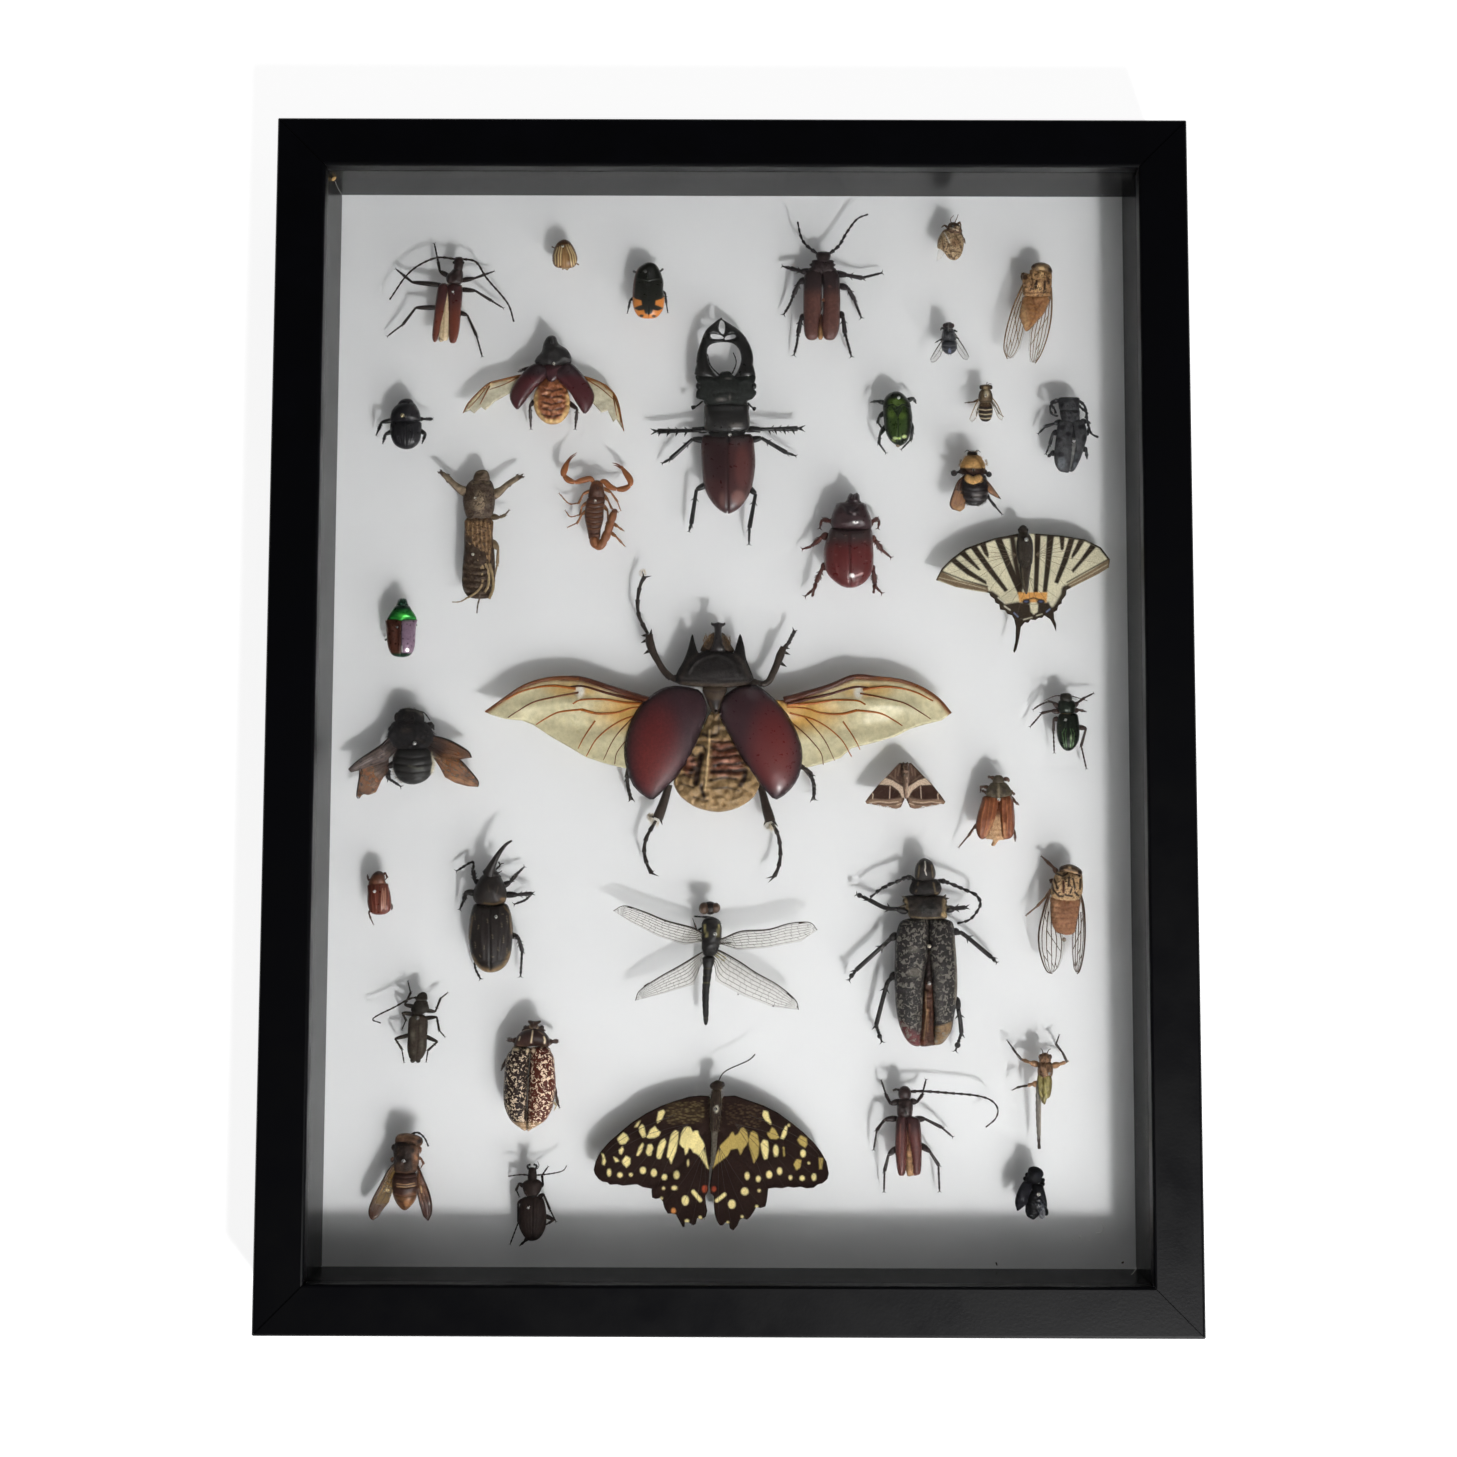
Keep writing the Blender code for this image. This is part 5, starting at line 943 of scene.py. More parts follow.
@at(79, 136)
def blowfly(p):
    tone, grey = (48, 49, 54), (98, 98, 100)
    for edge, tip in (([(-2.6, 1.4), (-4, -0.4), (-6, -3.6), (-7.4, -6.2), (-7, -7.4), (-5.4, -7),
                        (-3.6, -5), (-2.2, -1)], 3),
                      ([(1.6, 3.4), (3.2, 0.8), (5, -2), (6.6, -5.2), (6, -6.4), (4.4, -6), (2.6, -3.6),
                        (1.4, 0)], 3)):
        p.wing(edge, tip, 9.8, (176, 172, 166), "clear", net=(3, 1), vein=(0.09, (72, 66, 60)),
               costa=0.16, waves=(2, 0.3), spacing=0.4)
    # the bluish spot on the abdomen is a painted glint
    marks = [(grey, 0.4, "line", 0.25, [(-3.4, y), (-0.4, y - 0.4), (2.2, y)])
             for y in (-0.8, -2.2)] + [((120, 130, 160), 0.5, "spot", -0.4, -3, 0.5, 0.8)]
    p.dome([(-2.4, 1), (1.4, 1), (2.4, -0.8), (2, -2.8), (0.6, -4), (-0.6, -4.3), (-2, -3.8),
            (-3.2, -2.4), (-3.4, -0.6)], 9, 2.6, tone, "gloss", marks, spacing=0.24,
           relief=[(mark[4], 0.15, -0.2) for mark in marks[:2]])
    p.dome([(-2.2, 5.4), (0.6, 5.4), (1.6, 3.6), (1.9, 1.6), (1.2, 0.6), (-2.6, 0.6), (-3.3, 1.8),
            (-3, 3.8)], 9, 3.2, (54, 55, 58), "satin",
           [(grey, 0.3, "line", 0.2, [(-1.6, 5), (-1.8, 1.4)]),
            (grey, 0.3, "line", 0.2, [(0, 5), (0, 1.4)]), (grey, 0.4, "spot", -2.8, 3, 0.3, 0.8),
            (grey, 0.4, "spot", 1.4, 3, 0.3, 0.8)], waves=(1, 0.25), spacing=0.26)
    p.dome([(-1.8, 7.4), (0, 7.6), (1, 6.6), (1.1, 5.6), (0, 5), (-2, 5), (-2.7, 5.8), (-2.4, 6.8)], 9,
           2.2, (52, 46, 46), "satin", [((96, 92, 92), 0.3, "line", 0.25, [(-0.8, 7.4), (-0.8, 5.4)])],
           spacing=0.24)
    for x in (-2.1, 0.6):
        p.ball(x, 6.3, 9.6, 0.75, (60, 40, 38), "gloss", long=1.2)
    for x, y in ((-0.8, 4), (-0.8, 2.2), (-0.6, -3)):
        p.tuft(x, y, 11.8, 1.7, 60, 0.9, BLACK, (0, -0.7, 0.7), 0.05)
    p.legs(0.28, (40, 38, 38), "satin", 2, [(-2, 5), (-3.2, 5.6), (-3.6, 4.6)],
           [(-2.4, 1.4), (-4, 1), (-5.6, 0)], [(1.2, 4.6), (2.2, 4.2)], [(1.4, 2), (2.8, 1.6)])
    p.pin(-0.6, 4.9, r=0.55)


@at(-1, 105, 9.4)
def stag_beetle(p):
    head, black, plum = (36, 38, 36), (27, 26, 25), (62, 36, 36)
    p.dome([(-11, 19.1), (-11.9, 17.9), (-11.4, 16.8), (-11, 14.2), (-11.6, 12.7), (-11.7, 10.8),
            (-10.6, 10.1), (-9.1, 9.7), (-8.75, 8.5), (-6.5, 7.1), (-4.6, 6.6), (-0.5, 7.7), (3.2, 6.7),
            (5.1, 6.7), (6.8, 8.2), (6.8, 9.5), (8.5, 10.2), (9.9, 12), (9.9, 13.1), (9, 14.2),
            (9.3, 16.1), (9.8, 18.3), (8.5, 19.4), (2.5, 18.3), (0.6, 20.2), (-1.3, 20.3), (-2.8, 19.8),
            (-3.9, 18.3)], 9.6, 2.7, head, "dull",
           # the three light spots on the head are painted highlights
           [((104, 100, 96), 0.8, "spot", -2.6, 10, 1.4, 0.5),
            ((92, 88, 84), 0.6, "spot", 0.5, 10.8, 0.3, 0.9),
            ((110, 106, 102), 0.5, "spot", 0, 17.7, 0.9, 0.3),
            ((86, 82, 78), 0.3, "line", 0.3,
             [(-8.4, 8.4), (-6.5, 7.3), (-4.4, 6.9), (-0.6, 8), (3.2, 7), (5.4, 7.1), (6.8, 8.6)])],
           under=2.6, puff=0.3, smooth=2,
           relief=[([(-10.8, 16.5), (-7, 17.3), (-4, 16.2)], 0.5, 0.35),
                   ([(4, 16.2), (6, 17.2), (9, 16.3)], 0.5, 0.35),
                   ([(-5, 12), (-0.9, 13.2), (3.4, 12)], 0.7, -0.3)])
    for x in (-10.7, 8.9):
        p.ball(x, 15, 10.4, 1.15, BLACK, long=1.2)
    p.dome([(-8.4, 8.4), (-8.9, 5.6), (-8.75, 0), (-8.4, -1.3), (-6.5, -1.9), (-0.1, -2.4), (5.1, -1.9),
            (7.2, -1.2), (7.6, 0.4), (7.7, 2.6), (7.3, 5.6), (7.3, 8.2), (4, 8.6), (-0.6, 8.9),
            (-5, 8.7)], 9.4, 3.7, (33, 32, 31), "gloss",
           # the light spot at the rear of the pronotum is a painted highlight
           [((84, 80, 76), 1.2, "spot", 2.6, 0.6, 2.2, 0.9),
            ((62, 58, 54), 0.7, "line", 0.5, [(-8, 7), (-8.3, 2), (-7.9, -1)]),
            ((62, 58, 54), 0.7, "line", 0.5, [(6.8, 7), (7.2, 2)])], under=3, puff=0.3, smooth=2)
    p.dome(twin(-0.6, [(-0.6, -1.2), (6, -1.4), (5.6, -3), (7, -4.6), (-0.6, -5)]), 9, 2.4, black, "gloss")
    p.dome([(-6, -2.8), (-9.3, -3.4), (-9.9, -7.9), (-9.6, -13.8), (-8.9, -20.6), (-7.3, -25.1),
            (-4.3, -29.2), (-1, -31.4), (-0.2, -30.6), (0.3, -31.6), (4, -29.5), (7.3, -25.1),
            (8.8, -20.6), (9.7, -13.8), (9.4, -7.9), (8.5, -3), (5, -2.6)], 9.4, 4.3, plum, "gloss",
           # the darker left half is painted shade on the side away from the light; the three lighter spots on
           # the right and at the rear are painted highlights
           [((48, 30, 31), 3, "area", [(-9, -4), (-0.6, -4), (-0.6, -20), (-8, -18)]),
            ((86, 50, 48), 2, "spot", 5, -15, 2.6, 8),
            ((112, 76, 70), 1.6, "spot", 3.6, -25.6, 2.4, 2.6),
            ((92, 64, 60), 1, "spot", -2.2, -26.4, 1, 2.4),
            ((34, 24, 24), 0.25, "line", 0.3, [(-0.3, -3), (-0.3, -32)]),
            ((92, 78, 74), 0.5, "line", 0.35,
             [(-9.2, -6), (-8.9, -13.8), (-8.2, -20.4), (-6.7, -24.6), (-4, -28.4)]),
            ((92, 78, 74), 0.5, "line", 0.35,
             [(8.8, -6), (9, -13.8), (8.1, -20.4), (6.6, -24.6), (4, -28.4)]),
            ((38, 26, 26), 4, "above", -5), ((24, 18, 18), 0.5, "spot", 0, -4.9, 1.1, 0.9),
            ((30, 22, 22), 0.3, "spot", -0.1, -18.9, 0.3, 0.3)], under=2.6, puff=0.42, spacing=0.5,
           relief=[([(-0.3, -3), (-0.3, -32)], 0.28, -0.45)])
    gaps = [[(-7.6, 28.8), (-7.6, 25.4), (-6.5, 21.7), (-4.3, 18.7), (-3.5, 19.1), (-2.4, 20.2), (0.6, 20.2),
             (1, 18.7), (2.1, 18.7), (3.6, 21.3), (4.5, 24.7), (4, 27.7), (2.8, 29.5), (1, 30.7), (-2.4, 31),
             (-5.8, 30.4)],
            [(-6.5, 33.7), (-5, 34), (-2.4, 33.3), (-2, 32.3), (-5.8, 32.3)],
            [(-1.1, 33.1), (0.6, 33.7), (2.3, 33.7), (2.1, 32.5), (-1.3, 31.9)],
            [(-2.8, 39.1), (-3.5, 37.4), (-3.4, 35.2), (-1.9, 33.9), (-1.4, 35.9), (-1.6, 38.1)]]
    jaws = [(-10.6, 18), (-11.7, 22.8), (-11.4, 26.6), (-10.2, 30.7), (-8.4, 35.2), (-5.8, 37.8),
            (-2.8, 40), (-2.2, 39.4), (-0.1, 38.1), (3.2, 35.9), (5.8, 33.3), (7.7, 29.9), (8.8, 26.2),
            (8.8, 22.8), (8.1, 18)]
    p.sheet(closed(jaws, 3), 9.6, black, "gloss", thick=1.9, under=1.6, spacing=0.4, puff=0.5,
            holes=[closed(gap, 2) for gap in gaps], relief=[([(-1.7, 31.2), (-1.7, 34)], 0.3, -0.7)])
    for points in ([(-3.1, 18.7), (-6.5, 22.4), (-7.6, 26.6)],
                   [(1, 18.9), (2.5, 22.4), (2.6, 24.7), (1.6, 27.2)]):
        p.feeler(0.3, BLACK, "thread", points)
    p.legs(0.82, black, "gloss", 3, [(-7, -1), (-11, -1.3), (-19, -1.5), (-25.4, -1.6), (-26.3, -1.7)],
           [(5, -0.8), (11.5, -0.8), (19, -0.7), (24.8, -0.5), (25.9, -0.4)], ankle=3, feet=False, shin=1.05)
    p.legs(0.8, black, "gloss", 1, [(-7, -5), (-12.9, -4.5), (-20.7, -11.6), (-23, -12.9)],
           [(7, -5), (11.8, -4), (20.8, -9.3), (23.4, -10.2)],
           [(-6, -20), (-11.4, -22.8), (-13.2, -35.2), (-13.8, -37.2)],
           [(6, -21), (9.8, -24.3), (7.6, -36.6), (7.5, -41.5)])
    p.feeler(0.5, black, "club", [(-9.3, 9.4), (-11.2, 7.8), (-13.3, 6.8)])
    p.feeler(0.5, black, "club", [(7, 8.8), (8.2, 7.4), (9.7, 6.4)])
    for side, xs in ((-1, (-24.4, -21.4, -18.2, -15)), (1, (14.4, 16.6, 19.8, 23))):
        for x in xs:
            y = -1.5 if side < 0 else -0.7
            p.spike((x, y, 9), (x + side * 0.8, y - 2.1, 8.8), 0.55, BLACK)
        p.tube(even([(-0.8 + side * 8, -0.8, 9.2), (-0.8 + side * 10.4, -1, 9.4),
                     (-0.8 + side * 12.2, -1.1, 9.2)], 0.4), 1.0, BLACK, "gloss", 10)
    for x, y, to in ((-26, -1.7, (-28.2, -0.6)), (-26, -1.7, (-28, -3)), (25.6, -0.4, (27.8, 0.8)),
                     (25.6, -0.4, (27.6, -1.8))):
        p.spike((x, y, 9), (*to, 8.6), 0.42, BLACK)
    p.pin(0.5, -2.7, r=0.7, colour=(215, 215, 210))


@at(-67, 120.4)
def small_rhinoceros_beetle(p):
    black, shell = (40, 38, 38), (68, 31, 34)
    p.dome([(0.8, 17.6), (3.4, 17.6), (4.8, 14.8), (7.8, 12.8), (9.4, 9.6), (8.6, 7.4), (3, 6.6),
            (-3.4, 7.6), (-3.4, 9.6), (-1.4, 12), (-0.8, 14.8)], 9.4, 3.6, black, "satin",
           waves=(2.4, 0.7), spacing=0.4, relief=[([(-1, 14.2), (5, 14.2)], 0.5, -0.6)])
    p.spike((2.4, 15.2, 12), (2.2, 17.8, 14), 0.7, black)
    pale, brown, deep = (196, 160, 104), (140, 84, 52), (62, 34, 26)
    marks = [(pale, 1.4, "line", 1.6, [(-3.4, -3), (-3.4, -9), (0, -13.6), (5.6, -13.6), (8.6, -9),
                                       (8.4, -4)])]
    folds = [[(x - 3.4, y), (x, y - 0.9), (x + 3.4, y)]
             for x, y in ((2.4, -1.6), (2.6, -4), (2.4, -6.4), (2.6, -8.8), (2.4, -11))]
    marks += [(deep, 0.6, "line", 0.6, fold) for fold in folds]
    marks += [((206, 150, 110), 0.5, "spot", *spot)
              for spot in ((1, -3, 0.9, 0.4), (4.4, -5.4, 1.1, 0.4), (0.4, -7.8, 1, 0.4),
                           (3.6, -10, 1, 0.4))]
    p.dome([(2.4, 3), (-1.6, 1), (-3.8, -3), (-4.2, -7), (-3, -11), (0, -14), (3, -14.7), (6, -13.8),
            (8.6, -10.4), (9, -6), (8, -2), (6, 1)], 9, 3, brown, "gloss", marks, waves=(1.3, 0.9),
           spacing=0.36, relief=[(fold, 0.4, -0.5) for fold in folds])
    amber, clear = (128, 78, 34), (204, 196, 168)
    for side, edge, tip in ((-1, [(0, 4), (-8, 3.4), (-15, 1.8), (-20, 0.4), (-24, -3), (-27.6, -7),
                                  (-29.4, -10.6), (-27, -9.6), (-25.4, -10.8), (-23, -8.4),
                                  (-21.4, -9.6), (-18, -6.4), (-12, -3), (0, 0)], 6),
                            (1, [(5, 4), (13, 3), (20, 0.6), (24.5, -3), (26.4, -7), (27.4, -12),
                                 (28.4, -17), (25.6, -12.6), (24.6, -13.8), (22.6, -9.6), (20.4, -10.4),
                                 (16, -5.6), (6, 0)], 6)):
        p.wing(edge, tip, 8.8, clear, "smoky", vein=(0.12, amber), costa=0.34, waves=(4, 0.6),
               spacing=0.7,
               paint_on=[((176, 130, 66), 2.4, "line", 1.6, edge[1:4]),
                         ((208, 186, 130), 3, "line", 1.6, edge[3:6])])
        for line in ([edge[0], edge[2], edge[3]],
                     [edge[1], (edge[2][0], edge[2][1] - 2), (edge[3][0], edge[3][1] - 2.4)],
                     [edge[3], (edge[4][0], edge[4][1] - 2), (edge[5][0], edge[5][1] - 2)],
                     [(edge[3][0], edge[3][1] - 1), (edge[4][0] + side * -0.6, edge[4][1] - 4.4)]):
            p.vein(line, 0.26, amber)
    for outline, lean in (([(-0.4, 6.8), (-4, 7.6), (-8, 4.4), (-12, -1.6), (-12.6, -5.6),
                            (-10.2, -9.2), (-8, -7.4), (-4, -2), (-0.6, 1.2), (1, 4.4)], 0.08),
                          ([(5.6, 6.8), (9, 7.8), (13, 4.2), (17, -1.8), (17.6, -6), (14.6, -10.8),
                            (12, -8), (8.6, -2.6), (5, 1), (3.4, 4.4)], -0.08)):
        p.dome(outline, 10.2, 2.6, shell, "gloss", [((44, 28, 32), 3, "above", 3)], under=0.3,
               spacing=0.45, tilt=(lean, 0))
    p.dome([(-1, 7), (6.6, 7), (5, 2.6), (2.4, 0.4), (0, 2.6)], 10.4, 1.6, (58, 30, 34), "gloss")
    p.legs(0.62, (44, 30, 28), "gloss", 1, [(-2, -4), (-5.4, -8), (-5, -15.6)],
           [(7.6, -6), (11.6, -9), (11, -15.6)], [(-3, 6), (-8, 5.4), (-9.6, 4.6)])
    p.pin(3, 7.6, r=0.6, colour=(225, 220, 210))


@at(-117, 106)
def black_dung_beetle(p):
    tone = (28, 27, 30)
    p.dome([(-1, 8.9), (1.6, 8.9), (2.8, 7.4), (2, 6), (-2.4, 6), (-2.8, 7.4)], 9, 1.8, tone, "gloss",
           spacing=0.35)
    p.dome([(-1.6, 7.7), (2.4, 7.7), (4.4, 5.4), (5.3, 2.6), (5, 0.6), (0, 0), (-5, 0.6), (-5.5, 2.6),
            (-4.6, 5.4)], 9.2, 3.6, tone, "gloss", spacing=0.35)
    furrows = [([(k * 0.98, 0.4), (k * 1.06, -4), (k * 0.5, -9)], 0.16, -0.2)
               for k in (-4, -3, -2, -1, 1, 2, 3, 4)]
    p.dome([(-4.6, 1), (4.8, 1), (5.7, -2.6), (5.2, -6.4), (3.2, -8.8), (0.5, -9.5), (-2.2, -8.9),
            (-4.4, -7), (-5.4, -3.4)], 9.2, 3.8, tone, "gloss", spacing=0.3,
           relief=[*furrows, ([(0.1, 0.6), (0.2, -9.4)], 0.2, -0.4)])
    p.legs(0.6, BLACK, "gloss", 2, [(-3, 1.4), (-8.6, 0.4), (-10.3, -3.8)], [(3, 1.6), (9.2, 1.6)],
           [(-3.5, -2.4), (-7.2, -4), (-8, -7)], [(4, -2), (7.2, -3.8), (6.2, -6.8)])
    p.pin(-1.2, 2.8, r=0.8, colour=(205, 190, 150))


@at(59, 107.24)
def green_chafer(p):
    rim, green, light = (28, 34, 22), (58, 78, 34), (92, 116, 50)
    marks = [(green, 1.6, "area", [(-2, 8), (2.4, 8), (4.2, 4), (4.2, -2), (3.4, -6), (-1, -6),
                                   (-2.8, -2), (-3, 4)]), (light, 1, "spot", 0.4, 7, 2.6, 1.2),
             (light, 0.9, "spot", -1.4, 2.6, 1.2, 1.4), (light, 0.9, "spot", 2.2, 2, 1.4, 1.2),
             ((44, 58, 32), 0.3, "area", [(-1, 5), (2.4, 5), (0.9, 1.8)]),
             ((18, 24, 15), 0.25, "line", 0.5, [(-4.4, 5), (-1, 6.2), (0.8, 5), (2.6, 6.2), (5.4, 5)]),
             (rim, 0.25, "line", 0.28, [(0.9, 1.8), (1, -8)]),
             ((18, 24, 15), 0.25, "line", 0.4, [(-1, 5), (0.9, 1.8), (2.6, 5)]),
             (rim, 0.8, "below", -7.4), ((214, 230, 160), 0.35, "spot", -0.2, -6.2, 0.7, 0.5),
             ((214, 230, 160), 0.4, "spot", 3.2, -5.6, 0.8, 0.6),
             ((150, 176, 90), 0.4, "spot", 1.2, -6.2, 0.5, 0.4),
             ((150, 170, 90), 0.3, "line", 0.3, [(-1.2, -6.8), (0, -7.4)])]
    p.dome([(-0.8, 10.8), (-3.2, 9.4), (-4.4, 6.8), (-4.5, 3.4), (-4.2, 0), (-3.9, -2.6), (-3, -5.4),
            (-1.4, -7.6), (1.2, -9.1), (3.6, -8), (5, -5.4), (5.9, -2), (6.1, 1.6), (5.8, 4),
            (5.3, 6.8), (3.4, 9.4), (1.4, 10.8)], 9.2, 4.4, rim, "metal", marks, spacing=0.25,
           puff=0.46, relief=[([(-4.4, 5), (-1, 6.2), (0.8, 5), (2.6, 6.2), (5.4, 5)], 0.22, -0.4),
                              ([(0.9, 1.8), (1, -8.8)], 0.18, -0.3),
                              ([(-1, 5), (0.9, 1.8), (2.6, 5)], 0.18, -0.25)])
    p.ball(0.9, -8.6, 9.6, 0.9, (132, 118, 98), "satin")
    p.legs(0.6, (30, 32, 28), "gloss", 1, [(-3.4, 6.6), (-6.2, 7.3), (-8.6, 7)],
           [(4, 7.4), (6.4, 8.5), (7.3, 6.8)], [(-3.8, 3.4), (-5.8, 1.6), (-6.3, -0.4), (-4.6, -3)],
           [(-3.4, -1.4), (-5.6, -5), (-6, -8), (-3.9, -11)],
           [(5, 0), (6.2, -3), (5.5, -6.6), (2.6, -9.7)])
    p.pin(1.2, 8.6, r=0.55, colour=(240, 240, 236))


@at(91, 113.44)
def honey_bee(p):
    fuzz, dark, pale = (96, 80, 60), (40, 31, 26), (206, 192, 160)
    for edge in ([(-1.4, 3), (-3.4, -0.4), (-5.4, -5.4), (-4.6, -6.6), (-3, -5.2), (-1.6, -1)],
                 [(2.6, 2.8), (4.8, -0.2), (6.6, -4.6), (6.4, -6), (4.8, -5), (3, -0.6)]):
        p.wing(edge, 2, 9.6, (214, 206, 186), "clear", vein=(0.08, (130, 104, 74)), costa=0.14,
               waves=(2, 0.3), spacing=0.4, net=(2, 1))
    bands = [((34, 26, 22), 0.35, "line", 0.9, [(-2.2, y), (0.4, y - 0.3), (3, y)])
             for y in (-1, -2.6, -4.2, -5.6)]
    bands += [(pale, 0.3, "line", 0.24, [(-1.9, y), (0.4, y - 0.3), (2.7, y)]) for y in (-1.8, -3.4, -4.9)]
    p.dome([(-1.4, 0.8), (2.2, 0.8), (3, -1.4), (2.8, -4), (1.9, -5.8), (0.4, -6.3), (-1.2, -5.8),
            (-2.1, -4), (-2.2, -1.4)], 9, 2.2, (78, 58, 42), "satin", bands, spacing=0.2,
           relief=[(band[4], 0.15, -0.2) for band in bands[:4]])
    p.dome([(-0.8, 5.6), (1.8, 5.6), (2.8, 4), (3, 1.8), (2, 0.4), (-1.2, 0.4), (-2.1, 1.8), (-2, 4)],
           9, 2.8, fuzz, "rough", [(dark, 0.8, "line", 0.6, [(-1.8, 4.4), (-2, 1.6)]),
                                   (dark, 0.8, "line", 0.6, [(2.8, 4.4), (3, 1.6)]),
                                   ((206, 192, 160), 0.8, "spot", 0.8, 4, 0.8, 1.2),
                                   (dark, 0.5, "line", 0.4, [(-1.6, 1), (2.6, 1)])], spacing=0.26)
    p.dome([(-1, 7.2), (2.2, 7.2), (2.8, 6.2), (1.6, 5.2), (-0.6, 5.2), (-1.6, 6.2)], 9, 1.8,
           (84, 68, 50), "rough", spacing=0.26,
           paint_on=[((170, 150, 116), 0.5, "spot", 0.5, 6.2, 0.7, 0.5)])
    for x in (-1.2, 2.4):
        p.ball(x, 6.3, 9.4, 0.6, (44, 34, 28), long=1.4)
    for x, y, spread in ((0.4, 3.4, 1.6), (0.4, 1.8, 1.5), (0.5, 6, 0.9), (0.4, -0.2, 1.5)):
        p.tuft(x, y, 10.6, spread, 70, 0.7, (158, 138, 106), (0, -0.6, 0.7), 0.035)
    p.legs(0.3, (84, 66, 48), "satin", 0, [(-1.4, 2), (-4, 0.9), (-7, 0.6)],
           [(2.4, 1.4), (4, -0.8), (5.2, -3.2), (6.6, -4.2)], [(-1.4, 0), (-2.6, -2), (-3, -4)])
    for x, y in ((2.9, 7.4), (1.2, 8)):
        p.feeler(0.14, (70, 54, 40), "thread", [(0.8, 6.9), ((x + 0.8) / 2, y + 0.2), (x, y)])
    p.pin(0.6, 3.4, r=0.4, colour=(220, 215, 200))


@at(121, 102.15)
def grey_longhorn_beetle(p):
    tone, black = (64, 64, 66), (34, 34, 36)
    p.dome([(-2.6, 14), (3.4, 14), (4.2, 13), (4, 10.6), (3.6, 9), (-2.4, 9), (-3.4, 11), (-3.4, 13)],
           9.2, 2.6, (56, 56, 58), "rough",
           [(black, 0.8, "spot", -2, 11, 1, 1), (black, 0.8, "spot", 3, 11.4, 0.8, 1.2)],
           waves=(1.2, 0.5), spacing=0.35)
    p.dome([(-2.4, 9.8), (3.6, 9.8), (4.2, 7.6), (3.6, 5), (-1.6, 5), (-2.8, 7.4)], 9.2, 2.6,
           (58, 58, 60), "rough",
           [(black, 0.6, "line", 0.5, [(-2, 8), (3.4, 8.4)]), (black, 0.8, "spot", 0.8, 6.6, 1, 0.6)],
           waves=(1, 0.6), spacing=0.35)
    patches = [(black, 0.5, "spot", *spot)
               for spot in ((-2.8, -6.8, 1.3, 0.9), (0, 0.6, 1, 0.8), (5.8, -1, 0.9, 1.4),
                            (3, -9, 0.7, 0.8), (-2.4, 3, 1.4, 0.9), (4.6, 3.2, 1.2, 0.8),
                            (-3.4, -1.6, 0.8, 1))]
    pale = [((96, 100, 104), 1.4, "spot", -2.4, -10, 1.6, 2),
            ((92, 96, 100), 1.4, "spot", 2.2, -9, 1, 2.4), ((88, 90, 92), 1, "spot", 2.6, -3, 0.8, 2)]
    p.dome([(-2.6, 5.6), (1.6, 5.6), (2, 0), (1.4, -6), (0.4, -12.8), (-1.4, -13.4), (-3.6, -12.6),
            (-5, -9.6), (-5, -5), (-4.3, 0), (-3.9, 3.6)], 9.2, 2.8, tone, "rough", pale + patches,
           under=0.3, waves=(1.4, 0.3), spacing=0.4, puff=0.42)
    p.dome([(1.6, 5.6), (5, 5.6), (6.4, 3.4), (6.8, 0), (5.8, -4), (4.2, -8.6), (2.2, -12.4),
            (0.8, -13.2), (0.6, -12), (2.2, -6), (2.2, 0)], 9.2, 2.8, tone, "rough", pale + patches,
           under=0.3, waves=(1.4, 0.3), spacing=0.4, puff=0.42)
    p.dome([(0, 4), (4, 4), (3.6, -4), (2.4, -9), (1.4, -12.6), (-0.6, -12.4), (0, -6)], 9, 1.8,
           (104, 104, 102), "rough", [(black, 1, "above", -1)], spacing=0.5)
    for points in ([(-2.6, 12.6), (-5.4, 11.8), (-6.4, 9.8), (-5.6, 7.8), (-3.6, 7)],
                   [(-2.4, 13), (-5, 12.8), (-6, 11.4), (-4.8, 9.6), (-4.4, 8)],
                   [(3.2, 13.4), (5.6, 11.4), (6.4, 9.4), (7, 5), (8.2, 1), (10.8, -0.6)],
                   [(3.2, 11.6), (5.6, 9.4), (6.8, 8.2), (6.2, 6.4)]):
        p.feeler(0.56, (46, 45, 47), "thread", points, end=0.75)
    p.legs(0.62, (48, 48, 50), "rough", 0, [(-2.2, 5.2), (-5, 4.4), (-8, 3.4), (-10.2, 1.2)],
           [(-3.6, 1.6), (-5.6, 0.6), (-6.6, -3), (-7.8, -6)], [(-4.6, -6), (-6.4, -6.8), (-7.2, -7.6)],
           [(4.6, 5.4), (6.6, 5), (7.8, 4.6)], [(6, 0.4), (7.2, 1.6), (7.6, 3)],
           [(5.4, -4.4), (6.4, -5.6), (6.6, -8)], thigh=1.6)
    p.pin(2.1, -1.9, r=0.6, colour=(225, 225, 222))


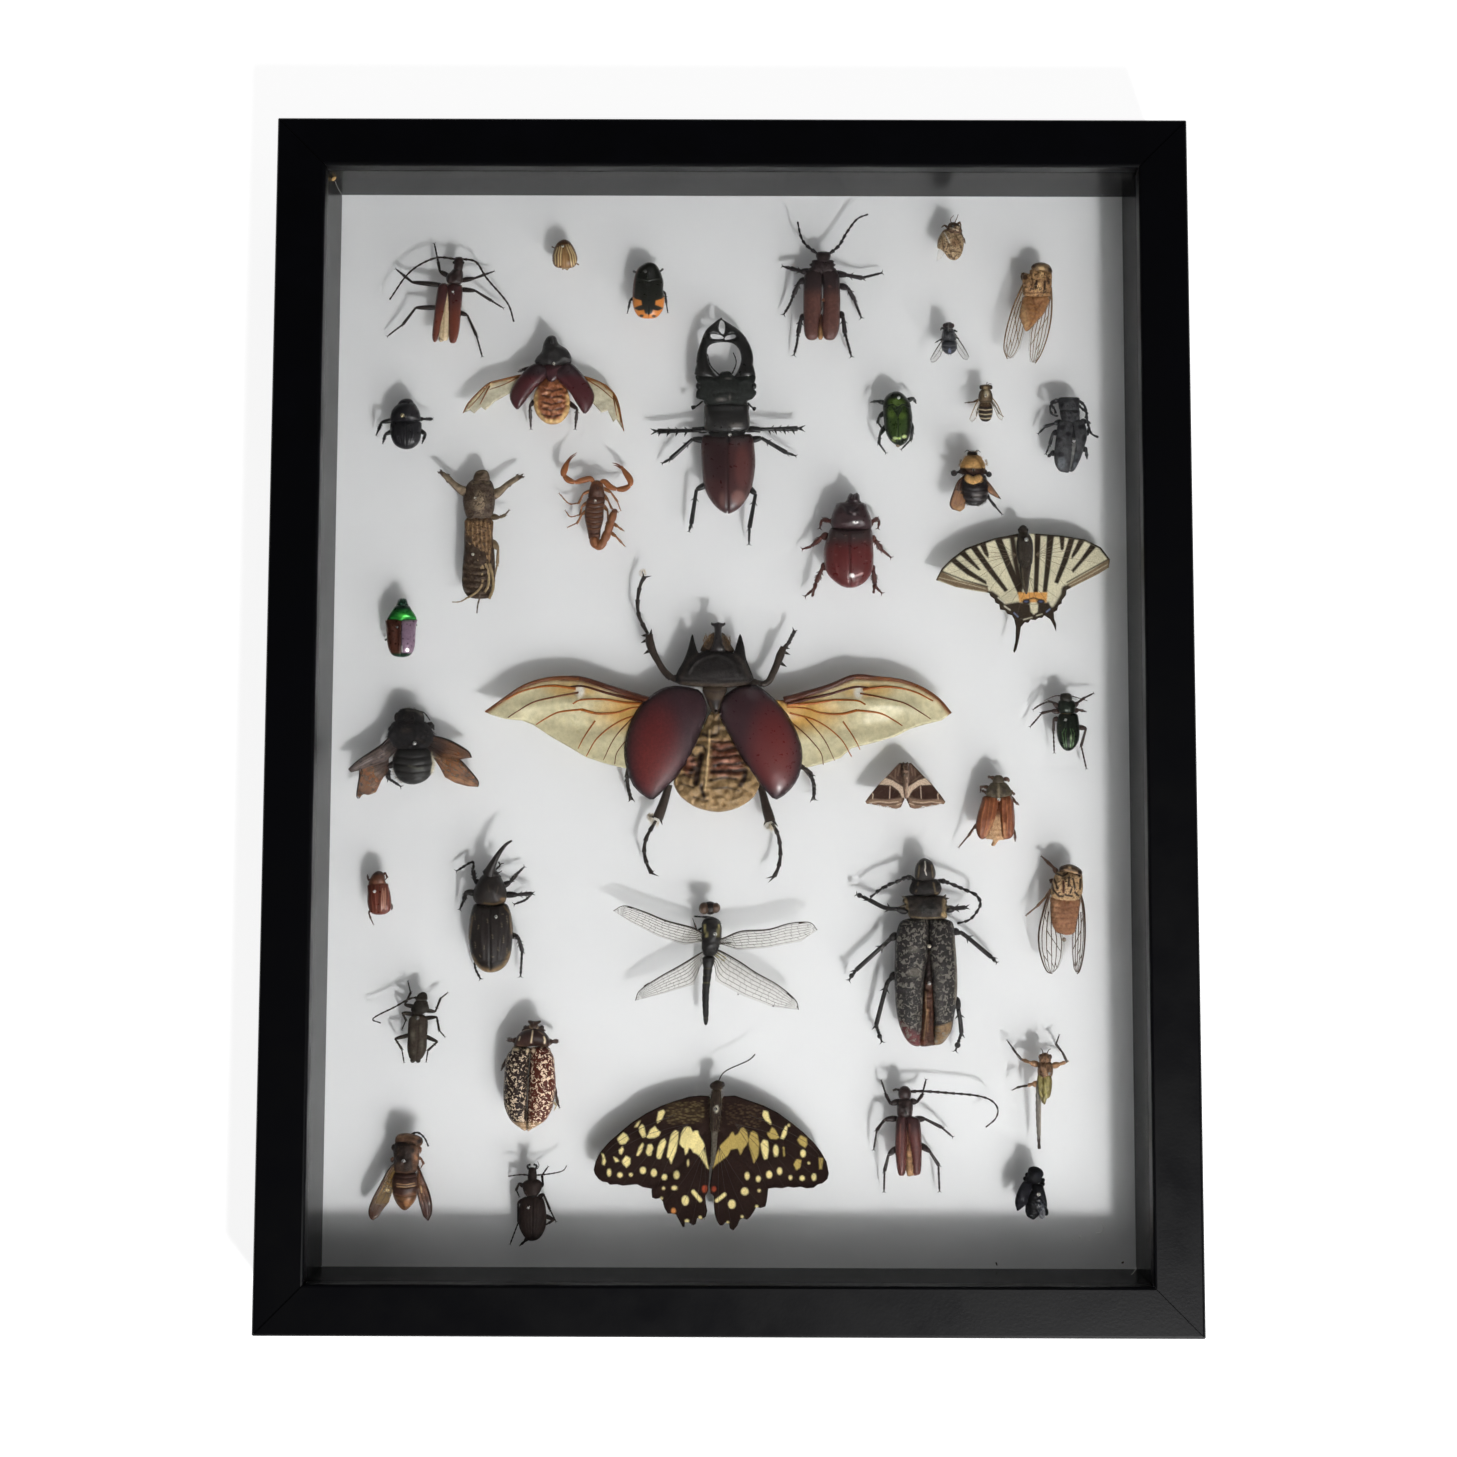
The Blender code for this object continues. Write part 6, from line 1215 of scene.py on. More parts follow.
@at(87, 84.2)
def bumblebee(p):
    yellow, brown, black = (186, 146, 92), (58, 40, 32), (34, 30, 31)
    wing = (146, 100, 60)
    p.wing([(-3.6, 3), (-5.6, 1.2), (-7.4, -3), (-8.6, -7), (-7.6, -9), (-5, -9.8), (-3.4, -8.6),
            (-2.6, -5), (-2.6, 0)], 4, 10.4, wing, "smoky", net=(4, 2), vein=(0.1, (70, 46, 32)),
           costa=0.28, waves=(3, 0.5), spacing=0.5,
           paint_on=[((64, 42, 34), 3, "above", -2), ((190, 148, 100), 1.6, "spot", -5, -9, 2, 1)])
    p.wing([(3.6, 2.4), (5.6, 0.4), (7.8, -2.6), (9.6, -5.2), (8.4, -4.8), (5.8, -3.4), (3.6, -1)], 3,
           10.2, wing, "smoky", net=(3, 1), vein=(0.1, (70, 46, 32)), costa=0.25, waves=(2, 0.5),
           spacing=0.5, paint_on=[((64, 42, 34), 2, "spot", 4, 1, 2, 2)])
    p.dome([(-3, 4), (3.4, 4), (5, 1), (5.4, -2.6), (4.6, -5.4), (2.4, -7.3), (0, -7.7), (-2.8, -7),
            (-4.4, -4.8), (-4.8, -1.6), (-4.4, 1.6)], 9, 4.2, black, "gloss",
           [((84, 78, 76), 0.7, "spot", 1, -4, 1.6, 0.8),
            ((60, 56, 56), 0.6, "line", 0.5, [(-4, -2.4), (0, -3), (5, -2.4)]),
            ((60, 56, 56), 0.6, "line", 0.4, [(-3.6, -5), (0, -5.6), (4, -5)])], spacing=0.34,
           relief=[([(-4.6, y), (0, y - 0.6), (5.2, y)], 0.3, -0.5) for y in (-1.6, -3.6, -5.4)])
    p.dome([(-3.4, 2.6), (-2.6, 3.8), (-1, 3.6), (-0.3, 3), (0.6, 3.6), (2.2, 3.8), (3.1, 2.6),
            (2.2, 1), (0.4, 0), (-1.6, 0.3), (-3, 1.4)], 12, 1.8, yellow, "velvet", spacing=0.3)
    p.dome([(-2, 10.8), (1.6, 10.8), (3.4, 8.8), (4.2, 6), (3.6, 3.8), (0, 3), (-4, 3.8), (-5, 6),
            (-4, 8.8)], 9, 4.8, yellow, "velvet",
           [(brown, 0.8, "below", 6.1), ((138, 104, 64), 1.2, "above", 9.8)], spacing=0.36)
    p.dome([(-1.8, 12), (0.8, 12), (1.4, 11), (0.8, 10), (-1.6, 10), (-2.4, 11)], 9, 2, (56, 46, 40),
           "velvet", spacing=0.3)
    for x, y, spread, colour, count in ((-2.2, 9, 1.5, yellow, 260), (1.6, 9, 1.5, yellow, 260),
                                        (-3.4, 7.2, 1.3, yellow, 220), (2.8, 7.2, 1.3, yellow, 220),
                                        (-0.3, 7.6, 1.8, yellow, 260), (-3.6, 5, 1.4, brown, 220),
                                        (-0.4, 5, 1.8, brown, 220), (3, 5, 1.4, brown, 220),
                                        (-2, 2.2, 1.1, yellow, 200), (0, 1.4, 1.2, yellow, 200),
                                        (2, 2.2, 1.1, yellow, 200), (-0.5, 11, 1.4, black, 140)):
        way = (x * 0.12, 0.35 if y > 6 else -0.6, 0.7)
        p.tuft(x, y, 12.6 if y < 10 else 10.4, spread, count, 1.2, colour, way, 0.045)
    for line, way in (([(4.6, -4), (3.6, -6.4), (1, -7.6)], (0.8, -0.5, 0.2)),
                      ([(-4.6, -3), (-3.8, -6), (-1.4, -7.4)], (-0.8, -0.5, 0.2)),
                      ([(4.6, 7), (4, 9)], (1, 0.4, 0.3)), ([(-5, 6.6), (-4.2, 9)], (-1, 0.4, 0.3)),
                      ([(-2, 11.8), (1.4, 11.8)], (0, 1, 0.3))):
        p.fringe(line, 9.6, 90, 0.9, (52, 44, 38) if line[0][1] < 0 else (150, 118, 74), way)
    p.ball(-7.1, 4.2, 9, 1.15, (42, 40, 41), "satin")
    p.ball(5.4, 3.8, 9, 1.1, (42, 40, 41), "satin")
    p.legs(0.55, (38, 35, 36), "satin", 0, [(-4, 5), (-5.4, 4.6), (-7.4, 4.2)],
           [(3.6, 5), (4.6, 4.4), (5.4, 3.8)], [(3.6, -2), (5.4, -5), (7.4, -7.6), (9.6, -10.2)])
    p.tuft(-7.1, 4.2, 9.8, 0.9, 60, 0.8, (60, 54, 50), (-0.5, 0.2, 0.6))
    for side in (-1, 1):
        p.feeler(0.2, black, "thread",
                 [(-0.4 + side * 0.8, 11.6), (-0.4 + side * 1.8, 12.6), (-0.4 + side * 2.9, 11.8)])
    p.pin(-0.2, 5.4, r=0.5)


@at(-89, 64.3)
def mole_cricket(p):
    dark, tan = (68, 54, 43), (150, 130, 98)
    p.dome([(-2.6, 24), (-1, 24.8), (0.8, 24.8), (2, 23.8), (2.6, 21.4), (1.6, 20.2), (-3, 20.2),
            (-3.4, 22)], 9, 2.6, (84, 70, 56), "rough",
           [((140, 122, 98), 0.5, "line", 0.5, [(-2.4, 23.8), (0, 24.4), (1.8, 23.6)]),
            (dark, 0.6, "line", 0.5, [(-3, 21), (2.4, 21)])], waves=(1.0, 0.4), spacing=0.35)
    p.dome([(2, 21.5), (3.6, 19.8), (4.5, 16), (4.4, 12), (3.8, 9), (2.8, 7), (-1, 6.4), (-4.8, 7),
            (-6.2, 9), (-7, 13), (-6.9, 16), (-5.6, 19.5), (-3.4, 21.5), (-0.8, 21.9)], 9, 3.8,
           (80, 67, 56), "patchy", [(dark, 1.6, "line", 0.8, [(-6.6, 16), (-6.6, 10), (-4.6, 7.4)]),
                                    ((128, 112, 92), 2, "spot", -1, 13, 2, 4),
                                    (dark, 0.8, "spot", -4, 17, 0.7, 1),
                                    (dark, 0.8, "spot", 1.4, 10, 1.4, 0.6),
                                    (dark, 0.8, "spot", -3.6, 9.6, 1.2, 0.7),
                                    ((134, 118, 96), 0.8, "line", 0.6,
                                     [(-4, 20), (-1, 20.6), (2, 20)])], waves=(1.8, 0.7), spacing=0.4,
           puff=0.4)
    p.dome([(-5.6, 7.4), (-1, 8), (3.2, 7.2), (3.8, 1), (4.6, -6), (4.9, -14), (4.4, -19), (3, -21.4),
            (-2, -21.8), (-5.2, -20.6), (-6.9, -17), (-6.9, -11), (-6.4, -4), (-6.4, 2)], 8.6, 3,
           (66, 53, 42), "patchy",
           [((92, 76, 60), 0.8, "line", 0.5, [(-6.4, y), (-3, y - 0.7), (0.6, y)])
            for y in (-10, -12.4, -14.8, -17.2, -19.4)], waves=(1.2, 0.5), spacing=0.4, puff=0.38,
           relief=[([(-6.4, y), (-1, y - 0.8), (4, y)], 0.35, -0.5)
                   for y in (-10, -12.4, -14.8, -17.2, -19.4)])
    strips = [((150, 122, 86), 0.4, "line", 0.4, [(x, 6.4), (x * 1.1 + 0.4, 0), (x * 0.6 + 1.2, -9)])
              for x in (-5, -3.4, -1.8, -0.4, 1, 2.4)]
    p.dome([(-5.6, 7.2), (3.2, 7.2), (3.8, 2), (3.5, -5), (2.9, -9.4), (0.6, -10.2), (-0.6, -6.4),
            (-2.8, -3.4), (-5.8, -1), (-6.2, 3)], 10.4, 1.6, (106, 80, 56), "patchy",
           [*strips, (dark, 1.4, "spot", -5, -0.4, 1.6, 1.2),
            (dark, 0.8, "line", 0.6, [(-5.4, 6.6), (3, 6.6)])], waves=(1.4, 0.6), spacing=0.36,
           relief=[(line, 0.22, 0.3) for _, _, _, _, line in strips])
    for line, r in (([(-2.4, -6), (-0.6, -9), (0.2, -13), (0.1, -17), (-2, -19.6), (-4.8, -21.4)], 0.42),
                    ([(1.4, -9), (2.6, -13), (2.4, -17), (1.2, -19.4)], 0.5),
                    ([(2.8, -9), (4, -14), (4.2, -18), (2.8, -21.8)], 0.55),
                    ([(-0.6, -6), (0.2, -9.6), (1, -12)], 0.4)):
        p.tube(even([(*q, 11.2 - 0.05 * k) for k, q in enumerate(line)], 0.4), r, tan, "dull", 7, flat=0.6)
    for outline in ([(-5.6, 15), (-8.4, 16), (-12.5, 20.2), (-15.6, 23.6), (-14.8, 24.4), (-12, 22.8),
                     (-9.8, 20.6), (-7, 19), (-5.4, 18.4)],
                    [(3.4, 13.6), (6.5, 15.4), (9.6, 18.8), (14.2, 22), (13.8, 22.9), (12, 22.8),
                     (8.5, 20.6), (6, 18.6), (3.4, 17.4)]):
        tip = outline[3]
        p.dome(outline, 9, 1.7, (128, 112, 92), "rough",
               [(dark, 1.2, "spot", *tip, 1.6, 1.6), (dark, 0.8, "spot", *outline[0], 1.6, 1.6),
                (dark, 0.5, "line", 0.4, [outline[1], outline[2]])], waves=(1.4, 0.4), spacing=0.35)
        for k in (2, 3, 4, 5):
            root = np.array(outline[k], float)
            end = root + (np.array(tip) - outline[0]) * 0.08
            p.spike((*root, 9), (*end, 8.8), 0.4, (66, 48, 36), "gloss")
    p.legs(0.62, (92, 76, 56), "satin", 1, [(2, 8), (6, 7.6), (8, 8.4), (9.2, 9.8)], thigh=1.8)
    p.leg(0.62, (124, 106, 80), "satin", 0, [(3.4, -0.6), (5.8, -4), (5.6, -9), (4.6, -14)], thigh=1.9)
    p.feeler(0.34, (140, 120, 90), "thread", [(-4.4, -21), (-7.4, -22.8), (-10.4, -23)])
    p.feeler(0.42, (88, 72, 54), "thread", [(-0.2, -20), (-1.2, -24), (-1.5, -27)])
    p.ball(-3.2, -5.8, 11.8, 0.55, (205, 200, 186), "satin")
    p.pin(-2.6, 14.6, r=0.5, colour=(225, 220, 205))


@at(-48, 78)
def scorpion(p):
    brown, arm, pale = (80, 52, 40), (140, 86, 50), (138, 92, 58)
    p.dome([(-1.2, 7.4), (0.8, 7.4), (2, 6.4), (2.6, 3), (2.5, 1), (-2.8, 1), (-3, 3), (-2.2, 6.2)], 9,
           2, brown, "satin", [((130, 84, 56), 0.8, "line", 0.6, [(-2.2, 5.6), (-0.4, 7), (1.6, 5.6)])],
           waves=(1.2, 0.4), spacing=0.3)
    bands = [((58, 38, 30), 0.4, "line", 0.35, [(-4.2, y), (-1, y - 0.5), (2.6, y)])
             for y in (-0.6, -2.2, -4, -5.8, -7.6, -9.4, -11.4)]
    bands += [((122, 80, 56), 0.5, "line", 0.3, [(-3.6, y - 0.5), (-1, y - 1), (2, y - 0.5)])
              for y in (-0.6, -2.2, -4, -5.8, -7.6, -9.4)]
    p.dome([(-2.8, 1.6), (2.5, 1.6), (2.5, -3), (2.3, -7), (1.4, -10.6), (1, -14), (-2.4, -14.4),
            (-3.4, -10.6), (-4.4, -6), (-4.1, -2)], 9, 2.2, brown, "satin", bands, spacing=0.28,
           puff=0.4, relief=[(band[4], 0.25, -0.35) for band in bands[:7]])
    for x in (-0.7, 0.3):
        p.ball(x, 4.6, 10.8, 0.28, BLACK)
    path = even([(-0.9, -13, 9.2), (-0.7, -15, 9.2), (0.6, -16.4, 9.4), (2.2, -15, 9.9),
                 (3.6, -12, 10.6), (4.8, -8.4, 11.2), (6.1, -4.2, 11.6)], 0.3)
    t = np.linspace(0, 1, len(path))
    p.tube(path, 1.55 * (0.8 + 0.26 * np.sin(math.pi * ((t * 5) % 1)) ** 0.6) * (1.1 - 0.25 * t),
           (126, 80, 52), "satin", 12)
    p.ball(6.3, -3.9, 11.6, 1.15, (96, 58, 40), "satin")
    for q in ([(-1.2, 6.6), (-2.4, 8), (-5, 7.5), (-8, 6.6)], [(-8, 6.6), (-10.4, 7.6), (-12, 9.2)],
              [(1, 6.6), (2.6, 7), (4.6, 5.2), (7, 4.2)], [(7, 4.2), (9.6, 4.4), (11.8, 5.6)]):
        path = even([(*c, 9) for c in q], 0.35)
        t = np.linspace(0, 1, len(path))
        p.tube(path, 0.62 + 0.5 * np.sin(math.pi * t) ** 0.7, arm, "satin", 10)
    for q, r in (([(-12.2, 8.8), (-12, 10.6), (-11.2, 12.8), (-10.4, 14.8)], 1.35),
                 ([(11.9, 5.4), (11.8, 7.6), (10, 10.4), (8.4, 12.6)], 1.3)):
        path = even([(*c, 9.2) for c in q], 0.3)
        t = np.linspace(0, 1, len(path))
        swell = np.sin(math.pi * np.clip(t * 1.15, 0, 1)) ** 0.7
        p.tube(path, r * (0.45 + 0.6 * swell * (1 - 0.5 * t)), arm, "satin", 12)
    for q in ([(-10.8, 13.8), (-9.8, 15.8), (-7.4, 17.5)], [(-10.4, 14), (-9.2, 15.6), (-7.6, 16.8)],
              [(8.8, 12), (7.4, 13.2), (5.4, 13.8)], [(8.4, 11.8), (7.2, 12.6), (5.8, 13)]):
        path = even([(*c, 9.4) for c in q], 0.3)
        p.tube(path, np.linspace(0.42, 0.1, len(path)), (112, 62, 38), "gloss", 7)
    p.legs(0.42, pale, "satin", 0, [(-1.6, 4), (-5, 2.5), (-6.5, -0.8), (-10, -1), (-13.2, 2.2)],
           [(-2.6, 0), (-5.4, -2), (-6, -5), (-9.4, -5.8), (-11, -4)],
           [(-3, -3), (-5.4, -5), (-7, -8), (-10, -9.4)], [(1.6, 5), (5, 3), (7.2, 0), (8.3, -3)],
           [(1.8, 3), (4, 0), (5.2, -2.6), (7.3, -3.9)], [(1.8, -1), (3.8, -3.6), (4.1, -7), (3.4, -8)],
           [(5.6, -8), (7.6, -9.4), (9.6, -10.8)], [(4.4, -11), (7, -13), (9.9, -16.2)], thigh=1.5)
    p.pin(-0.6, 0, r=0.5, colour=(225, 220, 210))


@at(42, 61.67)
def red_rhinoceros_beetle(p):
    tone, red, leg = (56, 40, 42), (86, 34, 33), (78, 42, 36)
    p.dome([(0.8, 19.4), (2, 18.9), (3, 19.6), (4, 18.6), (4.2, 16.8), (5, 15), (-1.8, 15),
            (-0.6, 16.8), (0, 18.4)], 9.2, 3, (46, 34, 36), "gloss", waves=(1, 0.5), spacing=0.35)
    p.spike((1.8, 17.6, 11.6), (2.2, 19.2, 13.4), 0.75, (42, 30, 32), "gloss")
    p.dome([(-3, 16), (5.4, 16), (7, 13.4), (8.2, 10), (8.4, 7.6), (7.4, 6.2), (1, 5.9), (-5, 6.4),
            (-6.2, 8.2), (-6, 11), (-4.8, 14.2)], 9.4, 5.4, tone, "gloss",
           [((38, 28, 31), 1.2, "spot", 1, 13, 2.6, 1.8),
            ((116, 96, 98), 0.4, "line", 0.3, [(0.6, 12.6), (2.6, 11.4)]),
            # the two pale spots are painted highlights
            ((240, 236, 232), 0.35, "spot", 2.6, 8.8, 0.9, 0.4),
            ((190, 180, 180), 0.35, "spot", 2.2, 11.8, 0.5, 0.35)], waves=(2.6, 0.35), spacing=0.4,
           puff=0.42, relief=[([(-2, 15), (1, 12.6), (4.4, 15)], 0.5, -0.5),
                              ([(0, 12.4), (3.6, 12)], 0.5, -0.6)])
    fade = [((56, 42, 42), 6, "above", 1), ((124, 62, 60), 0.8, "line", 0.5, [(-8, -9), (-5, -12.6)])]
    fade += [((122, 92, 90), 0.35, "spot", x, y, 0.3, 0.16)
             for x, y in ((-5, 3), (-3, 0), (-4.4, -3), (4, -2), (6, 2), (-1, 4), (2, 3), (6.4, -5))]
    spine = [(0.4, 6), (0.5, -4), (0.6, -14.4)]
    p.dome([(-5.6, 6.9), (0.5, 6.3), (7.4, 6.9), (8.6, 4.6), (8.9, 0), (9, -4), (8.6, -8.4), (6.6, -12),
            (3.6, -14.2), (0.6, -14.9), (-2.6, -14.2), (-6, -11.6), (-8.2, -8.4), (-8.8, -4), (-8.6, 0),
            (-7.2, 4.6)], 9.4, 6, red, "gloss",
           [*fade, ((58, 26, 28), 0.3, "line", 0.3, spine),
            # the near-white spot and the pale line at the rear are painted highlights
            ((240, 232, 228), 0.4, "spot", 1.3, -10.4, 0.8, 0.7),
            ((190, 150, 148), 0.6, "line", 0.4, [(2.4, -10.6), (5, -9.6)])], spacing=0.42, puff=0.4,
           relief=[(spine, 0.3, -0.35), ([(-4.6, 5), (-5.4, -4), (-4, -11)], 0.5, 0.2),
                   ([(5.6, 5), (6.4, -4), (5, -11)], 0.5, 0.2), ([(0.5, 5.6), (-1.2, 6.4)], 0.3, 0.2)])
    p.legs(0.85, leg, "satin", 3, [(-4, 9), (-6.6, 9.2), (-8.6, 9.8), (-9.6, 9.2), (-10, 7.6)],
           [(6.6, 8), (8.6, 9.2), (10.2, 10), (11, 9), (10.8, 7.6)],
           [(-7, 4), (-9.6, 3.4), (-12, 1.2), (-13.6, 0), (-15.4, -0.6)],
           [(8, 3), (9.6, 2.4), (11.6, -0.8), (13, -2), (14.4, -3.2)],
           [(-7.6, -6.4), (-9.4, -8), (-11.4, -12.6), (-12.2, -15), (-14.6, -17.2)],
           [(7.6, -7), (8.9, -8.6), (9.4, -13), (9.9, -14.6), (11.2, -16)], thigh=1.7)
    p.leg(0.5, leg, "satin", 0, [(-11.6, -13), (-12.8, -17.6)])
    p.leg(0.5, leg, "satin", 0, [(9.4, -13.4), (9, -16.4)])
    p.pin(2.6, 9, r=0.5, colour=(240, 238, 236))


# ---------------------------------------------------------------- insects, middle rows

@at(105, 47)
def swallowtail_butterfly(p):
    dark, brown, cream = (50, 41, 33), (116, 98, 76), (206, 199, 170)
    outline = [(-2.3, 19.6), (-10.7, 17.9), (-14.9, 16.5), (-21.2, 14.2), (-26.2, 10.4), (-29.7, 6.9),
               (-31.8, 2.7), (-24.8, 0.2), (-17.7, -1.2), (-12.8, -1.9), (-12.4, -3), (-11, -4),
               (-10.6, -5.4), (-9.3, -6), (-9, -7.8), (-7.2, -8.2), (-6.4, -9.4), (-4.8, -9.9),
               (-4, -11.3), (-3.4, -14.1), (-3.6, -19), (-4.4, -22.6), (-4, -23.4), (-3.2, -22),
               (-2.2, -18), (-1.6, -14.1), (-0.2, -12.4), (1, -12.6), (1.9, -11.4), (3.6, -11.6),
               (4.7, -10.8), (6, -10.8), (6.8, -9.9), (8.9, -11.3), (10, -13.4), (10.9, -15.7),
               (11, -13), (10.3, -11.3), (10.1, -8.8), (11.4, -8), (11.8, -6.4), (13, -5.6),
               (13.2, -4.3), (14.6, -2.6), (14.8, -0.8), (20.2, 2), (25.8, 4.8), (30, 7.4),
               (30.4, 10.4), (27.2, 14.7), (21.6, 17.5), (13.2, 18.9), (4.7, 19.6)]
    bars = [[(-11, 18), (-8, 17.6), (-3.6, 6), (-0.6, -2.4), (-2.4, -2.6), (-6.2, 6)],
            [(-16.4, 16.2), (-14, 16.6), (-12.8, 12), (-13, 10.6), (-14.4, 12)],
            [(-19.6, 14.6), (-17.4, 15.4), (-11.6, 7), (-6, -0.8), (-7.2, -1.6), (-13.4, 6)],
            [(-23.8, 12.4), (-21.8, 13.8), (-17.8, 9), (-15.6, 6.4), (-16.6, 6.2), (-19.4, 8.6)],
            [(-26.8, 9.6), (-25.2, 11), (-20, 6.6), (-13.8, 2.4), (-13.6, 1), (-20.6, 4.6)],
            [(3.6, 19.4), (5.8, 19.4), (5.2, 8), (4.6, -2), (3, -2), (3.4, 8)],
            [(8, 19), (10.6, 18.8), (9.2, 8), (7.8, -1.6), (6.2, -1.6), (7.2, 8)],
            [(12.4, 18.6), (14.4, 18.4), (14, 14), (13.4, 13.4), (12.8, 14)],
            [(15.8, 18), (18, 17.8), (15.4, 9.6), (11.8, 1.4), (10.4, 2), (13.2, 9.8)],
            [(19.4, 17.6), (21.6, 17), (18.6, 12.4), (16.8, 10.4), (16.6, 11.6)],
            [(23.6, 15.8), (25.6, 14.8), (20.4, 9), (17.2, 5.4), (16.6, 6.4), (19.6, 10)]]
    margin = [[(-31.4, 3), (-29.6, 5.8), (-24, 2.8), (-13.4, 0.4), (-12.8, -1.7), (-24.8, 0.2)],
              [(30.2, 7.6), (30.2, 10.6), (24.6, 7), (15, 1.4), (15, -0.6), (25.8, 4.8)]]
    edge = outline[9:20]
    shore = [outline[44], outline[43], outline[41], outline[39], outline[38], outline[32], outline[30],
             outline[26], outline[19]]
    marks = [(dark, 0.5, "line", 1.5, [(-2, 19), (-11, 17.8), (-21, 14.1), (-26, 10.4), (-29.6, 7),
                                       (-31.6, 3)]),
             (dark, 0.5, "line", 1.1, [(4, 19.4), (13.2, 18.8), (21.6, 17.4), (27, 14.6), (30.2, 10.4),
                                       (30, 7.6)])]
    marks += [(brown, 0.5, "area", zone) for zone in margin]
    marks += [((178, 166, 140), 0.2, "line", 0.3, [(-30.6, 3.6), (-22, 1.6), (-14, -0.4)]),
              ((178, 166, 140), 0.2, "line", 0.3, [(29.6, 8.6), (22, 4.2), (15.6, 0.8)]),
              (dark, 0.4, "line", 0.5, [(-29.4, 5.8), (-22, 2.8), (-13.4, 0.4)]),
              (dark, 0.4, "line", 0.5, [(29.8, 10.4), (22, 6), (15, 2)])]
    marks += [(dark, 0.35, "area", zone) for zone in bars]
    marks += [(dark, 0.8, "line", 3.8, edge[1:]), (dark, 0.8, "line", 3.8, shore),
              (dark, 0.8, "line", 2, [(-4.4, 18), (-3.4, 10), (-1.6, 0)]),
              (dark, 0.8, "area", [(-8, -6), (-2.6, -5), (2.6, -6), (8.4, -5), (10, -8), (6, -10.6),
                                   (-3, -11.4), (-6, -9)]),
              (dark, 0.5, "line", 2.4, [(-3, -10), (-2.6, -15), (-4, -23)]),
              (dark, 0.5, "line", 2.2, [(8.6, -9), (9.8, -12), (11, -16)]),
              ((206, 150, 84), 0.5, "area", [(-2.6, -1.6), (8, -1.6), (7.6, -5.2), (-2, -5.2)]),
              (dark, 0.4, "spot", 0.4, -5, 1.5, 1), (dark, 0.4, "spot", 5.6, -5, 1.5, 1),
              ((70, 84, 120), 0.3, "spot", 0.4, -4.9, 0.7, 0.35),
              ((70, 84, 120), 0.3, "spot", 5.6, -4.9, 0.7, 0.35),
              (dark, 0.4, "line", 0.5, [(0.4, -4.4), (3, -3.6), (5.6, -4.4)]),
              (cream, 0.4, "area", [(1.6, -6), (4.6, -6), (4.4, -8.6), (3, -9.6), (2, -8.6)]),
              ((214, 208, 186), 0.3, "line", 0.4, [(-9.6, -3.6), (-7.4, -5.4)]),
              ((214, 208, 186), 0.3, "line", 0.4, [(-7.4, -6.6), (-5.4, -8)]),
              ((214, 208, 186), 0.3, "line", 0.4, [(9, -6), (10.6, -4)]),
              ((120, 132, 160), 0.3, "line", 0.4, [(-4, -9), (-2.6, -10.4)]),
              ((120, 132, 160), 0.3, "line", 0.4, [(7.6, -8.6), (8.8, -7.6)]),
              ((190, 184, 160), 0.3, "line", 0.35, [(-0.6, -11.4), (2.4, -10.6)]),
              ((190, 184, 160), 0.3, "line", 0.35, [(4, -10), (6, -9.4)])]
    p.sheet(outline, 9.5, cream, "scales", marks, spacing=0.33, waves=(7, 1.0))
    level = p.surface
    for end in ((-12, 17.4), (-17, 15.8), (-23, 12.8), (-28, 8.4), (-30.6, 4), (-22, 0), (-13, -1.6)):
        p.vein([(-3, 12), (-3 + (end[0] + 3) * 0.5, 12 + (end[1] - 12) * 0.5 + 0.4), end], 0.1,
               (96, 82, 62), level)
    for end in ((11.4, 18.8), (17, 18), (22.4, 16.8), (27, 14), (29.6, 8.4), (22, 3.4), (15, 0)):
        p.vein([(4, 12), (4 + (end[0] - 4) * 0.5, 12 + (end[1] - 12) * 0.5 + 0.4), end], 0.1,
               (96, 82, 62), level)
    for end in ((-10.4, -5), (-7, -8.4), (-3.4, -11), (1.6, -11.6), (6, -10.4), (10, -8), (12.8, -4.6)):
        p.vein([(1.4, 4), (1.4 + (end[0] - 1.4) * 0.6, 4 + (end[1] - 4) * 0.6), end], 0.1, (70, 58, 44),
               level)
    fur = (92, 84, 72)
    p.dome([(-2, 21.6), (-1, 22.6), (0, 22.6), (1, 21.6), (1, 19.6), (-2, 19.6)], 9.8, 1.9,
           (44, 38, 33), "velvet", spacing=0.35)
    p.dome([(-1.8, 20), (1, 20), (2.8, 17), (3, 12), (2.2, 8), (-1.6, 8), (-2.8, 12), (-2.8, 16.6)],
           9.9, 3.2, (52, 46, 40), "velvet", [(fur, 0.8, "line", 0.5, [(-1.8, 18), (-1.6, 10)])],
           waves=(1.4, 0.3), spacing=0.4)
    bands = [([(-1.6, y), (1.8, y)], 0.2, -0.3) for y in (6.6, 4.8, 3, 1.2)]
    p.dome([(-1.6, 9), (2.2, 9), (1.7, 4), (1.2, 0), (0.5, -2.4), (-0.6, -0.4), (-1.4, 4)], 9.8, 2.2,
           (58, 50, 42), "velvet", [((120, 108, 88), 0.5, "line", 0.3, [(-1, 7), (-0.4, 0)])],
           spacing=0.36, relief=bands)
    for x, y, spread in ((-0.6, 18.6, 1.6), (0, 15.6, 2.2), (0.2, 12.4, 2.2), (0, 9.6, 1.8), (-0.6, 21, 1)):
        p.tuft(x, y, 12.2 if y < 20 else 11, spread, 200, 1.3, (78, 70, 60), (0, -0.8, 0.5), 0.05)
    for x in (-1.7, 0.7):
        p.ball(x, 20.9, 10, 0.75, BLACK)
    p.pin(0.6, 17.3, r=0.8, colour=(235, 235, 230))


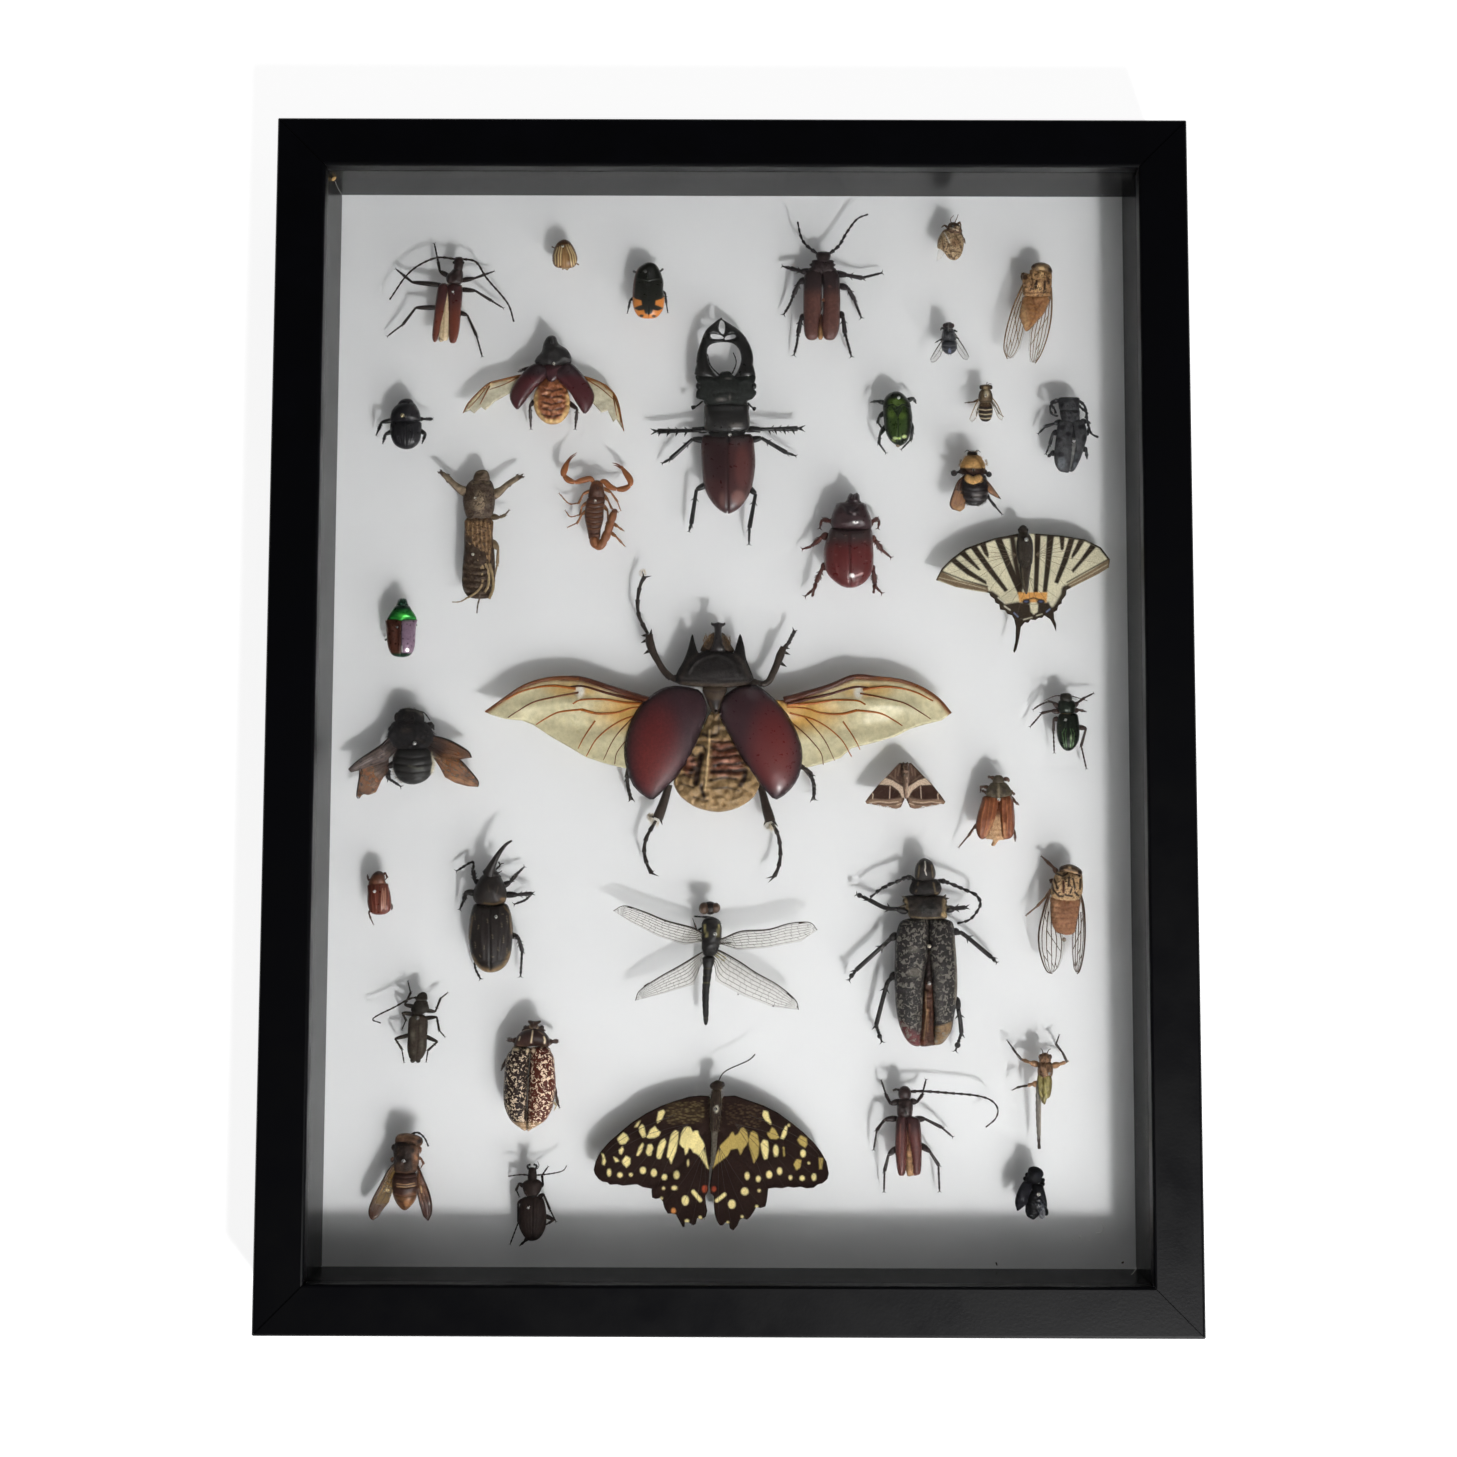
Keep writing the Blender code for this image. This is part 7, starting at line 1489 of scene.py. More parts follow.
@at(-117, 32)
def jewel_chafer(p):
    left, right, green, deep = (96, 56, 43), (138, 114, 132), (36, 128, 48), (22, 52, 38)
    p.dome([(-1.2, 10.5), (1, 10.5), (1.7, 9), (1.9, 7.4), (-2.2, 7.4), (-2, 9)], 9.2, 2, deep, "metal",
           spacing=0.3)
    p.dome([(-2.2, 8.2), (1.8, 8.2), (3.6, 6), (4.6, 4.4), (4.9, 2.6), (1.4, 2.6), (0.5, 2.2),
            (-0.5, 0.2), (-1.6, 2.2), (-2.4, 2.6), (-5.4, 2.6), (-5.1, 4), (-4, 6)], 9.6, 3.1, green,
           "metal", [(deep, 2.4, "above", 6.4), (deep, 1.4, "line", 1.2, [(-5.2, 2.4), (-4.8, 5)]),
                     ((70, 190, 70), 1.4, "spot", 0, 4.2, 1.4, 1)], spacing=0.25)
    marks = [(right, 0.35, "area", [(-0.3, 4), (6, 4), (6, -12), (-0.3, -12)]),
             ((18, 16, 15), 0.25, "line", 0.3, [(-0.4, 1), (-0.4, -9.6)]),
             ((30, 62, 44), 0.8, "below", -9.1), ((58, 34, 30), 1.4, "line", 0.6, [(-1, 1), (-1, -8)]),
             # the white slit and the white spot near the tips are painted highlights
             ((235, 232, 226), 0.3, "line", 0.3, [(-0.1, -6.6), (0, -8.6)]),
             ((240, 238, 232), 0.4, "spot", 2, -7.9, 0.6, 0.6)]
    p.dome([(-5.3, 3.4), (4.6, 3.4), (4.9, 1), (4.8, -3), (4.6, -6.4), (3.6, -9.2), (1.6, -10.4),
            (-1, -10.5), (-3.4, -9.8), (-4.8, -7.6), (-5.5, -4), (-5.7, 0)], 9.2, 3.5, left, "metal",
           marks, spacing=0.25, puff=0.42, relief=[([(-0.4, 2), (-0.4, -10.4)], 0.2, -0.35)])
    p.legs(0.34, (30, 44, 32), "gloss", 0, [(-4, -3), (-5.9, -4.4)], [(3.6, 2), (5, 1)])
    p.pin(-1.8, 0.2, r=0.5)


@at(-4, -3, 9.6)
def atlas_beetle(p):
    black, plum, maroon = (37, 33, 33), (54, 34, 38), (88, 34, 34)
    p.dome([(-9.7, 33.1), (-11.2, 27.7), (-12.8, 23.4), (-15.2, 19), (-15.4, 15.6), (-10, 14.4),
            (-1.2, 13.8), (7.7, 14.4), (12.1, 16.2), (11.4, 19.7), (9.6, 24.2), (8.9, 28.6),
            (7.4, 33.2), (6.2, 29.9), (5, 26.4), (3, 27.4), (-1.2, 28), (-5.4, 27.4), (-7.4, 26.4),
            (-8.6, 29.6)], 10.2, 6.4, (34, 31, 30), "dull",
           [((70, 60, 52), 1.6, "line", 1.6, [(-13, 15), (-1, 14.2), (10.5, 15)]),
            ((58, 52, 48), 1.6, "line", 1.0, [(-13.4, 17.6), (-11, 23), (-7, 26.6)]),
            ((58, 52, 48), 1.6, "line", 1.0, [(10.4, 18), (8.4, 23), (5, 26.2)])], under=4, puff=0.42,
           spacing=0.5, smooth=3, waves=(3.5, 0.35),
           relief=[([(-11, 19.6), (-8.6, 23), (-5.7, 25), (-0.8, 26.3), (3, 25), (5.6, 22.6),
                     (6.6, 19.4)], 0.8, 0.9), ([(-12.6, 16.9), (-1, 16.3), (10, 16.9)], 0.5, -0.5)])
    p.dome([(-6, 26.4), (-5.8, 29.4), (-4, 32), (-2.4, 33.6), (1.1, 33.6), (2.8, 31.8), (4.2, 29.2),
            (4.8, 26.4)], 10.4, 3.2, (74, 60, 48), "rough", waves=(1.4, 0.6))
    p.tuft(-3.4, 30.2, 12.2, 2.6, 200, 2.0, (140, 112, 80), (0.1, 0.8, 0.4), 0.06)
    p.tuft(2.2, 30.2, 12.2, 2.0, 160, 1.8, (132, 106, 76), (0, 0.8, 0.4), 0.06)
    p.dome([(-2.9, 37.3), (-2.2, 37), (-1.2, 37.2), (-0.4, 37.4), (0.4, 37.2), (1.4, 37), (2, 37.3),
            (2.1, 36.4), (1.2, 35.8), (0.8, 35), (0.8, 32.5), (1.3, 29.4), (2.2, 26.6), (-3.2, 26.6),
            (-2.3, 29.4), (-1.8, 32.5), (-1.8, 35), (-2.1, 35.8), (-3, 36.4)], 13.4, 2.0, black,
           "gloss", spacing=0.35, smooth=2, under=2)
    p.dome([(-5.8, 14.4), (2.6, 14.4), (1.6, 10.5), (-0.6, 4.6), (-2.6, 5.4), (-4.8, 10.4)], 12, 2.2,
           (66, 54, 44), "satin",
           [((36, 30, 28), 0.6, "line", 0.5, [(-5.4, 13), (-1, 12.2), (2.4, 13)]),
            ((34, 30, 27), 0.8, "area", [(-3.4, 9.5), (0.6, 9.5), (-0.8, 5.4)])], spacing=0.5, smooth=2)
    tan, red, deep, shine_pink = (142, 116, 80), (104, 62, 44), (44, 28, 20), (160, 114, 94)
    marks = [((118, 96, 66), 2, "area", [(-3, 5), (1.6, 4), (4.6, -3), (-6, -3)]),
             (red, 3, "area", [(-2.6, -5), (4.5, -5), (9.5, -13), (8, -18), (-3.4, -17)]),
             (red, 2, "spot", -10.4, -14, 2.6, 3.6)]
    # the dark lines are painted shade in the creases and cavities of the crumpled abdomen
    marks += [(deep, 0.8, "line", w, line)
              for w, line in ((1.2, [(-6, -2.6), (-3.4, -3.6), (-1, -3)]),
                              (2.2, [(-6.2, -10), (-7.4, -15), (-8.2, -20)]),
                              (1.3, [(-6.4, -21), (-5.2, -25)]),
                              (0.6, [(-3, -5.2), (1, -5.8), (4.6, -5.2)]),
                              (0.9, [(-3, -7.4), (0.6, -8.6), (5.6, -7.2)]),
                              (0.7, [(-3.2, -10.8), (2, -11.2), (7, -10)]),
                              (1.1, [(-2, -14), (1.6, -12.8), (4.6, -13.6), (8.8, -12.6)]),
                              (0.8, [(-11.4, -8), (-8.6, -10.6), (-6, -10)]),
                              (0.9, [(-8.6, -6.4), (-5.6, -6.8), (-4.6, -8.8)]),
                              (1.6, [(-9.4, -11.6), (-8.8, -14.6), (-10, -16.4)]),
                              (1.4, [(-2.6, -16), (3, -15.8), (9.4, -15.4)]),
                              (0.9, [(-3, -19), (2, -18), (6, -18.6)]),
                              (1.8, [(9.4, -15.6), (9, -18.6), (7.6, -20.6)]),
                              (0.5, [(0, 3.4), (-0.2, -2.6)]), (0.7, [(-12.6, -17), (-9.4, -18.2)]),
                              (0.6, [(-13, -20.4), (-9, -21.6)]),
                              (0.6, [(-2, -22), (3, -21.6), (7, -22.6)]),
                              (0.5, [(-9, -25), (-4, -26.4)]))]
    # the pink spots are painted highlights on the shiny ridges of the folds
    marks += [(shine_pink, 0.6, "spot", *spot) for spot in (
        (-10.4, -11.4, 1.6, 0.6), (-9.4, -13.4, 1.3, 0.5), (3.4, -12.2, 2.4, 0.6), (5.4, -14.4, 1.8, 0.6),
        (1, -17, 2.6, 0.4), (-0.4, -6.6, 0.8, 0.7))]
    marks += [((186, 160, 118), 0.4, "line", 0.8, [(-3.4, -1.4), (-3.7, -8), (-4.3, -16), (-5, -22.4)])]
    folds = [([(-3.4, -1.4), (-3.7, -8), (-4.3, -16), (-5, -22.4)], 0.5, 1.3),
             ([(-6.2, -10), (-7.4, -15), (-8.2, -20)], 1.2, -1.8), ([(9.4, -15.6), (9, -18.6)], 1.0, -1.2),
             ([(-2.6, -16), (3, -15.8), (9.4, -15.4)], 0.8, -1.2), ([(-3.2, -10.8), (7, -10)], 0.6, -0.9),
             ([(-3, -8), (2, -8.4), (6, -7.6)], 0.5, -0.8), ([(-3, -5.2), (4.6, -5.2)], 0.5, -0.8),
             ([(-2, -13.2), (8.4, -13.8)], 0.5, -0.8), ([(-3, -19), (6, -18.6)], 0.8, -0.9),
             ([(-12, -12), (-8, -12.4)], 0.6, 0.9), ([(-13.4, -15.6), (-9, -16)], 0.6, 0.8)]
    p.dome([(-2.4, 6), (-5.4, 1), (-8.6, -5), (-12, -12), (-15.8, -18.6), (-15.6, -21.6), (-13.4, -25),
            (-9, -28.2), (-5, -29.6), (0, -30.3), (5, -29.4), (9, -27.6), (12.6, -24.6), (14.6, -20.4),
            (14.8, -18), (10, -12.6), (5, -4.6), (1, 4.6)], 9.8, 4.0, tan, "satin", marks, under=2,
           puff=0.35, spacing=0.42, smooth=2, waves=(1.9, 1.5), relief=folds)
    cream, costa, orange, brown = (205, 196, 158), (74, 36, 20), (150, 84, 28), (104, 58, 26)
    outlines = {-1: ([(-6, 10), (-24, 9), (-38, 13.5), (-49, 17), (-56, 17.3), (-63, 16.5), (-70, 14),
                      (-76, 10), (-83, 5), (-81, 4), (-76, 2.5), (-70, 2), (-66, 0.5), (-60, -3.5),
                      (-53, -7.5), (-47, -11), (-41, -13), (-35, -14.5), (-32.5, -15), (-5, -5)], 8),
                1: ([(5, 10), (23, 9.5), (38, 14), (48, 18), (57, 17.5), (65, 16.5), (72, 14), (78, 10),
                     (82.3, 5), (79, 2.5), (73, 1), (68, -0.5), (62, -3.5), (55, -5.5), (47, -7.5),
                     (43, -11), (37, -13), (31, -14.5), (5, -5)], 8)}
    ribs = [(0.55, orange, [(24, 8), (33, 8.4), (41, 9.6), (49, 9.4), (52, 8)]),
            (0.5, orange, [(49, 6), (43, 4.6), (36, 5), (31, 6.6), (24, 7)]),
            (0.42, orange, [(49, 6), (57, 5), (62, 2.5), (65, 0.5)]),
            (0.36, orange, [(25, 5), (35, 2), (43, -4), (47, -10.5)]),
            (0.3, orange, [(44, 2), (48, -4), (50, -8)]),
            (0.36, brown, [(50, 12), (58, 10.5), (66, 8.5), (72, 5), (75, 3)]),
            (0.5, orange, [(51, 13.4), (60, 14.4), (69, 12.8), (76, 9.4)]),
            (0.28, brown, [(24, 3), (31, -3), (36, -9), (37, -13.5)]),
            (0.26, brown, [(30, 4), (37, -4), (41, -12)])]
    for side in (-1, 1):
        outline, tip = outlines[side]
        front = outline[1:9]
        marks = [((198, 156, 84), 8, "spot", side * 26, 5, 16, 7),
                 ((206, 172, 110), 3, "spot", side * 52, 13, 9, 2.6),
                 ((150, 92, 36), 1.6, "line", 1.8, front[3:]),
                 ((104, 56, 26), 1.2, "line", 2.6, front[:4]),
                 ((232, 228, 214), 1, "spot", side * 49.5, 12.4, 1.6, 2.2)]
        p.sheet(outline, 10.2, cream, "amber", marks, thick=0.1, under=0.1, spacing=0.9, waves=(9, 1.6),
                relief=[([(side * 24, 2), (side * 44, -1), (side * 60, 2)], 2.5, -0.7),
                        ([(side * 30, 8), (side * 50, 9), (side * 70, 7)], 2.0, 0.6),
                        ([(side * 49.5, 17), (side * 50, 10)], 0.8, 0.7)])
        p.vein(front[:4], 1.15, costa, sides=8, finish="gloss")
        p.vein(front[2:], 0.7, brown, sides=8, finish="gloss")
        p.vein([(side * 24, 8.2), (side * 38, 11.4), (side * 48, 14.2), (side * 53, 14)], 0.6, costa, sides=6)
        for r, shade, line in ribs:
            p.vein(mirrored(side, line), r, shade, sides=5)
    shells = {-1: [(-17.1, 14.4), (-14, 14.5), (-7.4, 13.2), (-5.2, 10), (-4.2, 5.6), (-6, -0.6),
                   (-9.1, -8.6), (-13.1, -15.7), (-18.9, -21.9), (-23, -25.8), (-26, -25), (-30.4, -21),
                   (-33, -13.9), (-33.6, -7.7), (-32.2, -0.6), (-29.5, 5.6), (-25, 10.5),
                   (-20.6, 13.5)],
              1: [(10.3, 14.9), (13.9, 14.6), (19.2, 10.4), (23.6, 5.6), (27.1, -0.6), (29.1, -5.9),
                  (29.6, -11.2), (28.4, -17.4), (25.4, -22.2), (20.5, -25.8), (17.4, -23.6),
                  (13, -18.3), (8.1, -11.2), (3.2, -2.4), (0.1, 3.8), (0.6, 9.1), (3.2, 12.2),
                  (6.8, 14.4)]}
    for side, outline in shells.items():
        centre = -1.6 + side * 19
        marks = [(maroon, 9, "spot", centre + side * 2, -8, 8, 15),
                 ((96, 38, 36), 6, "spot", centre + side * 3.4, -13, 4, 8),
                 ((40, 30, 34), 3, "line", 2.4, outline)]
        p.dome(outline, 11.2, 4.6, plum, "satin" if side < 0 else "gloss", marks, under=0.4,
               spacing=0.8, smooth=2, tilt=(-0.05 * side, 0))
    leg, claw = (50, 41, 35), (40, 33, 30)
    p.legs(1.1, leg, "satin", 0, [(-9, 16), (-17.2, 17.4), (-19, 18.6)],
           [(7, 15.5), (13.6, 15.9), (16, 15)], feet=False)
    for path, radii in (([(-17, 17.3), (-19.6, 19.8), (-22.1, 23.8), (-23.9, 27.3), (-24.8, 30.4),
                          (-25, 33)], (1.3, 1.2, 1.15, 1.3, 1.6, 1.3)),
                        ([(15.2, 15), (17.5, 16.2), (19, 18.9), (20.5, 22.3), (21.6, 25.3),
                          (22.9, 28.6)], (1.1, 1.2, 1.3, 1.3, 1.5, 1.1)),
                        ([(-17.7, -20.6), (-18.6, -24), (-19.6, -27.2), (-20.6, -30), (-21.6, -32.6)],
                         (1.3, 1.4, 1.6, 1.8, 1.9)),
                        ([(14.6, -20), (15.6, -24), (16.8, -28.6), (17.8, -32), (18.2, -33.6)],
                         (1.2, 1.3, 1.5, 1.8, 1.9))):
        line = even([(*q, 9.4) for q in path], 0.5)
        p.tube(line, np.interp(np.linspace(0, 1, len(line)), np.linspace(0, 1, len(radii)), radii), leg,
               "satin", 10)
    p.legs(1.0, leg, "satin", 0, [(-4, -1), (-31.8, -13.4), (-32.4, -18), (-32.2, -21.3), (-31.4, -24.6)],
           [(3, -1), (30.2, -14.6), (32.4, -16.8), (33.5, -20.3), (33.7, -24.2)])
    for line in ([(-25.4, 33), (-26.1, 34.2), (-27.6, 37), (-28.7, 39.6), (-29.2, 43.1), (-29, 47.1),
                  (-28.1, 51.1), (-26.8, 53.6)],
                 [(-32, -17), (-32.4, -19), (-32.2, -21.3), (-31.4, -24.6)],
                 [(32, -16.4), (33, -18.4), (33.6, -20.6), (33.7, -24.2)],
                 [(23, 28.4), (24.5, 29.8), (25.6, 32), (26.8, 34.2)],
                 [(-22.2, -33.4), (-23.6, -35.7), (-25.6, -39.6), (-26.3, -44.1), (-25.3, -48.6),
                  (-23.6, -52)],
                 [(18.8, -34.2), (20, -36.2), (21.3, -39.6), (21.8, -45.1), (21.1, -49.6), (19.6, -53)]):
        path = even([(*q, 8.6) for q in line], 0.3)
        turn = np.linspace(0, 5, len(path)) % 1
        p.tube(path, 0.58 + 0.34 * turn ** 2, claw, "gloss", 8)
    for root, tip, width in (((-24.6, 27.3), (-27, 25.8), 0.8), ((-25.2, 31.2), (-28, 29.8), 0.8),
                             ((-25.4, 32.6), (-28, 32.4), 0.8), ((-24.6, 32), (-24.2, 35), 0.7),
                             ((21.4, 23), (24, 21.4), 0.8), ((22.4, 27), (25.3, 25.7), 0.8),
                             ((23, 28.4), (25.1, 27.9), 0.7), ((-18.6, -24), (-20.6, -26), 0.5),
                             ((-20.8, -32), (-19.9, -35), 0.6), ((-22.8, -32), (-24.8, -31.8), 0.5),
                             ((19, -33), (21, -35.4), 0.6), ((17, -33), (15.8, -35), 0.5),
                             ((-27, 53.4), (-24.2, 53.9), 0.4), ((-27, 53.2), (-27.6, 55.8), 0.36),
                             ((26.6, 34), (27.9, 34.6), 0.4), ((26.6, 34), (26, 35.8), 0.36),
                             ((-31.4, -24.4), (-29.6, -27), 0.4),
                             ((-31.6, -24.4), (-31.8, -26.8), 0.36), ((33.7, -24), (32.2, -26.9), 0.4),
                             ((33.7, -24), (33.9, -26.4), 0.36), ((-23.8, -51.8), (-21, -53), 0.4),
                             ((-23.8, -51.8), (-22.6, -50.9), 0.36),
                             ((19.8, -52.8), (16.6, -53.6), 0.4), ((19.8, -52.8), (17.4, -55.2), 0.4)):
        p.spike((*root, 8.9), (*tip, 8.9), width, claw)
    for x, y, across, way in ((-22.4, -32.6, 2, -0.3), (-24, -31.4, 1, -0.6), (17.8, -34, 2, 0.2),
                              (18.8, -35, 1.2, 0.1)):
        p.tuft(x, y, 8.6, across, 110, 1.9, (206, 194, 170), (way, -1, 0.2), 0.07)
    p.tuft(-27.6, 54.6, 6.4, 1.4, 60, 1.6, (196, 176, 134), (-0.1, 1, 0.1), 0.06)
    p.pin(-1.2, 5.6, r=0.55, colour=(40, 36, 34))


@at(-111, -13.65)
def carpenter_bee(p):
    black = (30, 28, 29)
    p.dome([(-6.8, 16), (-4.4, 17), (-1, 16.6), (1.6, 15.4), (2.4, 13), (1, 10.6), (-7, 10.6),
            (-8, 13)], 9.2, 3, black, "velvet", spacing=0.4,
           paint_on=[((92, 86, 80), 0.8, "line", 0.5, [(-4, 16.2), (-0.6, 16), (1.6, 14.4)])])
    p.dome([(-7.4, 12.6), (1.6, 12.6), (5, 9.6), (6, 6), (4.4, 3), (0.6, 2), (-6, 2), (-9.6, 4.4),
            (-10.6, 7), (-9.6, 10)], 9.4, 4.8, black, "velvet",
           [((60, 54, 50), 1.2, "spot", -4, 9, 1.6, 0.8),
            ((58, 52, 48), 0.8, "line", 0.4, [(0, 6), (2.6, 4.6)])], waves=(1.6, 0.4), spacing=0.45)
    bands = [([(-8.4, y), (-1.6, y - 1), (5.6, y)], 0.4, -0.5) for y in (0, -2.6, -5, -7.2)]
    p.dome([(-6, 3.2), (2.6, 3.2), (5.2, 1), (6.1, -2.6), (5.4, -6), (3, -8.8), (-1, -10.2), (-5, -9.4),
            (-7.6, -6.8), (-8.8, -3), (-8.2, 0.6)], 9.2, 4.8, (38, 37, 36), "satin",
           # the light line across the abdomen is a painted highlight
           [((86, 84, 76), 0.7, "line", 0.5, [(-3, -3.6), (0, -4.6), (2, -4.4)]),
            ((220, 212, 190), 0.6, "line", 0.5, [(5.2, 0.6), (5.9, -2.6), (5.2, -6)])], spacing=0.45,
           relief=bands)
    pale = (214, 204, 176)
    p.fringe([(4.6, 1.6), (5.8, -2.6), (4.8, -6.6)], 9.6, 170, 1.3, pale, (1, -0.3, 0.1))
    p.fringe([(-8.4, -4), (-7.2, -7.4), (-5, -9.4)], 9.2, 130, 1.2, (150, 140, 120), (-0.9, -0.5, 0.1))
    p.fringe([(-6.4, 16), (-2, 16.6), (1.6, 15)], 9.8, 120, 1.1, (96, 88, 80), (0.1, 1, 0.2))
    for line, way in (([(-8, 12), (-10.4, 7), (-9, 4)], (-1, 0, 0.2)),
                      ([(2, 12), (5.6, 8), (5.6, 5)], (1, 0.2, 0.2))):
        p.fringe(line, 9.6, 150, 1.2, (40, 37, 35), way)
    for x, y, spread in ((-3, 9, 3.2), (-4, 5.4, 3), (1.6, 7, 2.4), (-3, 13.6, 2.2)):
        p.tuft(x, y, 13, spread, 260, 1.0, (52, 47, 44), (0, -0.4, 0.8), 0.05)
    for x in (-7.2, 1.2):
        p.ball(x, 13.6, 9.6, 1.2, (34, 29, 27), long=1.6)
    veins = (0.13, (36, 27, 24))
    smoke, amber = (104, 88, 82), (126, 82, 46)
    p.wing([(-6, 8), (-10, 6), (-13, 3.4), (-17, 0.8), (-21, -2), (-24.2, -5), (-23.4, -6), (-19.6, -5),
            (-15, -3.4), (-11, -2), (-7, 2)], 5, 10.4, smoke, "smoky", net=(5, 2), vein=veins,
           costa=0.5, waves=(3, 0.6), spacing=0.5,
           paint_on=[((42, 33, 31), 3, "spot", -9, 5, 4, 3),
                     ((160, 150, 146), 0.8, "line", 0.6, [(-16, -1), (-22, -4.6)])])
    p.wing([(-10, -1), (-15, -2.8), (-19.6, -3.6), (-20.4, -8), (-21.2, -14.4), (-20, -15),
            (-19, -13.6), (-17, -14), (-14.4, -13), (-12.6, -9), (-10, -5)], 5, 9.9, amber, "smoky",
           net=(5, 1), vein=veins, costa=0.3, waves=(3, 0.6), spacing=0.5,
           paint_on=[((70, 46, 34), 3, "spot", -12, -4, 3, 3)])
    root = [((48, 32, 27), 4, "spot", 5, 3, 6, 3.4)]
    p.wing([(2, 8), (5, 7), (9.4, 6), (13, 4.6), (18, 1.6), (19.2, -0.6), (14, -1.4), (9, -1), (4, 3)],
           5, 10.4, (116, 74, 44), "smoky", net=(5, 2), vein=veins, costa=0.5, waves=(3, 0.6),
           spacing=0.5, paint_on=root)
    p.wing([(3, 4), (10, 0.6), (14.6, -1), (18.6, -5), (21.8, -9), (21.6, -11), (18, -10.8),
            (13.6, -9.6), (10, -7.6), (8, -4), (6, -1)], 5, 9.9, amber, "smoky", net=(5, 2), vein=veins,
           costa=0.3, waves=(3, 0.6), spacing=0.5,
           paint_on=[*root, ((168, 118, 74), 2, "line", 1.4, [(12, -8), (20, -10)])])
    p.legs(0.8, (32, 29, 29), "satin", 2, [(-6, -2), (-10.6, -4), (-10, -8), (-6.4, -10.4)],
           [(2, 9), (4.6, 11.6), (5.6, 9.8)], [(-8, 11), (-9.8, 9.4)])
    p.tuft(-10.4, -6, 8.8, 1.3, 140, 1.3, (46, 41, 38), (-0.6, -0.5, 0.2))
    p.feeler(0.34, BLACK, "thread", [(-1.6, 15.6), (2, 15.4), (4.4, 12.6)])
    p.pin(-1, 4.4, r=0.8, colour=(225, 225, 220))


@at(118, -4.0)
def green_ground_beetle(p):
    tone, leg = (36, 42, 34), (58, 44, 40)
    p.dome([(-0.4, 13.2), (2.6, 13.2), (3.4, 11.8), (3, 10), (-0.4, 10), (-1, 11.8)], 9, 1.8,
           (44, 42, 36), "satin", spacing=0.3)
    p.dome([(-0.9, 10.8), (3.6, 10.8), (4.7, 9), (4.5, 7.2), (3.4, 5.8), (-0.4, 5.8), (-1.7, 7.4),
            (-1.7, 9.2)], 9, 2.2, (38, 44, 36), "metal", spacing=0.3,
           paint_on=[((30, 40, 32), 0.4, "line", 0.3, [(1.4, 10.6), (1.4, 6)])])
    p.dome([(-0.6, 6.6), (3.6, 6.6), (3, 5), (0, 5)], 9, 1.4, (92, 74, 52), "satin", spacing=0.3)
    rows = [[(1.9 + k * 0.8, 5), (1.9 + k * 1.2, -1), (1.9 + k * 0.75, -6)]
            for k in (-2.7, -1.8, -0.9, 0.9, 1.8, 2.7)]
    marks = [((84, 118, 72), 0.18, "line", 0.22, [(line[0][0], 0.6), line[1], line[2]]) for line in rows[1:5]]
    marks += [((20, 24, 20), 0.25, "line", 0.25, [(1.9, 6), (1.9, -7)]),
              # the pale spot on the elytra is a painted highlight
              ((170, 190, 150), 0.4, "spot", 2.8, -2.8, 0.3, 0.9)]
    p.dome([(-0.8, 6.1), (4.6, 6.1), (5.6, 3.8), (5.9, 0), (5.5, -3.6), (3.8, -6.4), (1.9, -7.3),
            (0, -6.6), (-1.6, -4), (-2.3, -0.4), (-2, 3.6)], 9, 3, tone, "metal", marks, spacing=0.24,
           puff=0.42, relief=[(line, 0.18, -0.24) for line in rows])
    p.legs(0.52, leg, "satin", 0, [(-0.6, 7.6), (-3.4, 10), (-5, 10.4), (-8.2, 9), (-10, 7.8)],
           [(-1, 6.6), (-4, 7), (-7.4, 6.2), (-9.4, 3.8), (-11.2, 1.8)],
           [(-1.6, 4), (-3.2, 4.2), (-3.4, 0), (-3.2, -7.2)],
           [(3.6, 8.4), (5.4, 10), (7.6, 11.6), (10.4, 13)], [(3.8, 7), (5.6, 7.4), (8, 6.8)],
           [(4.6, 1.4), (8.2, 0.8), (6.4, -5.4), (8, -12.8)], thigh=1.7)
    for points in ([(-0.6, 12.4), (-3, 12.2), (-6.6, 10.6)], [(3, 12.4), (5.6, 11.6), (8.8, 10.6)]):
        p.feeler(0.22, (60, 42, 36), "thread", points)
    p.pin(1, 3.8, r=0.5, colour=(225, 225, 220))


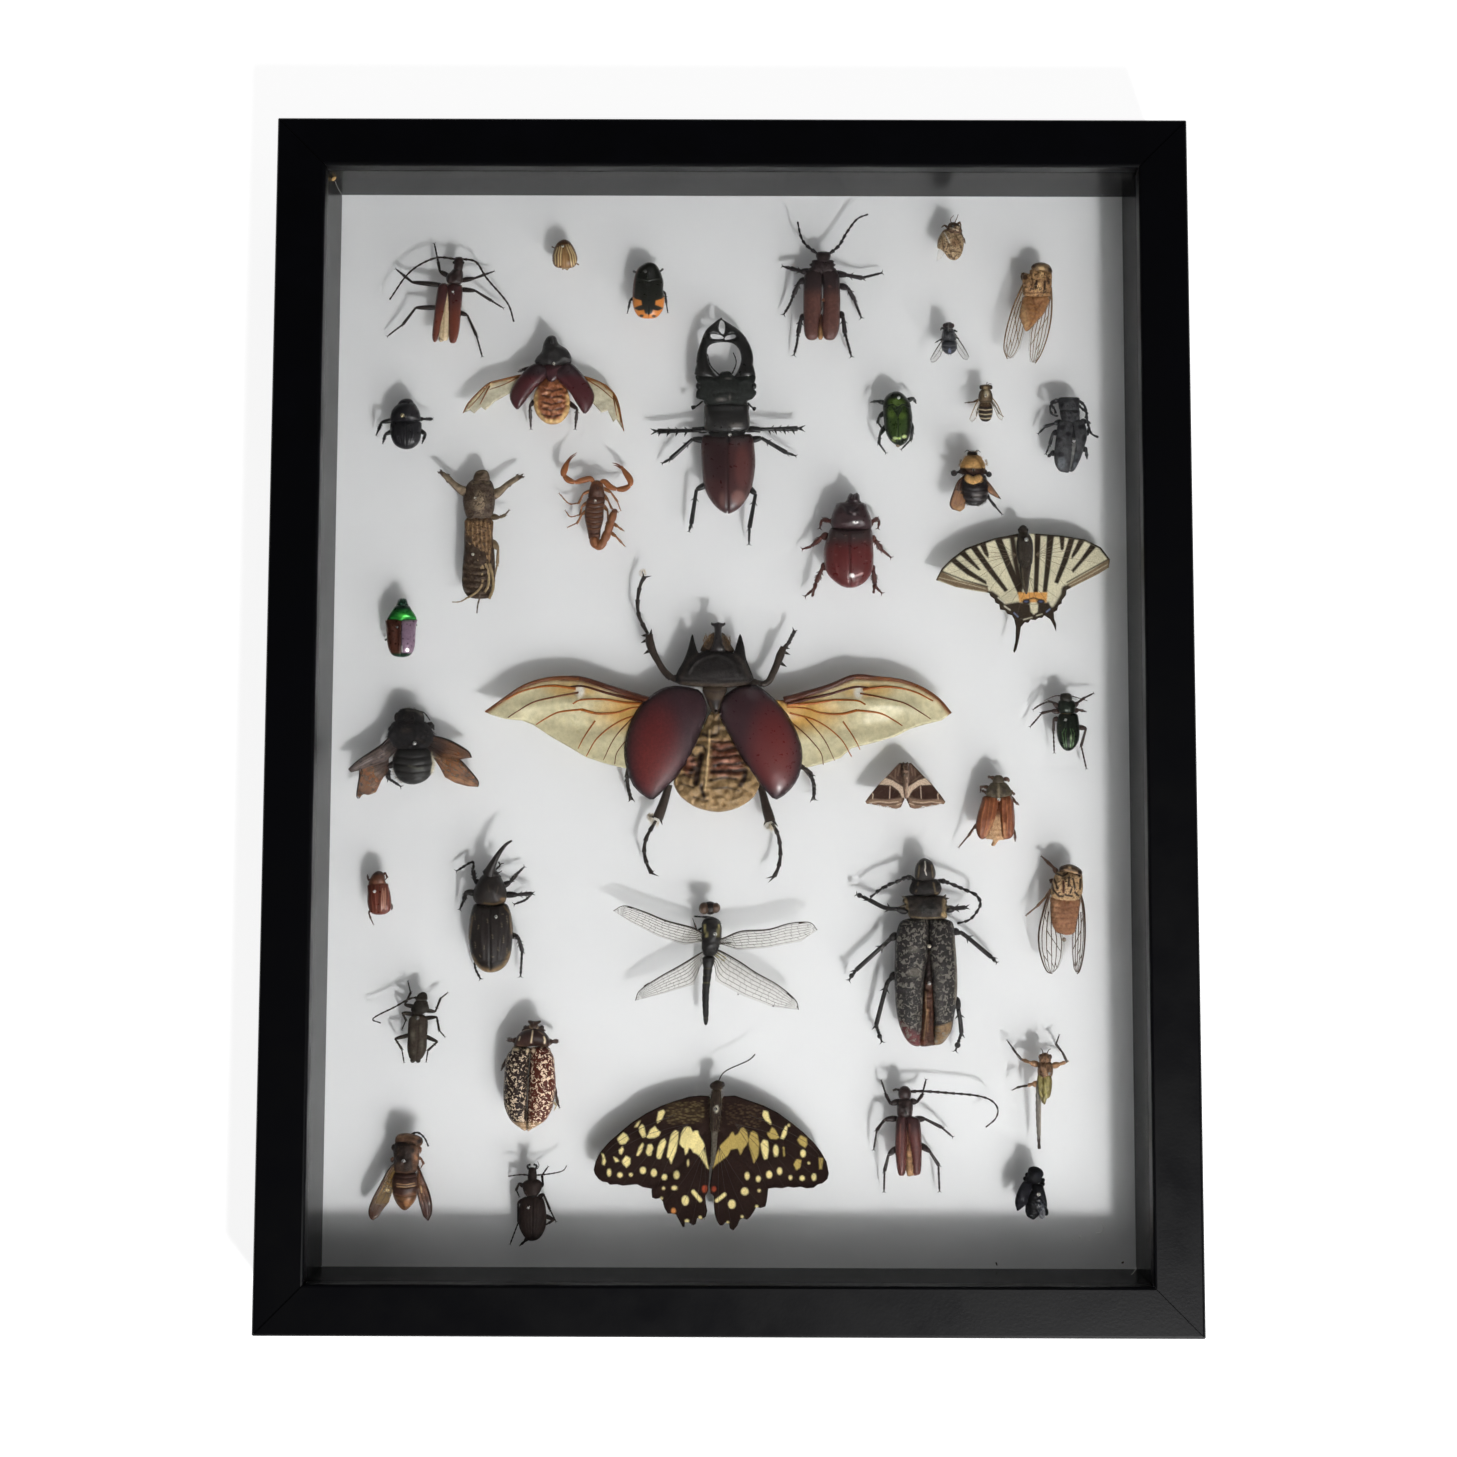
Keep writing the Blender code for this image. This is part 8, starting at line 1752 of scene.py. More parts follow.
@at(62, -23)
def moth(p):
    brown, pale, low = (74, 55, 45), (192, 170, 148), (128, 104, 86)
    half = [(0.9, 7.2), (2, 7.4), (3.2, 6.2), (6.4, 2.8), (9.6, -0.4), (12.2, -3.6), (14.2, -6.4),
            (13.6, -7.3), (12, -7.1), (10.8, -7.7), (9.4, -7.5), (7.8, -8.2), (6.2, -8), (4.6, -8.8),
            (3, -8.9), (1.6, -8.4), (0.8, -6.6), (0.3, -5.6)]
    for side, h in ((-1, 9.9), (1, 9.6)):
        zones = [(pale, 0.35, [(7.2, 2.2), (9.4, -0.4), (5, -0.7), (2.6, -2.4), (1.2, -5), (0.3, -5),
                               (0.3, -1.4), (2.5, 0), (4.4, 1.2)]),
                 ((56, 38, 31), 0.3, [(12.2, -3.2), (10.4, -0.8), (6.4, -0.8), (1.6, -3.6), (3.4, -5.2),
                                      (7, -5.6), (11.6, -5.2)]),
                 (low, 0.6, [(1, -5), (3.6, -5.4), (7, -5.8), (12, -5.4), (14.6, -6.6), (12, -9),
                             (2, -9.4)])]
        marks = [(tone, soft, "area", mirrored(side, zone)) for tone, soft, zone in zones]
        marks += [(pale, 0.2, "line", 0.3, mirrored(side, line))
                  for line in ([(12.2, -2.6), (11.4, -4), (11.6, -5.4)],
                               [(2.6, -6.4), (6, -6.8), (9, -6.4), (12.6, -6.8)],
                               [(5.4, -1), (5.6, -5.2)], [(1.4, -7), (3, -7.6)])]
        marks += [((112, 90, 76), 0.5, "line", 0.4, mirrored(side, line))
                  for line in ([(2, 6.4), (2.6, 3)], [(3.4, 5), (3.6, 1.6)], [(1, 4), (1.4, 0.6)],
                               [(5.6, 3), (2.4, 0.6)])]
        marks += [((58, 40, 34), 0.3, "line", 0.25, mirrored(side, line))
                  for line in ([(3, -7.2), (6.4, -7.4), (10, -7)],
                               [(7.4, 2.2), (4.4, 1.2), (2.5, 0), (0.3, -1.4)],
                               [(9.4, -0.5), (5, -0.8), (2.6, -2.6), (1.4, -4.6)])]
        p.sheet(mirrored(side, half), h, brown, "scales", marks, spacing=0.24, waves=(3, 0.35))
        for end in ((9, 0), (11.6, -3), (13, -6.6), (9.4, -7.2), (6, -7.8), (3, -8.4)):
            p.vein([(side * 1, 3), (side * (1 + end[0]) / 2, (3 + end[1]) / 2 + 0.3),
                    (side * end[0], end[1])], 0.06, (72, 54, 46))
    p.dome([(-0.9, 7.6), (0, 7.2), (1, 7.6), (1.4, 5), (1.1, 0), (0.7, -4.6), (0.2, -5.4), (-0.4, -4.6),
            (-0.9, 0), (-1.3, 5)], 9.9, 1.8, (128, 104, 88), "velvet",
           [(brown, 0.5, "above", 4.6), (pale, 0.4, "line", 0.3, [(0.6, 4), (0.7, -3)])], spacing=0.26,
           waves=(0.9, 0.3))
    for x, y in ((0, 6), (0.2, 3.4), (0, 1)):
        p.tuft(x, y, 11.4, 0.9, 120, 0.9, (112, 90, 74), (0, -0.8, 0.5), 0.05)
    p.fringe([(-12.6, -6.9), (-7.6, -7.9), (-3, -8.7)], 9.8, 120, 0.6, (122, 98, 82), (-0.1, -1, 0), 0.06)
    p.fringe([(12.6, -6.9), (7.6, -7.9), (3, -8.7)], 9.6, 120, 0.6, (122, 98, 82), (0.1, -1, 0), 0.06)
    p.pin(-0.2, 3.2, r=0.4, colour=(120, 108, 98))


@at(92, -32.95)
def cockchafer(p):
    fuzz, shell = (78, 69, 55), (116, 66, 42)
    p.dome([(1.8, 12.9), (4, 12.9), (5, 11.4), (4.4, 9.8), (1.4, 9.8), (0.9, 11.4)], 9, 2, (86, 76, 62),
           "rough", spacing=0.3)
    p.dome([(1, 10.6), (5, 10.6), (7, 8.6), (7.8, 6.4), (6.8, 5), (3, 4.6), (-0.6, 5), (-1.6, 6.6),
            (-0.8, 8.8)], 9.2, 3, fuzz, "rough",
           [((126, 114, 92), 0.8, "line", 0.5, [(3, 10), (3, 5.4)]),
            ((52, 44, 36), 0.9, "spot", 1.2, 7.4, 1, 0.9), ((52, 44, 36), 0.9, "spot", 5, 7.4, 1, 0.9)],
           waves=(1.2, 0.5), spacing=0.32)
    p.dome([(0, 4), (6, 4), (6.6, -6), (5.4, -9.6), (3, -10), (1.4, -12), (0.2, -11.6), (0.8, -9.8),
            (-2.4, -9), (-2, -4)], 8.8, 2, (172, 138, 104), "dull",
           [((100, 58, 38), 3, "above", -1.4)]
           + [((150, 116, 84), 0.4, "line", 0.35, [(-2, y), (5.6, y)]) for y in (-4.4, -6.4, -8.2)],
           waves=(1, 0.4), spacing=0.36)
    for outline, ribs, tan in (([(-2.2, 5.6), (2.6, 5.6), (3, 3.6), (2.4, -1), (1, -5), (-0.6, -8.2),
                                 (-2.4, -9.6), (-3.8, -9.3), (-4.8, -7.6), (-5.2, -4.6), (-4.4, -0.4),
                                 (-3.2, 3.4)],
                                ([(-1.4, 4.6), (-3, -2), (-3.6, -8)], [(0, 4.8), (-1, -2), (-2.2, -8)],
                                 [(1.6, 4.8), (0.6, -1), (-0.9, -6.6)]),
                                ((168, 122, 86), 0.8, "line", 0.7, [(0.8, -3), (-1.6, -8.6)])),
                               ([(3.4, 5.6), (7.4, 5.8), (8.4, 2), (8.7, -3), (8.3, -7.4), (7, -9.3),
                                 (5, -9.6), (3.9, -8.6), (3.3, -3), (3.2, 2)],
                                ([(4.4, 4.8), (4.4, -2), (4.6, -8.6)],
                                 [(5.8, 4.8), (6, -2), (5.8, -8.8)],
                                 [(7.2, 4.6), (7.4, -2), (7.2, -8)]),
                                ((172, 126, 90), 1, "line", 1, [(4.8, -4.4), (5, -8.8)]))):
        marks = [tan, *(((160, 100, 64), 0.3, "line", 0.28, line) for line in ribs),
                 ((88, 44, 28), 0.4, "line", 0.3, [*outline, outline[0]])]
        p.dome(outline, 9.2, 3, shell, "satin", marks, under=0.3, waves=(1.8, 0.25), spacing=0.3,
               puff=0.42, relief=[(line, 0.25, 0.26) for line in ribs])
    p.legs(0.5, (78, 52, 38), "satin", 1, [(0, 8.4), (-2.2, 9), (-3.2, 8.8), (-3.4, 7.4)],
           [(1.4, 12), (-0.4, 12.4)], [(4.8, 11.6), (6.4, 11.8), (6.6, 10.8)],
           [(-0.8, 6.6), (-2.6, 7.4)], [(7, 7.4), (8.4, 6.4)], [(6.8, 5.6), (8.8, 3.6), (10, 2.6)],
           [(-4, -4), (-6, -5.8), (-7.6, -8.2), (-10.8, -12)], [(7.4, -5.6), (8.6, -7.6), (8.7, -10)])
    p.pin(3.1, 4.4, r=0.65, colour=(235, 235, 232))


@at(-123, -63)
def brown_chafer(p):
    p.dome([(-1.3, 8.6), (-2.8, 7.7), (-4, 5.8), (-4.3, 3.8), (-1, 3.2), (1.9, 3.8), (1.5, 5), (1.2, 7),
            (0.3, 8.3)], 9, 2.6, (88, 54, 39), "satin", [((60, 38, 30), 0.8, "above", 7.2)],
           spacing=0.26)
    pale = (176, 134, 112)
    ribs = [[(-3.2, 3.4), (-3.4, -1), (-2.6, -5.6)], [(-2, 3.4), (-2, -1), (-1.6, -6)],
            [(0.5, 2.4), (0.2, -1), (0.2, -5.4)], [(1.5, 2.6), (1.7, -1), (1.5, -5)],
            [(2.4, 2.4), (2.8, -1), (2.4, -4.6)]]
    # the light band and the pale ribs on the right are painted highlights
    marks = [((150, 104, 84), 0.6, "area", [(0.8, 1.6), (1.3, 1.6), (1.4, -4.6), (0.5, -4.8)])]
    marks += [(pale, 0.25, "line", 0.22, line) for line in ribs[2:4]]
    marks += [((122, 70, 54), 0.25, "line", 0.22, line) for line in ribs[:2] + ribs[4:]]
    marks += [((40, 22, 20), 0.2, "line", 0.2, [(-0.6, 3), (-0.6, -6.4)])]
    p.dome([(-4.3, 4.2), (1.8, 4.4), (2.7, 3), (3.5, 0), (3.8, -3), (3.3, -5.3), (1.5, -6.6),
            (-1.5, -6.8), (-3.6, -5.9), (-4.7, -3), (-4.7, 1)], 9, 3, (94, 45, 33), "gloss", marks,
           spacing=0.22, puff=0.42, relief=[(line, 0.14, 0.16) for line in ribs])
    p.legs(0.36, (72, 42, 30), "satin", 0, [(0, 6.6), (1.4, 8), (2.1, 6.4), (1, 5)],
           [(-3, 5), (-4.6, 5.6), (-4.9, 7.2)], [(-3, -4.6), (-4.2, -6), (-3.5, -8), (-2.6, -9.9)],
           [(2.8, -2.6), (4, -3.6), (3.9, -5)])
    p.pin(-2.3, 1.4, r=0.6, colour=(235, 235, 230))


@at(-82, -68.2)
def horned_beetle(p):
    tone, tan = (36, 31, 29), (112, 90, 60)
    dust = [((120, 108, 90), 0.2, "line", 0.16, [(x, y), (x + dx, y - dy)])
            for x, y, dx, dy in ((-8, -1, 0.3, 2), (-6.4, -5, -0.2, 1.6), (-3.4, -3, 0.2, 1.4),
                                 (1.6, -4, 0.2, 2), (3.4, -2, 0.4, 2.6), (2.4, -9, 0, 2.4),
                                 (-1.6, -8, 0.2, 1.6), (-7.6, -11, 0.2, 2), (-4.4, -12, 0, 1.8),
                                 (0.4, -13, 0.3, 1.4), (3.6, -13, 0, 2), (-6, -15.6, 0.6, 0.8),
                                 (-2, -16, 1, 0.3), (1.4, -1, 0.8, 0.3))]
    path = even([(-3, 13, 11), (-1.9, 16, 12.6), (0.2, 19.8, 13.6), (2.7, 23.1, 13.4),
                 (4.9, 24.6, 12.8)], 0.4)
    radii = np.linspace(1.9, 0.45, len(path)) * (0.8 + 0.5 * np.exp(-np.linspace(0, 6, len(path))))
    p.tube(path, radii, (34, 29, 27), "satin", 10)
    p.tube(even([(-0.6, 14.4, 10), (0.8, 15.8, 10.4), (0.3, 17.2, 10.6)], 0.3), 0.3, (34, 29, 27), "satin", 7)
    for points in ([(-0.4, 14.8), (1.2, 16.4), (2.2, 16.6)], [(-0.8, 13.8), (0.4, 13.4), (1.6, 14)]):
        p.feeler(0.28, (44, 37, 33), "thread", points)
    p.dome([(-4.2, 13.6), (-2.4, 16), (-1, 14.6), (0.6, 13), (1, 11.4), (-5.4, 11.4)], 9.4, 3.4, tone,
           "satin", spacing=0.4)
    p.dome([(-4.8, 12.9), (-0.2, 12.9), (1.8, 10.8), (3.2, 7.4), (3.3, 4.6), (2.4, 2.6), (-1, 1.6),
            (-5.6, 1.8), (-8, 3.2), (-8.6, 5.6), (-7.6, 9)], 9.4, 5.2, tone, "satin",
           [(tan, 0.4, "line", 0.3, [(-4.6, 2.6), (-1, 2.2), (2.6, 3.4)]),
            ((104, 82, 58), 0.5, "spot", 2, 4, 1, 0.6),
            ((86, 76, 66), 0.3, "line", 0.2, [(-3.4, 9), (-2.8, 6.6)]),
            ((86, 76, 66), 0.3, "line", 0.2, [(0.4, 8.6), (-0.2, 5.8)])], waves=(2.4, 0.3), spacing=0.4)
    seam = [(-2.6, 2.4), (-2.4, -8), (-2.2, -21)]
    p.dome([(-7.6, 2.4), (-2.6, 1.6), (2.6, 2.6), (4.4, 0.6), (5.5, -4), (5.6, -10), (5, -15.4),
            (3.4, -19), (1, -21), (-2, -21.7), (-5, -21), (-7.6, -18.4), (-9.4, -14), (-10, -8),
            (-9.6, -3), (-8.8, 0.4)], 9.4, 5.4, tone, "satin",
           [(tan, 1.4, "line", 1.4, [(-9, -16), (-6, -20.4), (-1.6, -21.4), (2.6, -19.4), (5, -15)]),
            ((30, 26, 24), 0.35, "line", 0.35, [(-7.6, -17.4), (-2, -18.6), (3.6, -17)]),
            (tan, 0.7, "line", 0.4, [(2.4, 1.6), (4.6, -1), (5.2, -8)]),
            (tan, 0.5, "line", 0.3, [(-8.6, -2), (-9.6, -10)]), ((28, 24, 22), 0.3, "line", 0.35, seam),
            *dust], spacing=0.42, puff=0.4,
           relief=[(seam, 0.3, -0.4), ([(-5.4, 1), (-5.6, -9), (-4.8, -17)], 0.6, 0.3),
                   ([(0.8, 1), (1.4, -9), (0.8, -17)], 0.6, 0.3),
                   ([(-7.6, -17.4), (-2, -18.6), (3.6, -17)], 0.3, -0.35)])
    p.legs(0.75, (32, 28, 27), "satin", 2,
           [(-5.6, 9), (-8, 10.6), (-8.6, 14), (-8.9, 17), (-13.6, 14.4)],
           [(-7, 6), (-11, 6.6), (-11.6, 4), (-12.8, 1.2)],
           [(1.4, 8.4), (4.4, 10), (6.6, 12.6), (8.8, 14.8)],
           [(2, 5.6), (7, 5.6), (12, 6), (10, 3.8), (7, 2.6)],
           [(-8.6, -10.6), (-9, -12), (-7.6, -16), (-7.4, -20), (-6, -23)],
           [(4.6, -8.4), (7.6, -9.4), (9, -14), (8.8, -18), (8.6, -22)])
    p.pin(-0.5, -2.2, r=0.7, colour=(215, 215, 210))


@at(-5, -85)
def dragonfly(p):
    p.body([(-2, 20.3, 1.8), (-2, 18, 3), (-1.9, 15.6, 1.6)],
           [("head", 15.6, (34, 28, 25), "satin", {})], 0.7)
    p.ball(-4, 17.8, 9.6, 2, (76, 56, 42), "gloss", long=1.1)
    p.ball(0, 18, 9.6, 1.7, (76, 56, 42), "gloss", long=1.1)
    p.body([(-1.7, 15, 1.4), (-1.5, 13, 3.2), (-1.4, 9, 3.6), (-1.8, 4, 3), (-2.3, 0.8, 2.2)],
           [("thorax", 0.8, (30, 28, 27), "satin",
             dict(lumps=(1.5, 0.4), hair=(260, 0.7, (80, 72, 60)),
                  paint=[((150, 140, 90), 0.5, "line", 0.5, [(-4, 12), (-3.2, 8)]),
                         ((150, 140, 90), 0.5, "line", 0.5, [(1.2, 12), (0.9, 8)])]))], 0.85)
    p.body([(-2.3, 1.6, 2), (-2.4, 0, 2.4), (-2.7, -3.5, 1.7), (-3.4, -12, 1.3), (-3.3, -20, 1),
            (-3.3, -23, 0.5)],
           [("abdomen", -23, (28, 26, 25), "satin",
             dict(segments=10, notch=0.12, bands=((96, 88, 60), 0.9)))], 0.9)
    veins = (0.085, (48, 40, 33))
    wings = (([(-2, 9), (-5, 9.3), (-8, 11), (-17.5, 13.5), (-25, 16.5), (-32, 18.6), (-36, 16.8),
               (-30, 13), (-20, 7.8), (-11, 5), (-5, 6), (-2, 7)], 6, 10.4),
             ([(-1, 7.4), (2.3, 7.2), (9, 9.8), (18.5, 10.5), (26, 12.6), (33, 13), (35.8, 10.3),
               (30, 6.3), (18, 4), (8, 3.2), (2.5, 5), (-1, 5.8)], 6, 10.4),
             ([(-2, 3), (-4.5, 2.5), (-12, -2), (-20, -6.5), (-26.5, -11), (-28, -14.5), (-18, -12),
               (-7.5, -8.8), (-5, -2), (-2, 0)], 5, 9.8),
             ([(-1, 3.4), (1.5, 3), (9, -1.2), (14, -4.5), (22, -9), (28, -14), (29.2, -17.5),
               (20, -16.5), (10, -12.8), (0, -7.5), (-0.3, -3), (-1.4, 0)], 6, 9.8))
    spots = ([(-31, 18.3), (-28.8, 17.8)], [(29.3, 12.8), (31.8, 13.1)], [(-25, -9.6), (-23.3, -8.3)],
             [(25.2, -11.5), (27.5, -13.7)])
    nodes = ((-17.8, 13.3), (18.5, 10.5), (-14.5, -3.8), (14, -4.7))
    for (outline, tip, h), spot, node in zip(wings, spots, nodes):
        p.wing(outline, tip, h, (214, 206, 188), "clear", net=(7, 13), vein=veins, costa=0.26,
               waves=(8, 0.7), spacing=0.7, thick=0.05, under=0.05)
        p.vein(spot, 0.32, (40, 30, 24), sides=6)
        p.ball(*node, h + 0.2, 0.32, (40, 30, 24), steps=6)
    for x, y in ((8, -12.2), (20.3, -16.3)):
        p.ball(x, y, 10, 0.3, (40, 30, 24), steps=6)
    p.legs(0.3, (28, 25, 23), "satin", 3, [(-1.6, 14.6), (-7.3, 15)], [(-2.5, 12), (-6.5, 10), (-8, 14)],
           [(-2, 6.2), (-6, 6.8)], [(0, 5.4), (5.3, 5.8)])
    p.legs(0.3, (200, 192, 150), "satin", 2, [(-0.8, 3.2), (3.5, 0.5)], [(-0.8, 2), (3, -0.5)])
    p.pin(-0.2, 8.8, colour=(220, 220, 215))


# ---------------------------------------------------------------- insects, bottom rows

@at(68, -82)
def giant_longhorn_beetle(p):
    black, leg, dust = (35, 32, 31), (38, 35, 34), (116, 100, 74)
    p.dome([(-2.9, 25.4), (4.8, 25.4), (6.4, 23), (6.6, 21.6), (5.6, 19.9), (2.8, 19.2), (-1.4, 19.2),
            (-4.2, 20.2), (-4.8, 21.8), (-4, 24)], 9.4, 3.8, black, "rough",
           [(dust, 0.6, "line", 0.3, [(-2.4, 21), (-1.6, 24)]),
            (dust, 0.6, "line", 0.3, [(4.4, 21), (3.8, 24)]), (dust, 0.5, "spot", 5, 20.2, 0.7, 0.4),
            ((30, 27, 26), 0.5, "spot", -2.8, 22.4, 1.4, 1)], waves=(1.6, 0.4), spacing=0.36)
    p.dome([(0.4, 32.7), (1.8, 32.4), (3.4, 31.2), (4.3, 29), (4.6, 27), (4, 25.2), (3.6, 24.4),
            (-1.8, 24.4), (-2.7, 25.8), (-2.8, 28.6), (-2.2, 30.6), (-1, 32.1)], 9.6, 4.2, black,
           "satin",
           [((222, 216, 204), 0.2, "line", 0.3, [(0.8, 31.6), (1, 29.6), (0.8, 28.4), (1.3, 26.8)]),
            (dust, 0.5, "line", 0.3, [(-1.2, 30), (-1.6, 26)]),
            (dust, 0.5, "line", 0.3, [(3.2, 30), (3.6, 26)])], spacing=0.28, waves=(1.4, 0.2))
    p.dome([(-5, 19.6), (6.4, 19.6), (7.8, 18.8), (8.6, 17.6), (8.4, 16.4), (9, 15.4), (8.2, 14.2),
            (8.6, 12.7), (7.6, 11.2), (1.6, 10.8), (-3.8, 11.2), (-5.2, 12.8), (-5.2, 14.2), (-6.4, 15),
            (-6.2, 16.4), (-7.2, 17.4), (-6.6, 18.8)], 9.4, 4.6, (44, 39, 35), "rough",
           [(dust, 0.7, "line", 0.9, [(-6, 18), (-5.2, 12.4)]),
            (dust, 0.9, "line", 1.2, [(7.6, 18), (7.6, 12.4)]),
            ((152, 130, 92), 0.5, "spot", 7.4, 12.8, 0.9, 0.9),
            ((34, 31, 29), 1.2, "spot", 1.6, 15.4, 3.2, 2.6),
            (dust, 0.4, "line", 0.25, [(-4, 12), (1.6, 11.6), (7.6, 12)])], waves=(1.8, 0.6),
           spacing=0.38, puff=0.38)
    for root, tip in (((-6, 18.6), (-7.6, 19.2)), ((-6, 16), (-8.4, 15.6)), ((7.6, 18.4), (9.4, 18.6)),
                      ((8, 16), (9.6, 15.2)), ((7.6, 19), (8.2, 20))):
        p.spike((*root, 11), (*tip, 11.4), 0.6, (70, 62, 50), "satin")
    fold = (70, 45, 34)
    p.dome([(1.4, 6), (2.6, 6), (3.6, -8), (3.9, -20), (3.9, -29), (5, -32), (2.4, -32.9),
            (-1.6, -32.6), (-1.2, -26), (-0.2, -16), (0.4, -6)], 9.2, 3.2, fold, "rough",
           [((38, 30, 28), 3, "above", -11),
            ((158, 128, 96), 0.3, "line", 0.3, [(0.8, -14), (1, -22), (0, -31)]),
            ((64, 40, 30), 0.4, "line", 0.5, [(2.4, -14), (2.6, -24), (1.6, -32)]),
            ((108, 78, 52), 0.4, "line", 0.4, [(1.6, -20), (1.4, -28)]),
            ((84, 46, 34), 0.8, "spot", -0.4, -31.6, 1.2, 0.8)], waves=(1.6, 0.8), spacing=0.4,
           relief=[([(1, -12), (1, -22), (0.2, -32)], 0.35, 0.5),
                   ([(2.4, -12), (2.4, -32)], 0.35, -0.5)])
    left = [(-3.6, 11.6), (-7.2, 10.8), (-8.8, 8.6), (-9.7, 3.6), (-10, -2.5), (-10.1, -9.8),
            (-9.8, -17.6), (-8.9, -23.8), (-7.6, -28), (-5.8, -31.1), (-3.7, -32.8), (-1.2, -32.9),
            (-0.6, -29.9), (-0.3, -23.8), (0, -17.7), (0.3, -11.6), (0.9, -6.2), (1.9, 0), (2, 11.3)]
    right = [(2, 11.3), (5, 11.7), (9.4, 10.9), (10.8, 9.1), (11.3, 3.6), (11.9, -5.5), (12, -11.6),
             (11.6, -17.7), (10.8, -22.6), (9.8, -27.5), (8.5, -29.9), (6.7, -32), (4.9, -32.6),
             (3.4, -32), (3.8, -26.2), (3.3, -17.7), (3, -8.6), (2.3, -2), (2, 4)]
    p.dome(left, 9.4, 5, black, "mottled",
           [((82, 77, 70), 1.2, "spot", -3, -7.4, 2.6, 1.6),
            ((74, 70, 64), 1, "spot", -3.4, 0.6, 2, 1.2),
            ((84, 36, 36), 1.8, "area",
             [(-9.6, -23), (-4.6, -27), (-1, -29), (-1, -34), (-6, -33), (-9.6, -29)]),
            ((112, 106, 98), 0.2, "line", 0.25, [(0.7, -6.4), (0, -14), (-0.4, -24), (-0.8, -31)])],
           under=0.4, spacing=0.45, puff=0.36, waves=(2.4, 0.2))
    p.dome(right, 9.4, 5, black, "mottled",
           [((112, 100, 84), 1.2, "line", 0.8, [(11, 5), (11.8, -6), (11.4, -18)]),
            ((60, 57, 55), 1.6, "area", [(3.4, -6), (7, -5), (7, -24), (4, -25)]),
            ((120, 96, 68), 0.5, "area",
             [(3, -26.4), (5, -26), (7, -25.6), (10, -24.4), (10, -34), (3, -34)]),
            ((98, 74, 50), 0.5, "line", 0.4, [(4, -27.6), (6, -29), (8, -27)]),
            ((104, 98, 92), 0.2, "line", 0.25, [(2.9, -4), (3.2, -12), (3.6, -24)])], under=0.4,
           spacing=0.45, puff=0.36, waves=(2.4, 0.2))
    p.ball(2.2, 1.8, 14, 0.7, (176, 168, 150), "satin")
    p.legs(0.95, leg, "satin", 1, [(-5.4, 14), (-9, 14.8), (-13.4, 15.2), (-19, 18), (-22.2, 19.4)],
           [(8, 14.6), (11, 15), (14.8, 15.4)],
           [(-9, 6), (-11.6, 4.2), (-14, 2), (-23.6, -6.6), (-25.4, -9.2)],
           [(10.6, 7.4), (12.4, 6.4), (14.4, 5.9), (24, -2), (25.2, -3.2)],
           [(-9.6, -7.6), (-11.4, -9.6), (-12.9, -12), (-16.6, -25.8), (-15, -30.4)],
           [(11.4, -16), (12.2, -20), (12.9, -24), (13.3, -28.4), (11.6, -33.4)], ankle=3, thigh=1.3,
           shin=0.72)
    for x, y, r in ((-22.3, 19.5, 0.95), (24.9, -2.9, 0.7), (-25.2, -8.6, 0.9), (-15.4, -29.6, 0.9),
                    (11.9, -32.6, 1.1), (-13.4, 2.4, 0.8), (14.4, 5.8, 0.8), (-12.8, -11.4, 0.8)):
        p.ball(x, y, 8.2, r, leg, "satin", steps=7)
    for points in ([(-2.4, 24.8), (-5.2, 26), (-9, 24.4), (-13.4, 22.6), (-18.6, 18.8)],
                   [(4.4, 24.8), (8, 24.4), (15.4, 21.4), (18.9, 19.6), (20.3, 16.6), (18.2, 12.8),
                    (15.8, 10.8), (12, 9.8)]):
        p.feeler(0.8, leg, "saw", points, end=0.62)
    for x, y in ((-5, 25.9), (7.2, 24.6)):
        p.ball(x, y, 10, 1, leg, "satin", tall=0.8)
    for x, y in ((-13, 22.6), (-16, 21), (15.4, 21.4), (18.6, 19.9), (11.6, 23)):
        p.ball(x, y, 10.2, 0.72, leg, "satin", steps=6)
    p.pin(2.2, -11.2, r=0.75, colour=(232, 230, 226))


